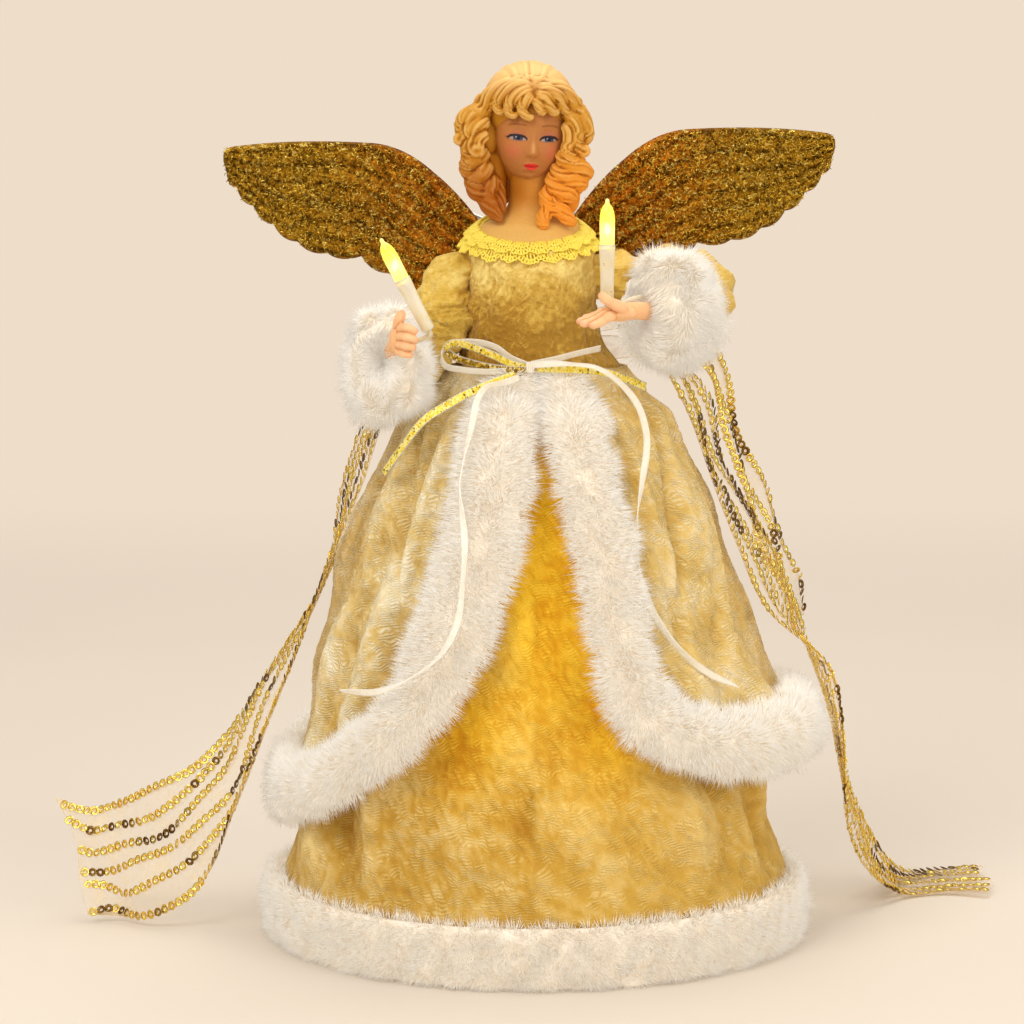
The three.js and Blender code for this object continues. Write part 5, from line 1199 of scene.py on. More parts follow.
class Placed:
    """Copies of a small shape at listed places, each with its own turn, size and tone."""

    def __init__(self) -> None:
        """Makes the tree once."""
        self.scatter = Scatter("placed", (("Shape", "Object"), ("Finish", "Material")))
        tree, source = self.scatter.tree, self.scatter.input
        turn = tree.node("FunctionNodeEulerToRotation", None, {0: self._listed(tree, "turn")})
        shape = tree.node("GeometryNodeObjectInfo", None, {"Object": source("Shape")}, "Geometry")
        many = tree.node("GeometryNodeInstanceOnPoints", None, {
            "Points": source("Geometry"), "Instance": shape, "Rotation": turn, "Scale": self._listed(tree, "size")})
        real = tree.node("GeometryNodeRealizeInstances", None, {"Geometry": many})
        self.scatter.close(tree.node("GeometryNodeSetMaterial", None, {
            "Geometry": real, "Material": source("Finish")}))

    @staticmethod
    def _listed(tree: Tree, name: str) -> Value:
        """A vector kept with each place."""
        return tree.node("GeometryNodeInputNamedAttribute", {"data_type": "FLOAT_VECTOR"}, {"Name": name})

    def fill(self, name: str, shape: Piece, finish: Finish, places: Points, axes: Points,
             sizes: Points, picks: Points) -> Piece:
        """One mesh of all copies.

        Args:
            name: of the piece.
            shape: the small shape, one millimetre for a unit.
            finish: its surface.
            places: in millimetres.
            axes: each copy's X, Y and Z directions as rows.
            sizes: along those directions.
            picks: a tone from 0 to 1 for each copy.

        Returns:
            The piece, without its body.
        """
        made = mesh_object(name, places, [])
        turns = np.array([Matrix(a.T.tolist()).to_euler() for a in axes])
        set_vectors(made, "turn", turns)
        set_vectors(made, "size", sizes)
        set_numbers(made, "pick", picks)
        self.scatter.run(made, {"Shape": shape, "Finish": finish.material()})
        made.data.polygons.foreach_set("use_smooth", [True] * len(made.data.polygons))
        return made


def axes_from(normals: Points, along: Points) -> Points:
    """X, Y and Z directions with Z the normal and X near along."""
    z = unit(normals)
    x = unit(along - z * (along * z).sum(1, keepdims=True))
    return np.stack([x, np.cross(z, x), z], axis=1)


# Ribbons, bow and streamers


@dataclass
class RibbonCut:
    """A flat ribbon of one width."""

    width: float
    thickness: float = 0.35
    columns: int = 5

    def piece(self, name: str, line: Points, across: Points) -> Piece:
        """Closed ribbon along a line, with its width towards across."""
        side, normal = frames_along(line, across)
        share = np.linspace(-0.5, 0.5, self.columns)
        front, back = (line[:, None] + side[:, None] * (share * self.width)[None, :, None] + normal[:, None] * lift
                       for lift in (self.thickness / 2, -self.thickness / 2))
        rings = np.concatenate([front, back[:, ::-1]], axis=1)
        made = solid(name, rings.reshape(-1, 3), tube_faces(len(line), 2 * self.columns))
        shares = np.concatenate([share, share[::-1]]) + 0.5
        set_uv(made, joined(shares[None], run_along(line)[:, None]))
        return made


@dataclass
class Bow:
    """Bow at the waist: knot, loop, short end, two gold tails and two long satin tails."""

    satin_width: float = 2.3
    gold_width: float = 3.0
    band_low: float = 0.6
    band_high: float = 2.0
    tilt: Place = (0.15, -0.45, 0.88)
    tails: dict[str, Path] = field(default_factory=lambda: {
        "gold_tail_right": (
            (2.4, -26, 3.4), (10, -26.6, 3.2), (18, -26.8, 3), (25, -26.6, 2), (32, -25.2, -0.2), (39, -21.4, -3.2)),
        "gold_tail_left": (
            (-5, -27.6, 1.4), (-10.6, -31.4, -0.4), (-15.7, -34.6, -2.2), (-22.4, -37.4, -5), (-27.5, -38.6, -7.8),
            (-35.2, -38.8, -12.8), (-43.6, -36.8, -23.4), (-49, -33, -31.2)),
        "satin_tail_left": (
            (-3.6, -27.8, 0.4), (-9, -33.2, -0.9), (-14.5, -39, -1.8), (-17.2, -42.6, -5), (-19.4, -48, -14),
            (-22, -54.5, -25), (-23.2, -58.6, -33), (-22.4, -63.8, -41), (-21.6, -67.4, -47), (-21.4, -71, -53),
            (-22, -75.4, -62), (-23, -79.6, -71.5), (-25.5, -82, -79), (-30, -82.6, -85.6), (-38, -80.6, -92),
            (-49.5, -74.6, -98), (-62, -65, -99.5)),
        "satin_tail_right": (
            (0.9, -27.4, 4.6), (8.4, -28.8, 5.2), (16, -29.4, 4.9), (21.2, -29.6, 4.2), (26.3, -30.2, 1.8),
            (31.5, -32, -2.4), (35.8, -34.4, -8), (38, -37, -14), (38.8, -40.6, -20.5), (37, -46, -33),
            (35.2, -51, -45), (35.5, -56, -57), (38.5, -60, -70), (45, -61, -81.5), (52.5, -58.5, -90),
            (60, -54, -96), (69, -46, -101)),
    })

    def tail(self, node: str) -> None:
        """One long hanging tail as wide as the ribbon."""
        gold = node.startswith("gold")
        width, finish = (self.gold_width, GOLD_RIBBON) if gold else (self.satin_width, SATIN)
        line = Route(self.tails[node], FIGURE).even(160)
        out = unit(line * np.array([1, 1, 0]) - np.array([FIGURE[0], 0, 0]))
        heading = unit(np.gradient(line, axis=0))
        flat = unit(np.cross(out, heading) if gold else np.cross(heading, out))
        share = evenly(len(line))[:, None]
        roll = np.zeros_like(share) if gold else 1.25 * np.sin(share * 13 + 0.6) * ease(share, 0.0, 0.1)
        made = RibbonCut(width).piece(f"{node}_ribbon", line, flat * np.cos(roll) + out * np.sin(roll))
        dress(made, finish, node)

    def strip(self, name: str, node: str, finish: Finish, width: float, points: Path) -> None:
        """One short run of ribbon with its face towards the front."""
        line = Route(points, FIGURE).even(60)
        made = RibbonCut(width).piece(name, line, np.array(self.tilt))
        dress(made, finish, node)

    def loops(self) -> None:
        """Gold loop with its dark inner face, the white loop round it and the short white end."""
        self.strip("bow_gold_loop", "bow_loop", GOLD_RIBBON, self.gold_width, (
            (-0.4, -26.6, 3.6), (-6.5, -27, 5.2), (-12.1, -27.2, 7.8), (-18.3, -27, 10.3), (-23.4, -26.4, 11.8),
            (-26.8, -25.6, 11.4), (-28.2, -24.8, 9.4)))
        self.strip("bow_gold_return", "bow_loop", DARK_RIBBON, self.gold_width * 0.9, (
            (-28.2, -24.6, 9.2), (-25.5, -24.6, 7.2), (-21.9, -25, 5.8), (-17.8, -25.4, 4.7), (-12.1, -25.8, 3.6),
            (-4.4, -26.2, 3), (-0.6, -26.4, 2.9)))
        self.strip("bow_white_loop", "bow_loop", SATIN, self.satin_width, (
            (-0.6, -25.8, 4.4), (-6.5, -25.8, 6.9), (-11.1, -25.6, 10.2), (-15.6, -25.4, 11.8), (-22, -24.8, 12.2),
            (-27.4, -24, 10.8), (-29.6, -23.6, 7.6), (-28.6, -23.8, 4.2), (-22.4, -24.6, 2.8), (-14.7, -25.4, 2.2),
            (-6.5, -25.8, 2.8), (-0.6, -25.8, 3.2)))
        self.strip("bow_short_end", "bow_tail_short", SATIN, self.satin_width, (
            (0.4, -25.8, 4.8), (8.4, -25, 6.4), (16.1, -22.8, 8.2), (23.8, -19.8, 9.7)))

    def knot(self) -> None:
        """Knot: a satin wrap pulled over the ribbons."""
        rows, columns = 26, 40
        lat, lon = np.linspace(-0.5, 0.5, rows)[:, None] * math.pi, circle(columns)[None]
        width = 0.35 + 0.65 * np.cos(lat) ** 0.45
        pleat = 1 + 0.07 * np.cos(7 * lon + 0.8 * np.sin(2 * lat))
        ring = joined(1.5 * width * np.sin(lon) * pleat, -1.6 * width * np.cos(lon) * pleat, 1.9 * np.sin(lat))
        made = solid("bow_knot_wrap", ring + np.array([0.0, -26.6, 3.8]) + FIGURE, tube_faces(rows, columns))
        set_uv(made, joined(lon / 6.3, 3 * lat))
        dress(made, SATIN, "bow_knot")

    def band(self, bodice: "Bodice") -> None:
        """Ribbon round the waist."""
        angle = np.linspace(0, TAU, 161)
        middle = (self.band_low + self.band_high) / 2
        line = bodice.ring(angle, np.full_like(angle, middle), 0.5) + FIGURE
        cut = RibbonCut(self.band_high - self.band_low, 0.5)
        made = cut.piece("waist_ribbon_band", line, np.array([0.0, 0.0, 1.0]))
        dress(made, SATIN, "waist_ribbon")

    def build(self, bodice: "Bodice") -> None:
        """Makes every ribbon of the bow."""
        for node in self.tails:
            self.tail(node)
        self.band(bodice)
        self.loops()
        self.knot()


def sequin_shape() -> Piece:
    """Cupped ring sequin one unit in radius, standing on Z."""
    sides = 9
    around = circle(sides)
    rings = [joined(r * np.cos(around), r * np.sin(around), np.full(sides, z))
             for r, z in ((0.36, 0.0), (0.7, 0.05), (1.0, 0.2), (1.0, 0.12), (0.7, -0.05), (0.36, -0.1))]
    return solid("sequin", np.vstack(rings), ring_faces(len(rings), sides))


@dataclass
class Streamer:
    """Sheer band between two edges, with rows of sequins sewn along it."""

    node: str
    first: Path
    second: Path
    seed: int
    rows: int = 6
    spacing: float = 2.75
    radius: float = 1.65
    sewn_from: float = 0.17

    def place(self, u: Points, v: Points) -> Points:
        """Points across and along the band, with a little slack."""
        a, b = Route(self.first).at(v), Route(self.second).at(v)
        points = a + (b - a) * u[:, None]
        slack = ease(v, 0.05, 0.25)[:, None]
        flat = joined(u * 3.1, v * 9)
        sway = joined(*(ripple(flat, 2.2, self.seed + k) for k in range(3)))
        low = np.clip(points[:, 2:3] / 12, 0.0, 1.0)
        return points + sway * slack * np.array([1.2, 1.2, 0.9]) * np.hstack([low * 0 + 1, low * 0 + 1, low])

    def cloth(self) -> tuple[Piece, float, float]:
        """The sheer band with its mean width and length."""
        across, along = 19, 150
        v, u = even_grid(along, across)
        points = self.place(u, v)
        grid = points.reshape(along, across, 3)
        width = float(np.mean([path_length(r) for r in grid]))
        length = path_length(grid[:, across // 2])
        made = mesh_object(f"{self.node}_mesh", points, grid_faces(along, across))
        set_uv(made, joined(u, v * length))
        modified(made, "SOLIDIFY", thickness=0.12 * MM, offset=0.0)
        return made, width, length

    def sequins(self, placed: Placed, shape: Piece) -> Piece:
        """Rows of sequins, each overlapping the one before."""
        random = np.random.default_rng(self.seed)
        sewn = []
        for row in range(self.rows):
            share = 0.03 + 0.94 * row / (self.rows - 1)
            v = np.linspace(self.sewn_from, 0.995, 700)
            u = share + 0.018 * np.sin(v * 21 + row * 2.1) + 0.012 * np.sin(v * 47 + row)
            line = self.place(u, v)
            run = run_along(line)
            at = np.arange(1.0, run[-1], self.spacing)
            vs, us = np.interp(at, run, v), np.interp(at, run, u)
            middle = self.place(us, vs)
            ahead = unit(self.place(us, vs + 0.004) - self.place(us, vs - 0.004))
            side = unit(self.place(us + 0.02, vs) - self.place(us - 0.02, vs))
            normal = unit(np.cross(ahead, side))
            normal = normal * np.where((normal * (middle * np.array([0.4, 0, 0]) + np.array([0, -60, 40]))).sum(
                1, keepdims=True) < 0, -1, 1)
            runs = ripple(joined(at, row * 31.0), 34, self.seed + 7, 6)
            sewn.append((middle + normal * 0.45, normal + 0.28 * ahead + random.normal(0, 0.16, middle.shape), ahead,
                         np.clip(0.44 + 0.24 * runs + random.normal(0, 0.09, len(at)), 0, 1)))
        places, normals, headings, picks = (np.concatenate(part) for part in zip(*sewn))
        places[:, 2] = np.maximum(places[:, 2], 1.2)
        sizes = np.full((len(places), 3), self.radius) * random.uniform(0.92, 1.06, (len(places), 1))
        return placed.fill(f"{self.node}_sequins", shape, SEQUIN, places, axes_from(normals, headings), sizes, picks)

    def build(self, placed: Placed, shape: Piece) -> None:
        cloth, width, length = self.cloth()
        dress(cloth, ORGANZA, self.node)
        sewn = dress(self.sequins(placed, shape), SEQUIN, self.node)
        LOG.info("%s: %.1f by %.1f mm flat", self.node, width, length)


STREAMERS = (
    Streamer("streamer_right", (
        (5, 21.6, 195.6), (20, 23, 196), (44, 30, 196), (62, 30, 182), (69, 30, 158), (80, 29, 134), (91, 27, 112),
        (100, 27, 86), (108, 30, 60), (114, 38, 38), (122, 56, 17), (138, 76, 2.5), (152, 82, 2), (167, 78, 4)), (
        (5, 21.6, 200.4), (20, 20, 205), (38, 8, 203), (50, 0, 184), (60, -2, 160), (70, -4, 136), (79, -6, 114),
        (99, -4, 92), (106, 0, 62), (110, 8, 38), (118, 24, 15), (132, 40, 2), (150, 44, 2), (166, 42, 3)), 41),
    Streamer("streamer_left", (
        (-9, 21.6, 195.6), (-22, 24, 196), (-42, 28, 196), (-56, 28, 178), (-67, 26, 152), (-72, 24, 128),
        (-82, 24, 104), (-96, 22, 82), (-106, 19, 68), (-118, 14, 60), (-130, 12, 50), (-143, 14, 42), (-156, 18, 38),
        (-167, 16, 42)), (
        (-9, 21.6, 200.4), (-22, 20, 205), (-36.5, 10, 202), (-51, -9, 180), (-59, -18, 157), (-67.5, -22, 134),
        (-79, -14, 104), (-92, -10, 74), (-102, -9, 46), (-109, -8, 27), (-121, -6, 12), (-135, -2, 5), (-147, 4, 3),
        (-157, 4, 3)), 52),
    Streamer("streamer_right_short", (
        (6, 20.2, 202.6), (24, 28, 206), (48, 34, 206), (60, 36, 190), (68, 36, 164), (78, 35, 138), (86, 33, 116),
        (92, 31, 100)), (
        (6, 20.3, 207), (24, 33, 214), (52, 42, 210), (66, 46, 192), (74, 47, 166), (84, 46, 142), (91, 44, 122),
        (96, 42, 106)), 63, rows=3),
)


# Figure


@dataclass
class Bodice:
    """Velvet bodice with its crochet collar."""

    edge: float = 48.4
    slope: float = 5.0
    collar_drop: float = 7.4
    scallops: int = 20
    yarn: float = 0.42
    half_width = staticmethod(curve_through((
        (0, 32), (4, 29), (8, 26), (12, 24.4), (16, 23.6), (22, 22.6), (34, 22.2), (42, 21.4), (48, 20), (52, 18.5))))
    half_depth = staticmethod(curve_through((
        (0, 20), (6, 20.2), (12, 20.8), (24, 21.4), (34, 20.8), (42, 19), (48, 16.5), (52, 14.5))))
    tuck = staticmethod(curve_through(((0, 6), (4, 5), (8, 3), (12, 1.4), (16, 0.6), (22, 0), (26, 0))))

    def ring(self, angle: Points, height: Points, lift: Points | float = 0.0) -> Points:
        """Figure points on the bodice by angle and height, lifted off it; the left sleeve presses its side in."""
        wide = self.half_width(height) - np.where(np.sin(angle) < 0, self.tuck(height), 0.0)
        return np.stack([(wide + lift) * np.sin(angle),
                         -(self.half_depth(height) + lift) * np.cos(angle), height], axis=-1)

    def top(self, angle: Points) -> Points:
        """Height of the neck edge."""
        return self.edge - self.slope * np.cos(angle)

    def cloth(self) -> None:
        """The bodice itself, gathered at its waist and neck."""
        rows, columns = 74, 220
        v, u = even_grid(rows, columns, True)
        angle = TAU * u
        height = 0.4 + (self.top(angle) - 1.8) * v
        bare = self.ring(angle, height)
        crush = Gown.crushed(bare, angle * 0.32, 31, 0.4)
        waist = np.exp(-height / 9) * (0.7 * np.cos(38 * angle + 2 * np.sin(4 * angle)) + 0.4 * np.cos(23 * angle))
        neck = np.exp(-(self.top(angle) - height) / 7) * 0.45 * np.cos(34 * angle + 1)
        lift = 0.55 * ripple(bare, 12, 33) + 0.45 * (crush - 0.5) + (waist + neck) * ease(height, 0, 3)
        points = self.ring(angle, height, np.clip(lift, -0.9, 1.1)) + FIGURE
        made = mesh_object("bodice_cloth", points, grid_faces(rows, columns, True))
        # Crush marks plus painted shade: darker towards the waist, lighter towards the neck.
        set_numbers(made, "crush", 0.5 * crush + 1.3 * ease(height, 18, 38) - 0.85)
        modified(made, "SOLIDIFY", thickness=0.7 * MM, offset=-1.0)
        face_outwards(made)
        dress(made, BODICE_VELVET, "bodice")

    def collar_place(self, angle: Points, drop: Points, lift: Points | float) -> Points:
        """Figure points on the collar by angle and distance down from the neck edge."""
        share = drop / self.collar_drop
        out = 0.6 * lift
        height = self.top(angle) + 0.9 - 5.6 * np.abs(share) ** 1.5 * np.sign(share) + 0.8 * lift
        wide, deep = 16.4 + 7.2 * share + out, 15.4 + 5.4 * share + out
        return np.stack([wide * np.sin(angle), -deep * np.cos(angle), height], axis=-1)

    def collar(self) -> None:
        """Crochet collar: two layers of fans of yarn, each with eyelets and a picot edge."""
        shell = Shell()
        random = np.random.default_rng(77)

        def yarn(angle: Points, drop: Points, lift: float, radius: float) -> None:
            """Adds one run of yarn."""
            wobble = 0.18 * ripple(joined(angle * 20, drop), 2.2, 5)
            shell.tube(self.collar_place(angle, drop + wobble, lift), radius, 5)

        for reach, lift, shift in ((1.0, 0.0, 0.0), (0.66, 0.9, 0.5)):
            step = TAU / self.scallops
            for k in range(self.scallops):
                middle = (k + shift) * step
                size = reach * self.collar_drop * random.uniform(0.94, 1.05)
                t = np.linspace(-1, 1, 15)
                for share in (0.34, 0.62, 0.9):
                    fan = size * share * (0.62 + 0.38 * np.sqrt(np.clip(1 - (t * 0.98) ** 2, 0, 1)))
                    yarn(middle + t * step * 0.5 * (0.8 + 0.22 * share), fan, lift + 0.2 * share, self.yarn)
                for spoke in np.linspace(-0.84, 0.84, 6):
                    reach_here = size * 0.9 * (0.62 + 0.38 * math.sqrt(1 - spoke * spoke))
                    s = np.linspace(0.02, 1, 6)
                    yarn(middle + spoke * step * 0.5 * (0.75 + 0.25 * s) + 0.02 * np.sin(6 * s), reach_here * s,
                         lift + 0.3, self.yarn * 0.85)
                for picot in np.linspace(-0.86, 0.86, 7):
                    turn = np.linspace(0.3, TAU - 0.3, 8)
                    base = size * 0.92 * (0.62 + 0.38 * math.sqrt(1 - picot * picot))
                    yarn(middle + picot * step * 0.5 + 0.032 * np.sin(turn), base + 0.62 - 0.62 * np.cos(turn),
                         lift + 0.3, self.yarn * 0.8)
        around = np.linspace(0, TAU, 240)
        for phase in (0.0, math.pi):
            yarn(around, 0.25 + 0.35 * np.sin(60 * around + phase), 0.01428, 0.55)
        made = shell.object("lace_collar_crochet")
        move(made, FIGURE)
        dress(made, LACE, "lace_collar")

    def build(self) -> None:
        """Makes the bodice and its collar."""
        self.cloth()
        self.collar()


def move(piece: Piece, offset: Points) -> None:
    """Moves a mesh's points by millimetres."""
    put_points(piece, points_of(piece) + offset)


def layered(paint: Points, *layers: tuple[Colour, Points]) -> Points:
    """Paint covered with one colour after the other.

    Args:
        paint: the ground, one colour or one for each point.
        layers: each colour with its cover from 0 to 1 at each point.

    Returns:
        A colour for each point.
    """
    for colour, cover in layers:
        paint = paint + (np.array(colour) - paint) * np.clip(cover, 0, 1)[:, None]
    return paint


@dataclass
class Head:
    """Moulded and painted head with its neck and shoulder plate."""

    radii: Place = (12.0, 13.0, 16.5)
    centre: Place = (0.0, -1.5, 81.5)
    yaw: float = 6.5
    roll: float = 3.5
    skin: Colour = (0.435, 0.172, 0.046)
    eye_x: float = 5.3
    eye_z: float = -1.9

    def turn(self) -> Points:
        """Turn of the head on its neck."""
        turn = Matrix.Rotation(math.radians(self.yaw), 3, "Z") @ Matrix.Rotation(math.radians(self.roll), 3, "Y")
        return np.array(turn)

    def relief(self, x: Points, z: Points) -> Points:
        """Height of the face over the plain head, by the place seen from the front."""
        nose = curve_through(((-9.2, 0), (-8.2, 0.35), (-7.4, 1.9), (-6.5, 2.75), (-5.4, 2.1), (-3.5, 1.2),
                              (-1.5, 0.7), (1.2, 0.25), (4, 0)))
        ridge = nose(z) * np.exp(-((np.abs(x) / (1.15 + 0.25 * ease(-z, 3, 6.5))) ** 2.2))
        return ridge + sum(rise * bell(np.abs(x), at, wide) * bell(z, up, tall) for rise, at, wide, up, tall in (
            (0.75, 1.6, 0.75, -7.1, 0.75), (-0.25, 0.8, 0.4, -7.9, 0.35), (-1.35, 4.9, 2.9, -0.9, 2.3),
            (0.85, self.eye_x, 2.2, self.eye_z, 1.5), (0.35, 5.2, 3.4, 2.6, 1.2), (0.75, 6.3, 3.2, -6.6, 3.2),
            (0.95, 0, 2.2, -10.5, 0.65), (1.05, 0, 1.8, -12.1, 0.75), (-0.55, 0, 2.6, -11.25, 0.28),
            (-0.35, 0, 2.2, -13.4, 0.5), (1.2, 0, 2.9, -15, 1.7), (-0.22, 0, 0.5, -9.3, 0.7)))

    def almond(self, x: Points, z: Points) -> tuple[Points, Points, Points]:
        """Place across the eye and heights over its upper and under its lower lid."""
        across = (x - self.eye_x) / 2.9
        arch = np.sqrt(np.clip(1 - np.abs(across) ** 2.2, 0, 1))
        slant = 0.16 * across
        return across, z - (self.eye_z + 0.95 * arch + slant), (self.eye_z - 0.72 * arch + slant) - z

    def colours(self, p: Points) -> Points:
        """Painted face, by the place on the head, with a painted highlight down the nose and painted shade in the
        nostrils.
        """
        x, y, z = p.T
        wide, front = np.abs(x), ease(-y, 2, 7)
        across, over, under = self.almond(wide, z)
        reach = np.abs(across)
        inside = ease(-over, 0, 0.2) * ease(-under, 0, 0.2) * (reach < 1) * front
        gaze = np.hypot(x - np.sign(x) * self.eye_x - 0.15, z - self.eye_z - 0.12)
        glint = np.hypot(x - np.sign(x) * self.eye_x + 0.45, z - self.eye_z - 0.62)
        brow_at = 2.15 + 0.75 * np.cos((wide - 5.6) * 0.36) - 0.1 * np.clip(wide - 7.5, 0, 3)
        brow = ease(wide, 2.2, 3) * ease(-wide, -9, -7.8)
        paint = layered(
            np.array(self.skin),
            ((0.44, 0.17, 0.03), (1 - front) * 0.8),
            ((0.56, 0.13, 0.07), front * 0.6 * bell(wide, 6.6, 2.9) * bell(z, -6, 2.7)),
            ((0.46, 0.17, 0.06), front * 0.5 * bell(wide, 5, 3) * bell(z, 0.6, 1.6)),
            # Painted highlight down the nose.
            ((0.72, 0.36, 0.12), front * 0.55 * bell(x, 0, 1) * bell(z, -5.2, 2.4)),
            # Painted shade in the nostrils.
            ((0.34, 0.11, 0.03), front * 0.6 * bell(wide, 0.85, 0.4) * bell(z, -8, 0.3)),
            ((0.5, 0.12, 0.09), front * 0.5 * bell(over, 0.9, 0.8) * bell(across, 0.25, 1)),
            ((0.36, 0.26, 0.2), inside),
            ((0.014, 0.024, 0.07), inside * ease(-gaze, -1.72, -1.5)),
            ((0.05, 0.075, 0.13), inside * bell(gaze, 1.02, 0.3) * bell(z, self.eye_z - 0.5, 0.8)),
            ((0.006, 0.006, 0.012), inside * ease(-gaze, -0.78, -0.6)),
            ((0.86, 0.88, 0.92), inside * 0.7 * ease(-glint, -0.34, -0.2)),
            ((0.018, 0.01, 0.014), front * (reach < 1.14) * ease(-np.abs(over - 0.1), -0.6, -0.36)),
            ((0.03, 0.015, 0.02), front * 0.9 * bell(across, 1.12, 0.22) * bell(z - self.eye_z, 0.35, 0.3)),
            ((0.26, 0.11, 0.07), front * 0.75 * (reach < 1.02) * bell(under, 0.08, 0.16)),
            ((0.34, 0.14, 0.06), front * 0.7 * (reach < 1.1) * bell(over, 1.05, 0.16)),
            ((0.24, 0.075, 0.02), front * brow * bell(z, brow_at, 0.32)))
        return self.lips(paint, x, z, front)

    @staticmethod
    def lips(paint: Points, x: Points, z: Points, front: Points) -> Points:
        """Coral lips with a darker parting."""
        width = np.clip(1 - (np.abs(x) / 2.6) ** 1.8, 0, 1)
        z = z - 0.085 * x**2
        top_edge = -11.2 + 1.05 * width**0.8 + 0.28 * bell(np.abs(x), 0.95, 0.6) * width
        low_edge = -11.2 - 1.35 * width**0.7
        mouth = front * ease(top_edge - z, -0.05, 0.18) * ease(z - low_edge, -0.05, 0.18) * (width > 0)
        return layered(paint, ((0.62, 0.03, 0.022), mouth * 0.95),
                       ((0.74, 0.12, 0.08), mouth * 0.5 * bell(x, 0.2, 1) * bell(z, -12.1, 0.4)),
                       ((0.34, 0.03, 0.03), mouth * 0.8 * bell(z, -11.25 + 0.06 * np.cos(x * 2), 0.14)))

    def skull(self) -> tuple[Points, list, Points]:
        """Points, faces and colours of the head."""
        rows, columns = 168, 252
        s = np.linspace(-1, 1, rows)
        lat = np.radians(90) * (0.62 * s + 0.38 * s**3) - 0.35 * np.cos(s * math.pi / 2) * np.radians(40)
        t = np.linspace(-1, 1, columns, endpoint=False)
        lon = math.pi * (0.34 * t + 0.66 * t**3)
        lat[0], lat[-1] = -math.pi / 2 + 0.01, math.pi / 2 - 0.01
        la, lo = (a.ravel() for a in np.meshgrid(lat, lon, indexing="ij"))
        p = joined(np.cos(la) * np.sin(lo), -np.cos(la) * np.cos(lo), np.sin(la)) * np.array(self.radii)
        low = np.clip(-p[:, 2] / self.radii[2], 0, 1)
        p[:, 0] *= 1 - 0.14 * low**1.5 + 0.13 * low**5
        p[:, 1] += ease(-p[:, 1], 6, 13) * (0.9 * bell(p[:, 2], 2, 9))
        p[:, 1] += 1.6 * ease(-p[:, 2], 10, 17) * ease(p[:, 1], -6, 6)
        flat = p.copy()
        p[:, 1] -= self.relief(p[:, 0], p[:, 2]) * ease(-p[:, 1], 2.5, 7)
        return p, tube_faces(rows, columns), self.colours(np.stack([p[:, 0], flat[:, 1], p[:, 2]], axis=1))

    def neck(self) -> tuple[Points, list, Points]:
        """Points, faces and colours of the neck and shoulder plate, in the figure's frame."""
        rows, columns = 60, 120
        angle = circle(columns)
        levels = ((36.0, 19.0, 18.8, 0.0), (40.0, 19.2, 18.4, 0.0), (43.0, 19.2, 17.7, 0.0), (45.5, 18.8, 16.4, 0.0),
                  (47.5, 18.2, 15.0, 0.1), (49.0, 17.4, 13.6, 0.2), (50.5, 16.2, 12.1, 0.3), (52.2, 13.0, 10.3, 0.5),
                  (54.0, 9.8, 8.9, 0.7), (56.5, 7.8, 7.8, 0.9), (60.0, 6.8, 7.1, 0.7), (66.0, 6.6, 6.8, 0.0),
                  (71.0, 6.8, 6.8, -0.3), (77.0, 6.8, 6.8, -0.5))
        fine = np.linspace(0, len(levels) - 1, rows)[:, None]
        z, wide, deep, back = (curve_through(list(enumerate(column)))(fine) for column in zip(*levels))
        rise = 3.2 * (1 - np.cos(angle)) * 0.5
        points = joined(wide * np.sin(angle), back - deep * np.cos(angle), z + rise * ease(-z, -50, -40))
        clavicle = bell(np.abs(points[:, 0]), 5.5, 3.4) * bell(points[:, 2], 51.5, 1.6) * (points[:, 1] < 0)
        points[:, 1] -= 0.5 * clavicle
        x, _, z = points.T
        # Painted shade: the neck darker and warmer upwards under the head, and darker still on its left side.
        paint = layered(np.array((0.66, 0.385, 0.105)), ((0.56, 0.24, 0.04), ease(z, 49, 60)),
                        ((0.4, 0.14, 0.012), ease(z, 52, 62) * ease(-x, -3, 4)))
        return points, tube_faces(rows, columns), paint

    def build(self) -> None:
        """Makes the head with its neck."""
        shell = Shell()
        points, faces, face_paint = self.skull()
        shell.add(points @ self.turn().T + np.array(self.centre), faces)
        points, faces, neck_paint = self.neck()
        shell.add(points, faces)
        made = shell.object("head_doll")
        set_colours(made, np.vstack([face_paint, neck_paint]))
        move(made, FIGURE)
        dress(made, SKIN, "head")


Lock = Sequence[tuple[float, float, float, float]]

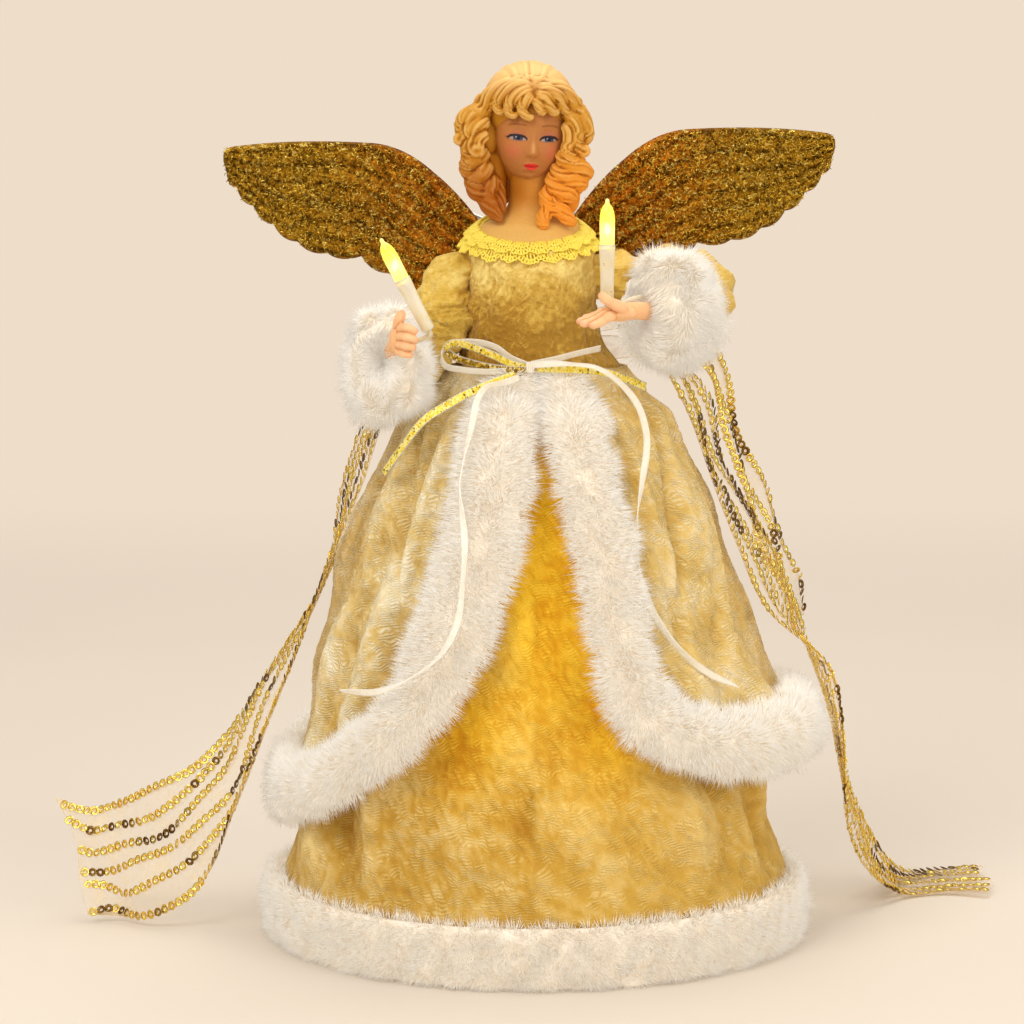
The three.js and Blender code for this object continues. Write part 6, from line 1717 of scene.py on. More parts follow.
FRINGE: tuple[Lock, ...] = (
    ((0.8, -12.8, 97.4, 1.4), (-4, -13, 97.2, 2.2), (-8.6, -11.8, 94.6, 2.4), (-11, -10.6, 91.2, 2.1),
     (-10.2, -11.4, 88.8, 1.5), (-8.4, -12.2, 89.4, 0.9)),
    ((0.9, -13.8, 96, 1.3), (-3.4, -14.2, 94.8, 2.1), (-6.6, -13.6, 91.8, 2.2), (-7.2, -13.4, 88.8, 1.8),
     (-5.4, -14, 87.4, 1.4), (-4.2, -14.2, 88.6, 0.8)),
    ((1.2, -14.2, 94.4, 1.2), (-1.4, -14.8, 92.8, 1.9), (-2.8, -14.8, 90.2, 1.9), (-1.8, -14.9, 87.8, 1.6),
     (0.2, -14.9, 86.8, 1.3), (1.2, -14.8, 88, 0.8)),
    ((2.2, -13, 97.2, 1.4), (6.4, -12.4, 96, 2.2), (9.6, -11, 93, 2.4), (11.2, -10.2, 90, 2.1),
     (12.8, -9.2, 88.6, 1.5), (13.6, -8.8, 90, 0.9)),
    ((2, -14, 95.4, 1.3), (4.8, -14, 93.4, 2.1), (6.4, -13.6, 90.6, 2.1), (8.2, -12.8, 88.6, 1.6),
     (9.8, -12, 89.4, 0.9)),
    ((1.6, -14.4, 93.4, 1.2), (2.8, -14.8, 91, 1.7), (3.8, -14.8, 88.8, 1.5), (5.4, -14.4, 88, 0.8)),
    ((-3, -11.6, 98, 1.4), (-8.6, -10.4, 97, 2.3), (-13, -8.6, 93.6, 2.6), (-15.4, -7.4, 90.2, 2.4),
     (-18.2, -6.4, 89, 1.8)),
    ((5, -11.4, 98, 1.4), (10.2, -9.8, 96.4, 2.3), (13.6, -8, 92.8, 2.5), (15.4, -6.8, 88.8, 2.3),
     (17.2, -6, 86.6, 1.6)),
)

LEFT_LOCKS: tuple[Lock, ...] = (
    ((-13, -6.5, 89.1, 2.4), (-18.6, -6.5, 87.8, 3.6), (-22, -6, 84.8, 3.8), (-22, -6, 81.4, 3),
     (-19.5, -6.5, 80.1, 1.8)),
    ((-13.4, -8, 85.9, 1.8), (-16.5, -8.6, 84.8, 2.9), (-20.3, -8, 82.2, 3.1), (-21.6, -7.4, 78.8, 2.5),
     (-23.8, -7, 77, 1.5)),
    ((-14.2, -8.2, 81.4, 1.7), (-15.6, -9, 80.9, 2.5), (-18.6, -8.6, 78.8, 2.9), (-20.3, -7.6, 74.9, 2.8),
     (-18.6, -8, 72.7, 1.8)),
    ((-14.4, -6.6, 76.2, 1.9), (-16.5, -7.4, 74, 3.1), (-20.3, -7, 71.4, 3.5), (-20.3, -7, 68.8, 3.2),
     (-17.6, -7.4, 67.4, 1.8)),
    ((-13.2, -6.2, 71.8, 2), (-15.6, -7, 68.8, 3.2), (-18.4, -6.8, 65.4, 3.7), (-17.5, -7, 61.9, 3.3),
     (-14.1, -7.4, 59.3, 1.9)),
    ((-11.8, -5.6, 67.5, 2), (-13.4, -6.6, 63.6, 3), (-14.6, -7, 60.2, 3.3), (-13, -8, 56.3, 3.1),
     (-10.9, -9.4, 53.7, 2.3), (-9.4, -10.6, 51.5, 0.9)),
    ((-11.4, -4.2, 66.6, 1.7), (-11.4, -5, 62.3, 2.4), (-10.6, -6.2, 58, 2.4), (-9.6, -8.2, 54.1, 1.2)),
)

RIGHT_LOCKS: tuple[Lock, ...] = (
    ((13.2, -6, 91.7, 2.3), (16.6, -5.6, 88.3, 2.9), (18.7, -5.4, 84, 2.9), (19.2, -5.4, 80.5, 2.5),
     (17.5, -6, 77.7, 1.5)),
    ((11.9, -8.2, 89.1, 1.9), (14.5, -8, 85.7, 2.4), (15.7, -7.8, 81.8, 2.5), (15.7, -7.8, 77.9, 2.5),
     (17.9, -7, 74, 1.6)),
    ((11.2, -9, 85.2, 1.4), (12.9, -9.2, 81.8, 1.9), (13.2, -9.4, 78.3, 2.1), (12.5, -9.4, 75.3, 2.1),
     (14.5, -9, 72.7, 2.1), (17, -8.2, 73.1, 1.3)),
    ((10.4, -7.4, 76.2, 1.7), (11.4, -8.4, 73.1, 2.3), (14.5, -8.8, 71, 2.7), (17.9, -8.2, 69.2, 2.7),
     (20.9, -7.2, 66.2, 1.5)),
    ((9.3, -6.6, 71.8, 1.6), (9.5, -8, 68.8, 2.3), (12.3, -8.8, 66.6, 2.8), (15.7, -8.6, 65.4, 2.8),
     (19.6, -7.6, 63.2, 1.5)),
    ((7.8, -6, 68.4, 1.5), (7.8, -8, 65.4, 2.3), (10.2, -9.2, 62.8, 2.7), (13.2, -9.4, 61, 2.7),
     (15.7, -9, 58.4, 1.4)),
    ((6.6, -6.4, 63.6, 1.6), (5.6, -8.6, 59.9, 2.2), (7.4, -10, 56.4, 2.3), (10.6, -10.6, 54.5, 1.2)),
    ((9.3, -8.4, 60.2, 1.6), (9.1, -9.8, 57.1, 2.2), (11.4, -10.6, 54.5, 2.3), (14, -10.8, 52, 2.1),
     (15.7, -10.8, 50.4, 1)),
    ((6.3, -9.4, 56.4, 1.6), (4.6, -11.2, 53.4, 2.1), (4.3, -12.2, 51.2, 1.9), (6.7, -12.2, 50.4, 0.9)),
)


@dataclass
class Hair:
    """Moulded hair: a combed crown behind a row of waves, a hooked fringe, and locks down both sides and the back."""

    voxel: float = 0.41
    swell: float = 1.2
    combed: list[Points] = field(default_factory=list)
    random: np.random.Generator = field(default_factory=lambda: np.random.default_rng(9))

    def lock(self, shell: Shell, rows: Lock) -> None:
        """Adds a thick lock through places with their radii, and keeps how its strands are combed."""
        *points, radii = np.array(rows, float).T
        line = Route(joined(*points)).even(46)
        share = evenly(len(line))
        ends = np.sqrt(np.clip(np.minimum(share / 0.09, (1 - share) / 0.07), 0.02, 1))
        radius = np.interp(share, evenly(len(radii)), radii) * ends * self.swell
        shell.tube(line, radius, 24, 0.85)
        side, normal = frames_along(line, np.array([0.1, -0.3, 1.0]))
        turn = 2.4 * share + self.random.uniform(0, 6)
        self.combed.append(np.column_stack([line, side, normal, radius, turn]))

    def curl(self, shell: Shell, centre: Sequence[float], size: float, radius: float, turn: float, side: int) -> None:
        """Adds a curl that winds into its own middle."""
        t = evenly(40)
        angle = turn + side * TAU * 1.15 * t
        reach = size * (1 - 0.7 * t)
        line = joined(centre[0] + reach * np.cos(angle), centre[1] - 0.9 * t, centre[2] + reach * np.sin(angle))
        shell.tube(line, radius * (1 - 0.3 * t), 14)

    def crown(self, shell: Shell) -> None:
        """Adds the crown, the fullness at the back and sides and the waves swept back over the fringe."""
        for centre, radii in (
                ((-0.4, 3, 91), (15.8, 16, 15)), ((-0.3, 5, 80), (14.5, 13, 18)), ((-16, -1.5, 80), (5.5, 6, 8)),
                ((-15, -1.5, 69), (5, 5, 8.5)), ((-12, -1.5, 60), (3.6, 4.6, 6.5)), ((15, -1.5, 80), (4, 6, 9)),
                ((15, -2.5, 68), (5, 5, 8)), ((12.5, -4, 60), (4.6, 4.4, 6.5)), ((0.6, -5.6, 95), (11.5, 8.4, 6.2)),
                ((-12.6, -0.5, 66), (4.5, 5, 12)), ((11, -2, 66), (4, 5, 12))):
            shell.ball(centre, radii, 30, 44)
        rope = Route((
            (-18.4, -3, 89.5), (-16.2, -5.6, 93), (-12.4, -7.6, 95.8), (-7.9, -9.2, 98), (-1, -10.2, 99.2),
            (5.1, -9.6, 98.4), (10.6, -8, 96.2), (14.8, -5.8, 92.8), (17, -3, 89.5))).even(220)
        shell.tube(rope, 2.3, 36, 1.0, 2, 0.32, 12)

    def back(self, shell: Shell) -> None:
        """Adds the locks down the back."""
        for x in np.linspace(-12, 12, 7):
            sway = 1.4 * math.cos(3 * x)
            self.lock(shell, (
                (x * 0.3, 9.5, 103.4, 1.2), (x * 0.7, 14.8, 97, 2.6), (x + sway, 17.2, 88, 3.6),
                (x * 1.1 - sway, 16.8, 77, 3.8), (x * 1.05 + sway, 15.2, 66, 3.4), (x, 13.8, 57, 1.8)))

    def strands(self, made: Piece) -> None:
        """Combs fine grooves along every lock and into the crown, where they fan from the parting."""
        p = points_of(made)
        lines = np.vstack(self.combed)
        tree = KDTree(len(lines))
        for k, row in enumerate(lines):
            tree.insert(row[:3], k)
        tree.balance()
        near = lines[[tree.find(q)[1] for q in p]]
        off = p - near[:, :3]
        around = np.arctan2((off * near[:, 6:9]).sum(1), (off * near[:, 3:6]).sum(1)) + near[:, 10]
        close = ease(near[:, 9] * 1.5 - np.linalg.norm(off, axis=1), 0, 0.8) * np.minimum(near[:, 9] / 2.6, 1)
        depth = close * (0.2 * np.sin(6 * around) + 0.15 * np.sin(10 * around + 1.3))
        fan = np.arctan2(p[:, 0] - 0.6, p[:, 1] + 26)
        depth += ease(p[:, 2], 99, 102) * (0.12 * np.sin(38 * fan) + 0.1 * np.sin(61 * fan + 1))
        behind = np.arctan2(p[:, 0], p[:, 1] - 3)
        depth += ease(p[:, 1], 0, 6) * ease(p[:, 2], 80, 88) * (1 - close) * 0.16 * np.sin(34 * behind)
        put_points(made, p + points_of(made, "normal") * depth[:, None])

    def build(self) -> None:
        """Makes the hair as one moulded skin and paints it with painted light and shade."""
        shell = Shell()
        self.crown(shell)
        self.back(shell)
        for rows in (*FRINGE, *LEFT_LOCKS, *RIGHT_LOCKS):
            self.lock(shell, rows)
        self.curl(shell, (-23.6, -8.2, 79.4), 1.8, 1.3, 0.4, 1)
        self.curl(shell, (-18.2, -11.0, 75.9), 2.0, 1.3, 1.2, -1)
        self.curl(shell, (18.2, -8.4, 75.4), 1.7, 1.2, 2.2, -1)
        made = shell.object("hair_moulded")
        modified(made, "REMESH", mode="VOXEL", voxel_size=self.voxel * MM, use_smooth_shade=True)
        modified(made, "SMOOTH", factor=0.5, iterations=9)
        self.strands(made)
        x, _, z = points_of(made).T
        hollow = np.clip(cavity(made), -1, 1)
        low = 1 - ease(z, 58, 84)
        # Painted light on the crown and on the lower right locks, painted shade on the lower left locks.
        paint = layered(np.array((0.53, 0.24, 0.02)), ((0.8, 0.51, 0.2), ease(z, 92, 103)),
                        ((0.34, 0.085, 0.001), low * ease(-x, -2, 6)),
                        ((0.74, 0.25, 0.016), low * ease(x, -2, 6)))
        # Painted shade in the grooves.
        paint = paint * (1 - ease(-hollow, 0.05, 0.8)[:, None] * np.array((0.45, 0.6, 0.75)))
        # Painted highlights on the raised strands.
        set_colours(made, layered(paint, (
            (0.92, 0.66, 0.26), ease(hollow, 0.1, 0.9) * 0.35 * (1 - 0.75 * low))))
        move(made, FIGURE)
        dress(made, HAIR, "hair")


def cavity(piece: Piece, rounds: int = 3) -> Points:
    """How far each point stands out of (1) or sinks into (-1) its surroundings."""
    mesh = piece.data
    p = points_of(piece)
    edges = np.zeros(len(mesh.edges) * 2, int)
    mesh.edges.foreach_get("vertices", edges)
    a, b = edges.reshape(-1, 2).T
    count = np.bincount(a, minlength=len(p)) + np.bincount(b, minlength=len(p))
    mean = p.copy()
    for _ in range(rounds * 4):
        mean = np.stack([np.bincount(a, mean[b, k], len(p)) + np.bincount(b, mean[a, k], len(p)) for k in range(3)],
                        axis=1) / np.maximum(count, 1)[:, None]
    rise = ((p - mean) * points_of(piece, "normal")).sum(1)
    return rise / max(np.percentile(np.abs(rise), 92), 1e-6)


# Arms and lamps


@dataclass
class Candle:
    """Lamp holder in the hand and its lit lamp, standing on a foot along an axis."""

    foot: Place
    axis: Place
    sides: int = 36

    def direction(self) -> Points:
        """The candle's axis, one long."""
        return unit(np.array(self.axis, float))

    def turned(self, profile: Sequence[tuple[float, float]]) -> tuple[Points, list[list[int]]]:
        """Points and faces of a turned solid on the candle's axis, from pairs of radius and height."""
        z = self.direction()
        x = unit(np.cross([0.0, 1.0, 0.0], z))
        around = circle(self.sides)[:, None]
        spokes = np.cos(around) * x + np.sin(around) * np.cross(z, x)
        rings = [np.array(self.foot) + z * h + r * spokes for r, h in profile]
        return np.vstack(rings) + FIGURE, tube_faces(len(profile), self.sides)

    def build(self, side: str, body: Body) -> None:
        """Makes the holder and the lamp round its hot core."""
        husk = self.turned((
            (1.2, 0.0), (1.9, 0.0), (2.2, 0.4), (2.25, 8.0), (2.4, 12.0), (2.55, 15.0), (2.7, 18.3), (2.68, 18.8),
            (2.5, 19.0), (2.45, 18.0), (2.0, 17.4)))
        dress(solid(f"{side}_holder_husk", *husk), HUSK, f"{side}_lamp_holder", body=body)
        base, glass = 17.5, 16.5
        outline = curve_through((
            (0.0, 2.4), (0.3, 2.48), (0.56, 2.52), (0.68, 2.38), (0.76, 2.1), (0.82, 1.72), (0.86, 1.3), (0.89, 0.9),
            (0.915, 0.68), (0.96, 0.64), (0.985, 0.5), (1.0, 0.12)))
        share = np.concatenate([np.linspace(0, 0.7, 26), np.linspace(0.72, 1.0, 26)])
        shell = Shell()
        shell.add(*self.turned(list(zip(outline(share), base + glass * share))))
        shell.ball(np.array(self.foot) + FIGURE + self.direction() * (base + 0.4 * glass), (1.0, 1.0, 2.0))
        lamp = shell.object(f"{side}_lamp_glow")
        core = len(lamp.data.vertices) - len(share) * self.sides
        set_numbers(lamp, "rise", np.concatenate([np.repeat(share, self.sides), np.full(core, 1.5)]))
        dress(lamp, LAMP, f"{side}_lamp", body=body)


@dataclass
class Arm:
    """Puffed sleeve, fur cuff and moulded hand with its candle."""

    side: str
    body: Body
    sleeve_route: Path
    sleeve_radii: Sequence[float]
    cuff_centre: Place
    cuff_axis: Place
    cuff_width: float
    cuff_height: float
    wrist: Path
    palm: Place
    palm_size: Place
    fingers: Sequence[Path]
    thumb: Path
    candle: Candle
    lead: Path
    seed: int
    voxel: float = 0.3

    def sleeve(self) -> None:
        """Velvet sleeve with gathers at both ends."""
        steps, sides = 84, 96
        line = Route(self.sleeve_route).even(steps)
        share = evenly(steps)
        radii = curve_through(list(zip(evenly(len(self.sleeve_radii)), self.sleeve_radii)))(share)
        side, normal = frames_along(line, np.array([0.1, 0.25, 0.97]))
        around = circle(sides)
        spoke = side[:, None] * np.cos(around)[None, :, None] + normal[:, None] * np.sin(around)[None, :, None]
        bare = (line[:, None] + spoke * radii[:, None, None]).reshape(-1, 3)
        flat_angle = np.tile(around, steps)
        crush = Gown.crushed(joined(bare[:, 0], bare[:, 1], np.repeat(share * 60, sides)), flat_angle * 0.14,
                             self.seed, 0.6)
        ends = np.repeat(np.exp(-share / 0.16) + np.exp(-(1 - share) / 0.2), sides)
        folds = 0.85 * np.cos(9 * flat_angle + 2.0 * np.repeat(share, sides)) + 0.5 * np.cos(14 * flat_angle + 1)
        lift = 0.9 * ripple(bare, 13, self.seed + 3) + 0.6 * ripple(bare, 7, self.seed + 4) + 0.5 * (crush - 0.5)
        lift = lift * np.repeat(ease(share, 0, 0.15), sides) + ends * folds * 0.8
        points = bare + spoke.reshape(-1, 3) * lift[:, None]
        made = solid(f"{self.side}_sleeve_cloth", points + FIGURE, tube_faces(steps, sides))
        set_numbers(made, "crush", crush)
        dress(made, SLEEVE_VELVET, f"{self.side}_sleeve", body=self.body)

    def cuff(self, pile: Pile) -> None:
        """Deep fur cuff round the forearm."""
        rounds, turns = 72, 30
        axis = unit(np.array(self.cuff_axis, float))
        across = unit(np.cross([0.0, 0.0, 1.0], axis))
        up = np.cross(axis, across)
        ring, turn = circle(rounds)[:, None], circle(turns)[None]
        local, core = (joined(out * np.cos(ring) * self.cuff_width, out * np.sin(ring) * self.cuff_height, rise)
                       for out, rise in ((9.4 + 4.8 * np.cos(turn), 10.0 * np.sin(turn)), (9.4, 0 * turn)))
        lump = 1.0 * ripple(local, 13, self.seed + 5) + 0.8 * ripple(local, 6.5, self.seed + 6)
        outer = np.tile(ease(np.cos(turn[0]), -0.6, 0.3), rounds)
        local = local + unit(local - core) * (lump * outer)[:, None]
        points = local @ np.stack([across, up, axis]) + np.array(self.cuff_centre)
        made = solid(f"{self.side}_cuff_fur", points + FIGURE, ring_faces(rounds, turns))
        spoke = np.cos(ring)[..., None] * across + np.sin(ring)[..., None] * up
        comb = -spoke * (1.7 * ease(np.sin(turn), 0.0, 0.9))[..., None]
        pile.grow(made, per_square=1.4, length=6.4, lean=2.2, drop=0.35, wave=12, seed=self.seed,
                  comb=comb, bare=np.tile(np.cos(turn[0]) < -0.75, rounds))
        dress(made, FUR, f"{self.side}_cuff", body=self.body)

    def hand(self) -> None:
        """Moulded hand: wrist, palm, four fingers and thumb in one skin."""
        shell, palm = Shell(), np.array(self.palm)
        shell.tube(Route([*self.wrist, palm]).even(20), taper(20, (0, 0.4, 0.7, 1), (3.6, 3.1, 2.9, 3.0)), 22, 0.92)
        shell.ball(palm, self.palm_size, 18, 26)
        for finger in self.fingers:
            shell.tube(Route([np.array(finger[0]) * 0.55 + palm * 0.45, *finger]).even(24), taper(
                24, (0, 0.3, 0.48, 0.62, 0.74, 0.92, 1), (1.75, 1.75, 1.5, 1.62, 1.4, 1.25, 0.7)), 14)
        shell.tube(Route([palm * 0.6 + np.array(self.thumb[0]) * 0.4, *self.thumb]).even(22), taper(
            22, (0, 0.4, 0.6, 0.75, 0.92, 1), (2.0, 2.0, 1.7, 1.8, 1.45, 0.8)), 14)
        made = shell.object(f"{self.side}_hand_doll")
        modified(made, "REMESH", mode="VOXEL", voxel_size=self.voxel * MM, use_smooth_shade=True)
        modified(made, "SMOOTH", factor=0.5, iterations=2)
        p = points_of(made)
        hollow = np.clip(cavity(made, 2), -1, 1)
        tips = np.min([np.linalg.norm(p - np.array(f[-1]), axis=1) for f in (*self.fingers, self.thumb)], axis=0)
        # Painted shade in the creases, painted highlights on the raised parts, and pinker fingertips.
        set_colours(made, layered(
            np.array((0.8, 0.45, 0.22)), ((0.52, 0.19, 0.07), ease(-hollow, 0.1, 0.9) * 0.75),
            ((0.9, 0.6, 0.36), ease(hollow, 0.2, 0.9) * 0.5),
            ((0.78, 0.34, 0.2), ease(-tips, -2.4, -0.6) * 0.5)))
        move(made, FIGURE)
        dress(made, SKIN, f"{self.side}_hand", body=self.body)

    def wire(self) -> None:
        """Lead from the holder's foot into the cuff."""
        foot, axis = np.array(self.candle.foot), self.candle.direction()
        shell = Shell()
        shell.tube(Route([foot + axis * 0.4, foot - axis * 1.3, *self.lead]).even(40), 0.8, 12)
        made = shell.object(f"{self.side}_lead_wire")
        move(made, FIGURE)
        dress(made, HUSK, f"{self.side}_lamp_lead", body=self.body)

    def build(self, pile: Pile) -> None:
        """Makes the whole arm."""
        self.sleeve()
        self.cuff(pile)
        self.hand()
        self.candle.build(self.side, self.body)
        self.wire()


ARMS = (
    Arm("left", Body.LEFT_ARM,
        ((-21.2, 2, 33), (-24.6, -1.5, 33), (-29, -3.5, 25), (-33, -6, 13), (-40, -14, 6.5), (-45, -25, 6.8),
         (-45.6, -32, 8.4)),
        (6.8, 8.8, 10.2, 10.4, 10, 7.4, 6), (-48.2, -28.5, 4.6), (-0.06, -0.98, 0.2), 0.76, 1.12,
        ((-45.7, -32.8, 8.6), (-45.4, -37, 10), (-44.4, -41, 12.2)), (-43, -44.6, 14.4), (3.6, 4.2, 5.2),
        (((-42.4, -47.2, 18), (-40.2, -50.6, 18.6), (-37, -51.6, 17.2)),
         ((-42.6, -47.8, 15.6), (-40.2, -51.6, 15.6), (-36.8, -52, 14.6)),
         ((-42.8, -47.6, 13.2), (-40.6, -51.2, 12.8), (-37.4, -51.4, 12)),
         ((-43, -46.8, 11), (-41.2, -49.8, 10.2), (-38.6, -50, 9.6))),
        ((-43.4, -44.6, 17.6), (-43.2, -46.4, 21), (-41.8, -47.2, 24)),
        Candle((-33.4, -46.4, 17.6), (-0.462, 0, 0.887)),
        ((-36.6, -42, 14), (-40, -37.4, 11.6), (-41.2, -33, 9.4)), 101),
    Arm("right", Body.RIGHT_ARM,
        ((21.2, 3, 32.5), (26, 3, 32.4), (38, 4.5, 31.5), (51, 5, 30), (58.5, 0, 27), (55, -12, 25), (48, -23.5, 23.6),
         (43, -31, 23.4)),
        (6.8, 8.2, 10.2, 11, 11, 10, 8, 6), (47.2, -27.6, 22.4), (-0.86, -0.5, -0.03), 1.08, 1.1,
        ((42.5, -31.8, 23.4), (38.5, -37.6, 23.4), (34.4, -42.6, 23.8)), (29, -46, 23.4), (5.8, 4.6, 3),
        (((24.6, -44.2, 23.4), (20.4, -46, 22), (17, -47.8, 21.6)),
         ((24.2, -46.4, 23.2), (19.4, -49.2, 21.4), (15.2, -51.4, 20.8)),
         ((24.8, -48.6, 22.8), (20.2, -51.6, 20.8), (16.2, -53.6, 20)),
         ((26, -50, 22.4), (22.4, -53, 20.4), (19.4, -54.6, 19.4))),
        ((30, -49.4, 25), (25.8, -51.4, 27.4), (22.4, -51.6, 30)),
        Candle((25.2, -46.6, 26.8), (0, 0, 1)),
        ((26.8, -44.2, 25.2), (31, -41.2, 26.6), (36, -37.4, 28), (41, -32.4, 28.2)), 137),
)


# Wings


def thread_shape() -> Piece:
    """Crinkled sliver of metal thread one unit long, standing on Z."""
    x = np.array([-0.5, -0.18, 0.16, 0.5])
    y = np.array([0.0, 0.12, -0.1, 0.06])
    z = np.array([0.0, 0.16, 0.06, 0.12])
    shell = Shell()
    shell.tube(joined(x, y, z), (0.05, 0.075, 0.075, 0.04), 3)
    return shell.object("thread")


@dataclass
class Wing:
    """Felt wing under tinsel threads, with moulded feathers."""

    side: int
    body: Body
    node: str
    placed: Placed
    hinge: tuple[float, float] = (11.0, 25.55)
    sweep: float = 6.0
    raised: float = 0.0
    front_lift: float = 1.125
    back_lift: float = 0.9
    feather_rise: float = 0.9
    rim_width: float = 2.2
    threads: int = 6800

    @staticmethod
    def edge(first: tuple[float, float], bends: Sequence[tuple[tuple[float, float], tuple[float, float]]]) -> Points:
        """Points along quadratic bends from a first point."""
        points, at = [np.array([first])], np.array(first)
        t = evenly(24)[1:, None]
        for control, end in bends:
            points.append((1 - t) ** 2 * at + 2 * t * (1 - t) * np.array(control) + t * t * np.array(end))
            at = np.array(end)
        return np.vstack(points)

    def outline(self) -> tuple[Points, Points]:
        """Upper and lower edges from the root to the tip."""
        top = self.edge((15, 49), (
            ((24, 62), (33, 69)), ((44, 79), (56, 79.5)), ((84, 81), (105, 78)), ((107.6, 76.8), (107.7, 75))))
        tips = ((106.5, 69.5), (103, 64), (97, 57.5), (90, 51), (81.5, 45), (71, 41), (59, 40), (49, 34), (37, 28))
        bends = [((108, 72.4), tips[0])]
        bends += [((0.5 * (a[0] + b[0]) + 1.6, 0.5 * (a[1] + b[1]) - 3), b) for a, b in zip(tips, tips[1:])]
        low = self.edge((107.7, 75), [*bends, ((24, 24), (15, 33))])
        return top, low[::-1]

    def swept(self, x: Points, z: Points, lift: Points) -> Points:
        """World points of the panel, by place on it and lift towards the front."""
        a = math.radians(self.sweep)
        reach = x - self.hinge[0]
        return np.stack([self.side * (self.hinge[0] + reach * math.cos(a) + lift * math.sin(a)),
                         self.hinge[1] + reach * math.sin(a) - lift * math.cos(a), z + self.raised], axis=-1) + FIGURE

    @staticmethod
    def feathers(x: Points, share: Points) -> Points:
        """Relief of the feather layers, from 0 in the grooves to 1."""
        spread = ease(x, 15, 60)
        line = (6.5 * share**0.85 + 0.05 * (1 - spread) * x * 0.2 + 0.35 * np.sin(x * 0.07))
        groove = np.abs(np.sin(math.pi * line)) ** 0.45
        barbs = 0.5 + 0.5 * np.sin(x * 0.9 + line * 5)
        return groove * 0.85 + 0.15 * barbs

    def build(self, thread: Piece) -> None:
        """Makes the panel and strews it with threads."""
        columns, rows = 200, 64
        top, low = self.outline()
        xs = np.concatenate([np.linspace(15, 102, 168, endpoint=False), np.linspace(102, 107.68, 32)])
        deep = np.interp(xs, *low.T)
        tall = np.interp(xs, *top.T) - deep
        x, s = np.repeat(xs, rows), np.tile(evenly(rows), columns)
        z = np.repeat(deep, rows) + np.repeat(tall, rows) * s
        relief = self.feathers(x, s)
        rim = np.clip(np.minimum(s, 1 - s) * np.repeat(tall, rows) / self.rim_width, 0, 1) ** 0.5
        rim = rim * np.clip((107.7 - x) / self.rim_width, 0, 1) ** 0.5 * np.clip((x - 14.6) / 1.5, 0, 1) ** 0.5
        flat = joined(x, z)
        rough = 0.35 * ripple(flat, 2.4, 61) + 0.25 * ripple(flat, 1.3, 62)
        front = self.swept(x, z, rim * (self.front_lift + self.feather_rise * relief + rough))
        back = self.swept(x, z, -rim * (self.back_lift + 0.15 * rough))
        faces = grid_faces(columns, rows).tolist()
        n = columns * rows
        faces += [[n + i for i in f[::-1]] for f in grid_faces(columns, rows).tolist()]
        made = mesh_object(f"{self.node}_felt", np.vstack([front, back]), faces)
        set_numbers(made, "shade", np.concatenate([relief * (0.5 + 0.5 * rim), 0.35 + 0 * relief]))
        face_outwards(made, 0.02 * MM)
        dress(made, TINSEL, self.node, body=self.body)
        self.strew(thread, xs, deep, tall)

    def strew(self, thread: Piece, xs: Points, deep: Points, tall: Points) -> None:
        """Metal threads stuck flat on both faces."""
        random = np.random.default_rng(200 + self.side)
        x = random.uniform(15.5, 106.6, self.threads * 2)
        keep = random.uniform(0, 50, len(x)) < np.interp(x, xs, tall)
        x = x[keep][:self.threads]
        s = random.uniform(0.03, 0.97, len(x))
        z = np.interp(x, xs, deep) + np.interp(x, xs, tall) * s
        face = np.where(random.uniform(0, 1, len(x)) < 0.62, 1.0, -1.0)
        lift = np.where(face > 0, self.front_lift + self.feather_rise * self.feathers(x, s), -self.back_lift)
        places = self.swept(x, z, lift)
        turn = random.uniform(0, TAU, len(x))
        along = self.swept(x + 0.4 * np.cos(turn), z + 0.4 * np.sin(turn), lift) - places
        out = (self.swept(x, z, lift + face) - places) + random.normal(0, 0.22, places.shape)
        sizes = random.uniform(1.0, 2.6, (len(x), 1)) * np.ones((1, 3))
        made = self.placed.fill(f"{self.node}_threads", thread, THREADS, places, axes_from(out, along), sizes,
                                random.uniform(0, 1, len(x)))
        dress(made, THREADS, self.node, body=self.body)


# Stage


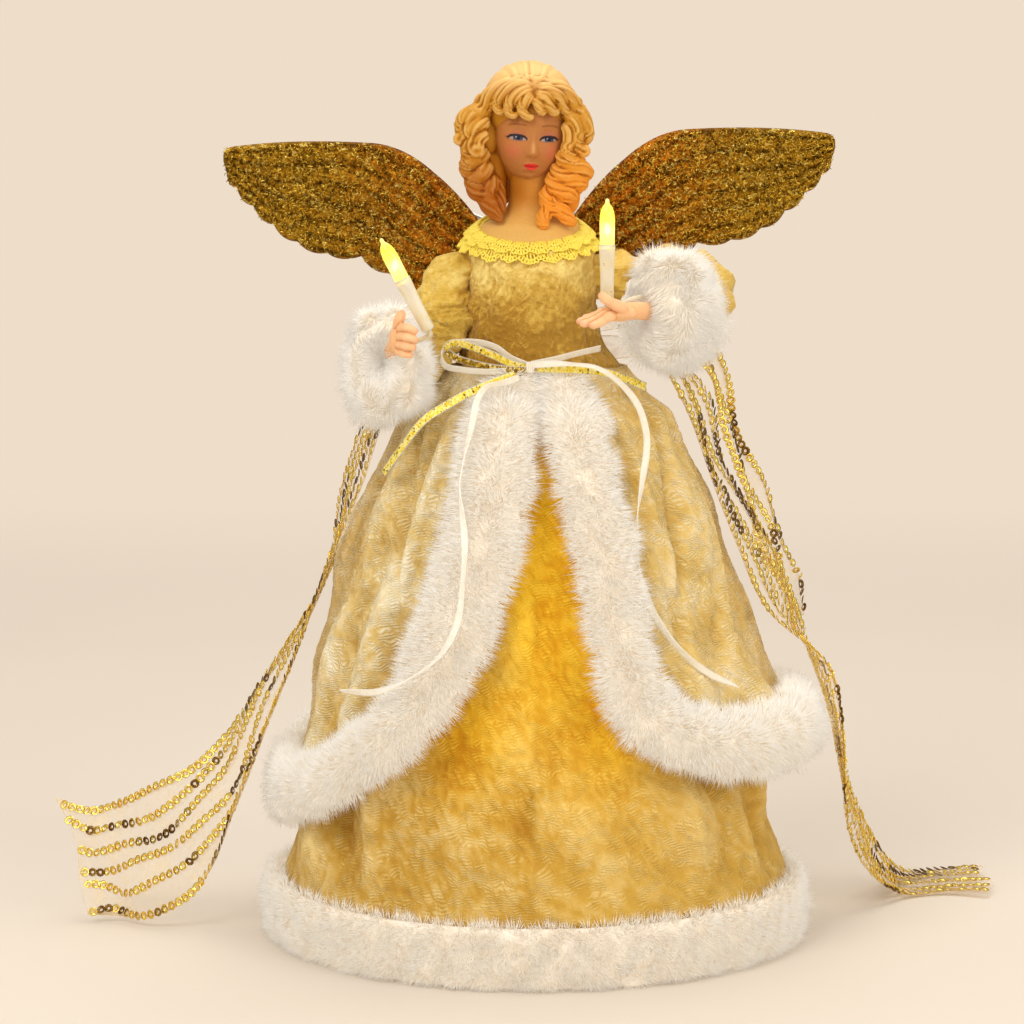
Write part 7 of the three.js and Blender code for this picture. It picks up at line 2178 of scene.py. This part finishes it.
@dataclass
class Studio:
    """Floor, backdrop, light and the photograph's camera."""

    floor_colour: Colour = (0.76, 0.69, 0.61)
    backdrop_colour: Colour = (0.855, 0.725, 0.585)
    eye: Place = (-8.03, -1200.0, 292.0)
    pitch: float = 6.95
    lens: float = 123.4

    def camera(self) -> None:
        """Camera at the photograph's place."""
        data = bpy.data.cameras.new("camera")
        data.lens = self.lens
        data.sensor_width = 36.0
        data.clip_start, data.clip_end = 0.05, 20.0
        made = new_object("camera", data)
        made.location = Vector(self.eye) * MM
        made.rotation_euler = (math.radians(90 - self.pitch), 0, 0)
        bpy.context.scene.camera = made

    def area(self, name: str, place: Sequence[float], size: float, power: float, colour: Colour) -> None:
        """Soft lamp aimed at the figure's middle."""
        data = bpy.data.lights.new(name, "AREA")
        data.shape = "DISK"
        data.size, data.energy, data.color = size, power, colour
        made = new_object(name, data)
        made.location = Vector(place)
        made.rotation_euler = (Vector((0, 0, 0.16)) - made.location).to_track_quat("-Z", "Y").to_euler()

    def floor(self) -> None:
        """Pale floor with a seamless rise behind."""
        profile = ((-1600, 0), (2600, 0), (3000, 30), (3300, 130), (3450, 320), (3500, 600), (3500, 3600))
        points = np.array([[x, y, z] for y, z in profile for x in (-4400.0, 4400.0)])
        piece = mesh_object("floor", points, grid_faces(len(profile), 2)[:, ::-1])
        modified(piece, "SUBSURF", levels=2, render_levels=2)
        made = bpy.data.materials.new("pale_floor")
        made.use_nodes = True
        tree = Tree(made.node_tree)
        shader = made.node_tree.nodes["Principled BSDF"]
        shader.inputs["Roughness"].default_value = 0.7
        place = tree.node("ShaderNodeTexCoord", out="Object")
        cloud = tree.noise(place, 3.0, 2.0)
        colour = tree.mix(cloud.step(0.3, 0.7), self.floor_colour, tuple(c * 0.97 for c in self.floor_colour))
        made.node_tree.links.new(colour.socket, shader.inputs["Base Color"])
        far = tree.part(place, "Y").step(0.3, 1.3)
        seen = tree.node("ShaderNodeLightPath", out="Is Camera Ray")
        pale = tree.node("ShaderNodeEmission", None, {"Color": (*self.backdrop_colour, 1.0), "Strength": 1.0})
        both = tree.node("ShaderNodeMixShader", None, {0: far * seen, 2: pale})
        made.node_tree.links.new(shader.outputs[0], both.socket.node.inputs[1])
        made.node_tree.links.new(both.socket, made.node_tree.nodes["Material Output"].inputs[0])
        piece.data.materials.append(made)

    def world(self) -> None:
        """Even warm surround."""
        made = bpy.data.worlds.new("surround")
        bpy.context.scene.world = made
        made.use_nodes = True
        sky = made.node_tree.nodes["Background"]
        sky.inputs["Color"].default_value = (1.0, 0.93, 0.84, 1.0)
        sky.inputs["Strength"].default_value = 0.62

    def build(self) -> None:
        """Sets the stage."""
        bpy.context.scene.view_settings.view_transform = "Standard"
        self.camera()
        self.floor()
        self.world()
        self.area("key", (-0.7, -1.1, 1.3), 0.9, 14.0, (1.0, 0.96, 0.9))
        self.area("fill", (1.1, -0.9, 0.7), 1.1, 7.5, (1.0, 0.94, 0.86))
        self.area("top", (0.1, 0.35, 1.4), 0.8, 7.0, (1.0, 0.95, 0.88))


KEPT_SOLIDS: dict[Finish, str] = {
    TRANSLUCENT: "base_cone",
    WHITE: "hem_hoop wing_bracket battery_box battery_lid main_lead skirt_lead",
    FOAM: "torso_form battery_pad",
    STEEL: "wing_wire_left wing_wire_right contact_bridge contact_left contact_right left_arm_wire right_arm_wire",
    CELL: "cell_left cell_right switch_slider",
    HUSK: "skirt_lamp_holder_1 skirt_lamp_holder_2 skirt_lamp_holder_3",
    LAMP: "skirt_lamp_1 skirt_lamp_2 skirt_lamp_3",
}


def dress_kept_solids() -> None:
    """Gives the solids that show as they are their finishes."""
    for finish, names in KEPT_SOLIDS.items():
        for name in names.split():
            materials = NODES[name].data.materials
            materials.clear()
            materials.append(finish.material())


def main() -> None:
    """Builds the stage and each sub-assembly."""
    logging.basicConfig(level=logging.INFO, format="%(message)s")
    Studio().build()
    pile = Pile()
    placed = Placed()
    bodice = Bodice()
    Bow().build(bodice)
    sequin = sequin_shape()
    for streamer in STREAMERS:
        streamer.build(placed, sequin)
    Gown(pile).build()
    bodice.build()
    Head().build()
    Hair().build()
    for arm in ARMS:
        arm.build(pile)
    thread = thread_shape()
    for side, body, node, raised in ((-1, Body.LEFT_WING, "wing_left", -1.8), (1, Body.RIGHT_WING, "wing_right", 3.0)):
        Wing(side, body, node, placed, raised=raised).build(thread)
    pile.clear()
    for shape in (sequin, thread):
        bpy.data.objects.remove(shape)
    dress_kept_solids()


if __name__ == "__main__":
    main()
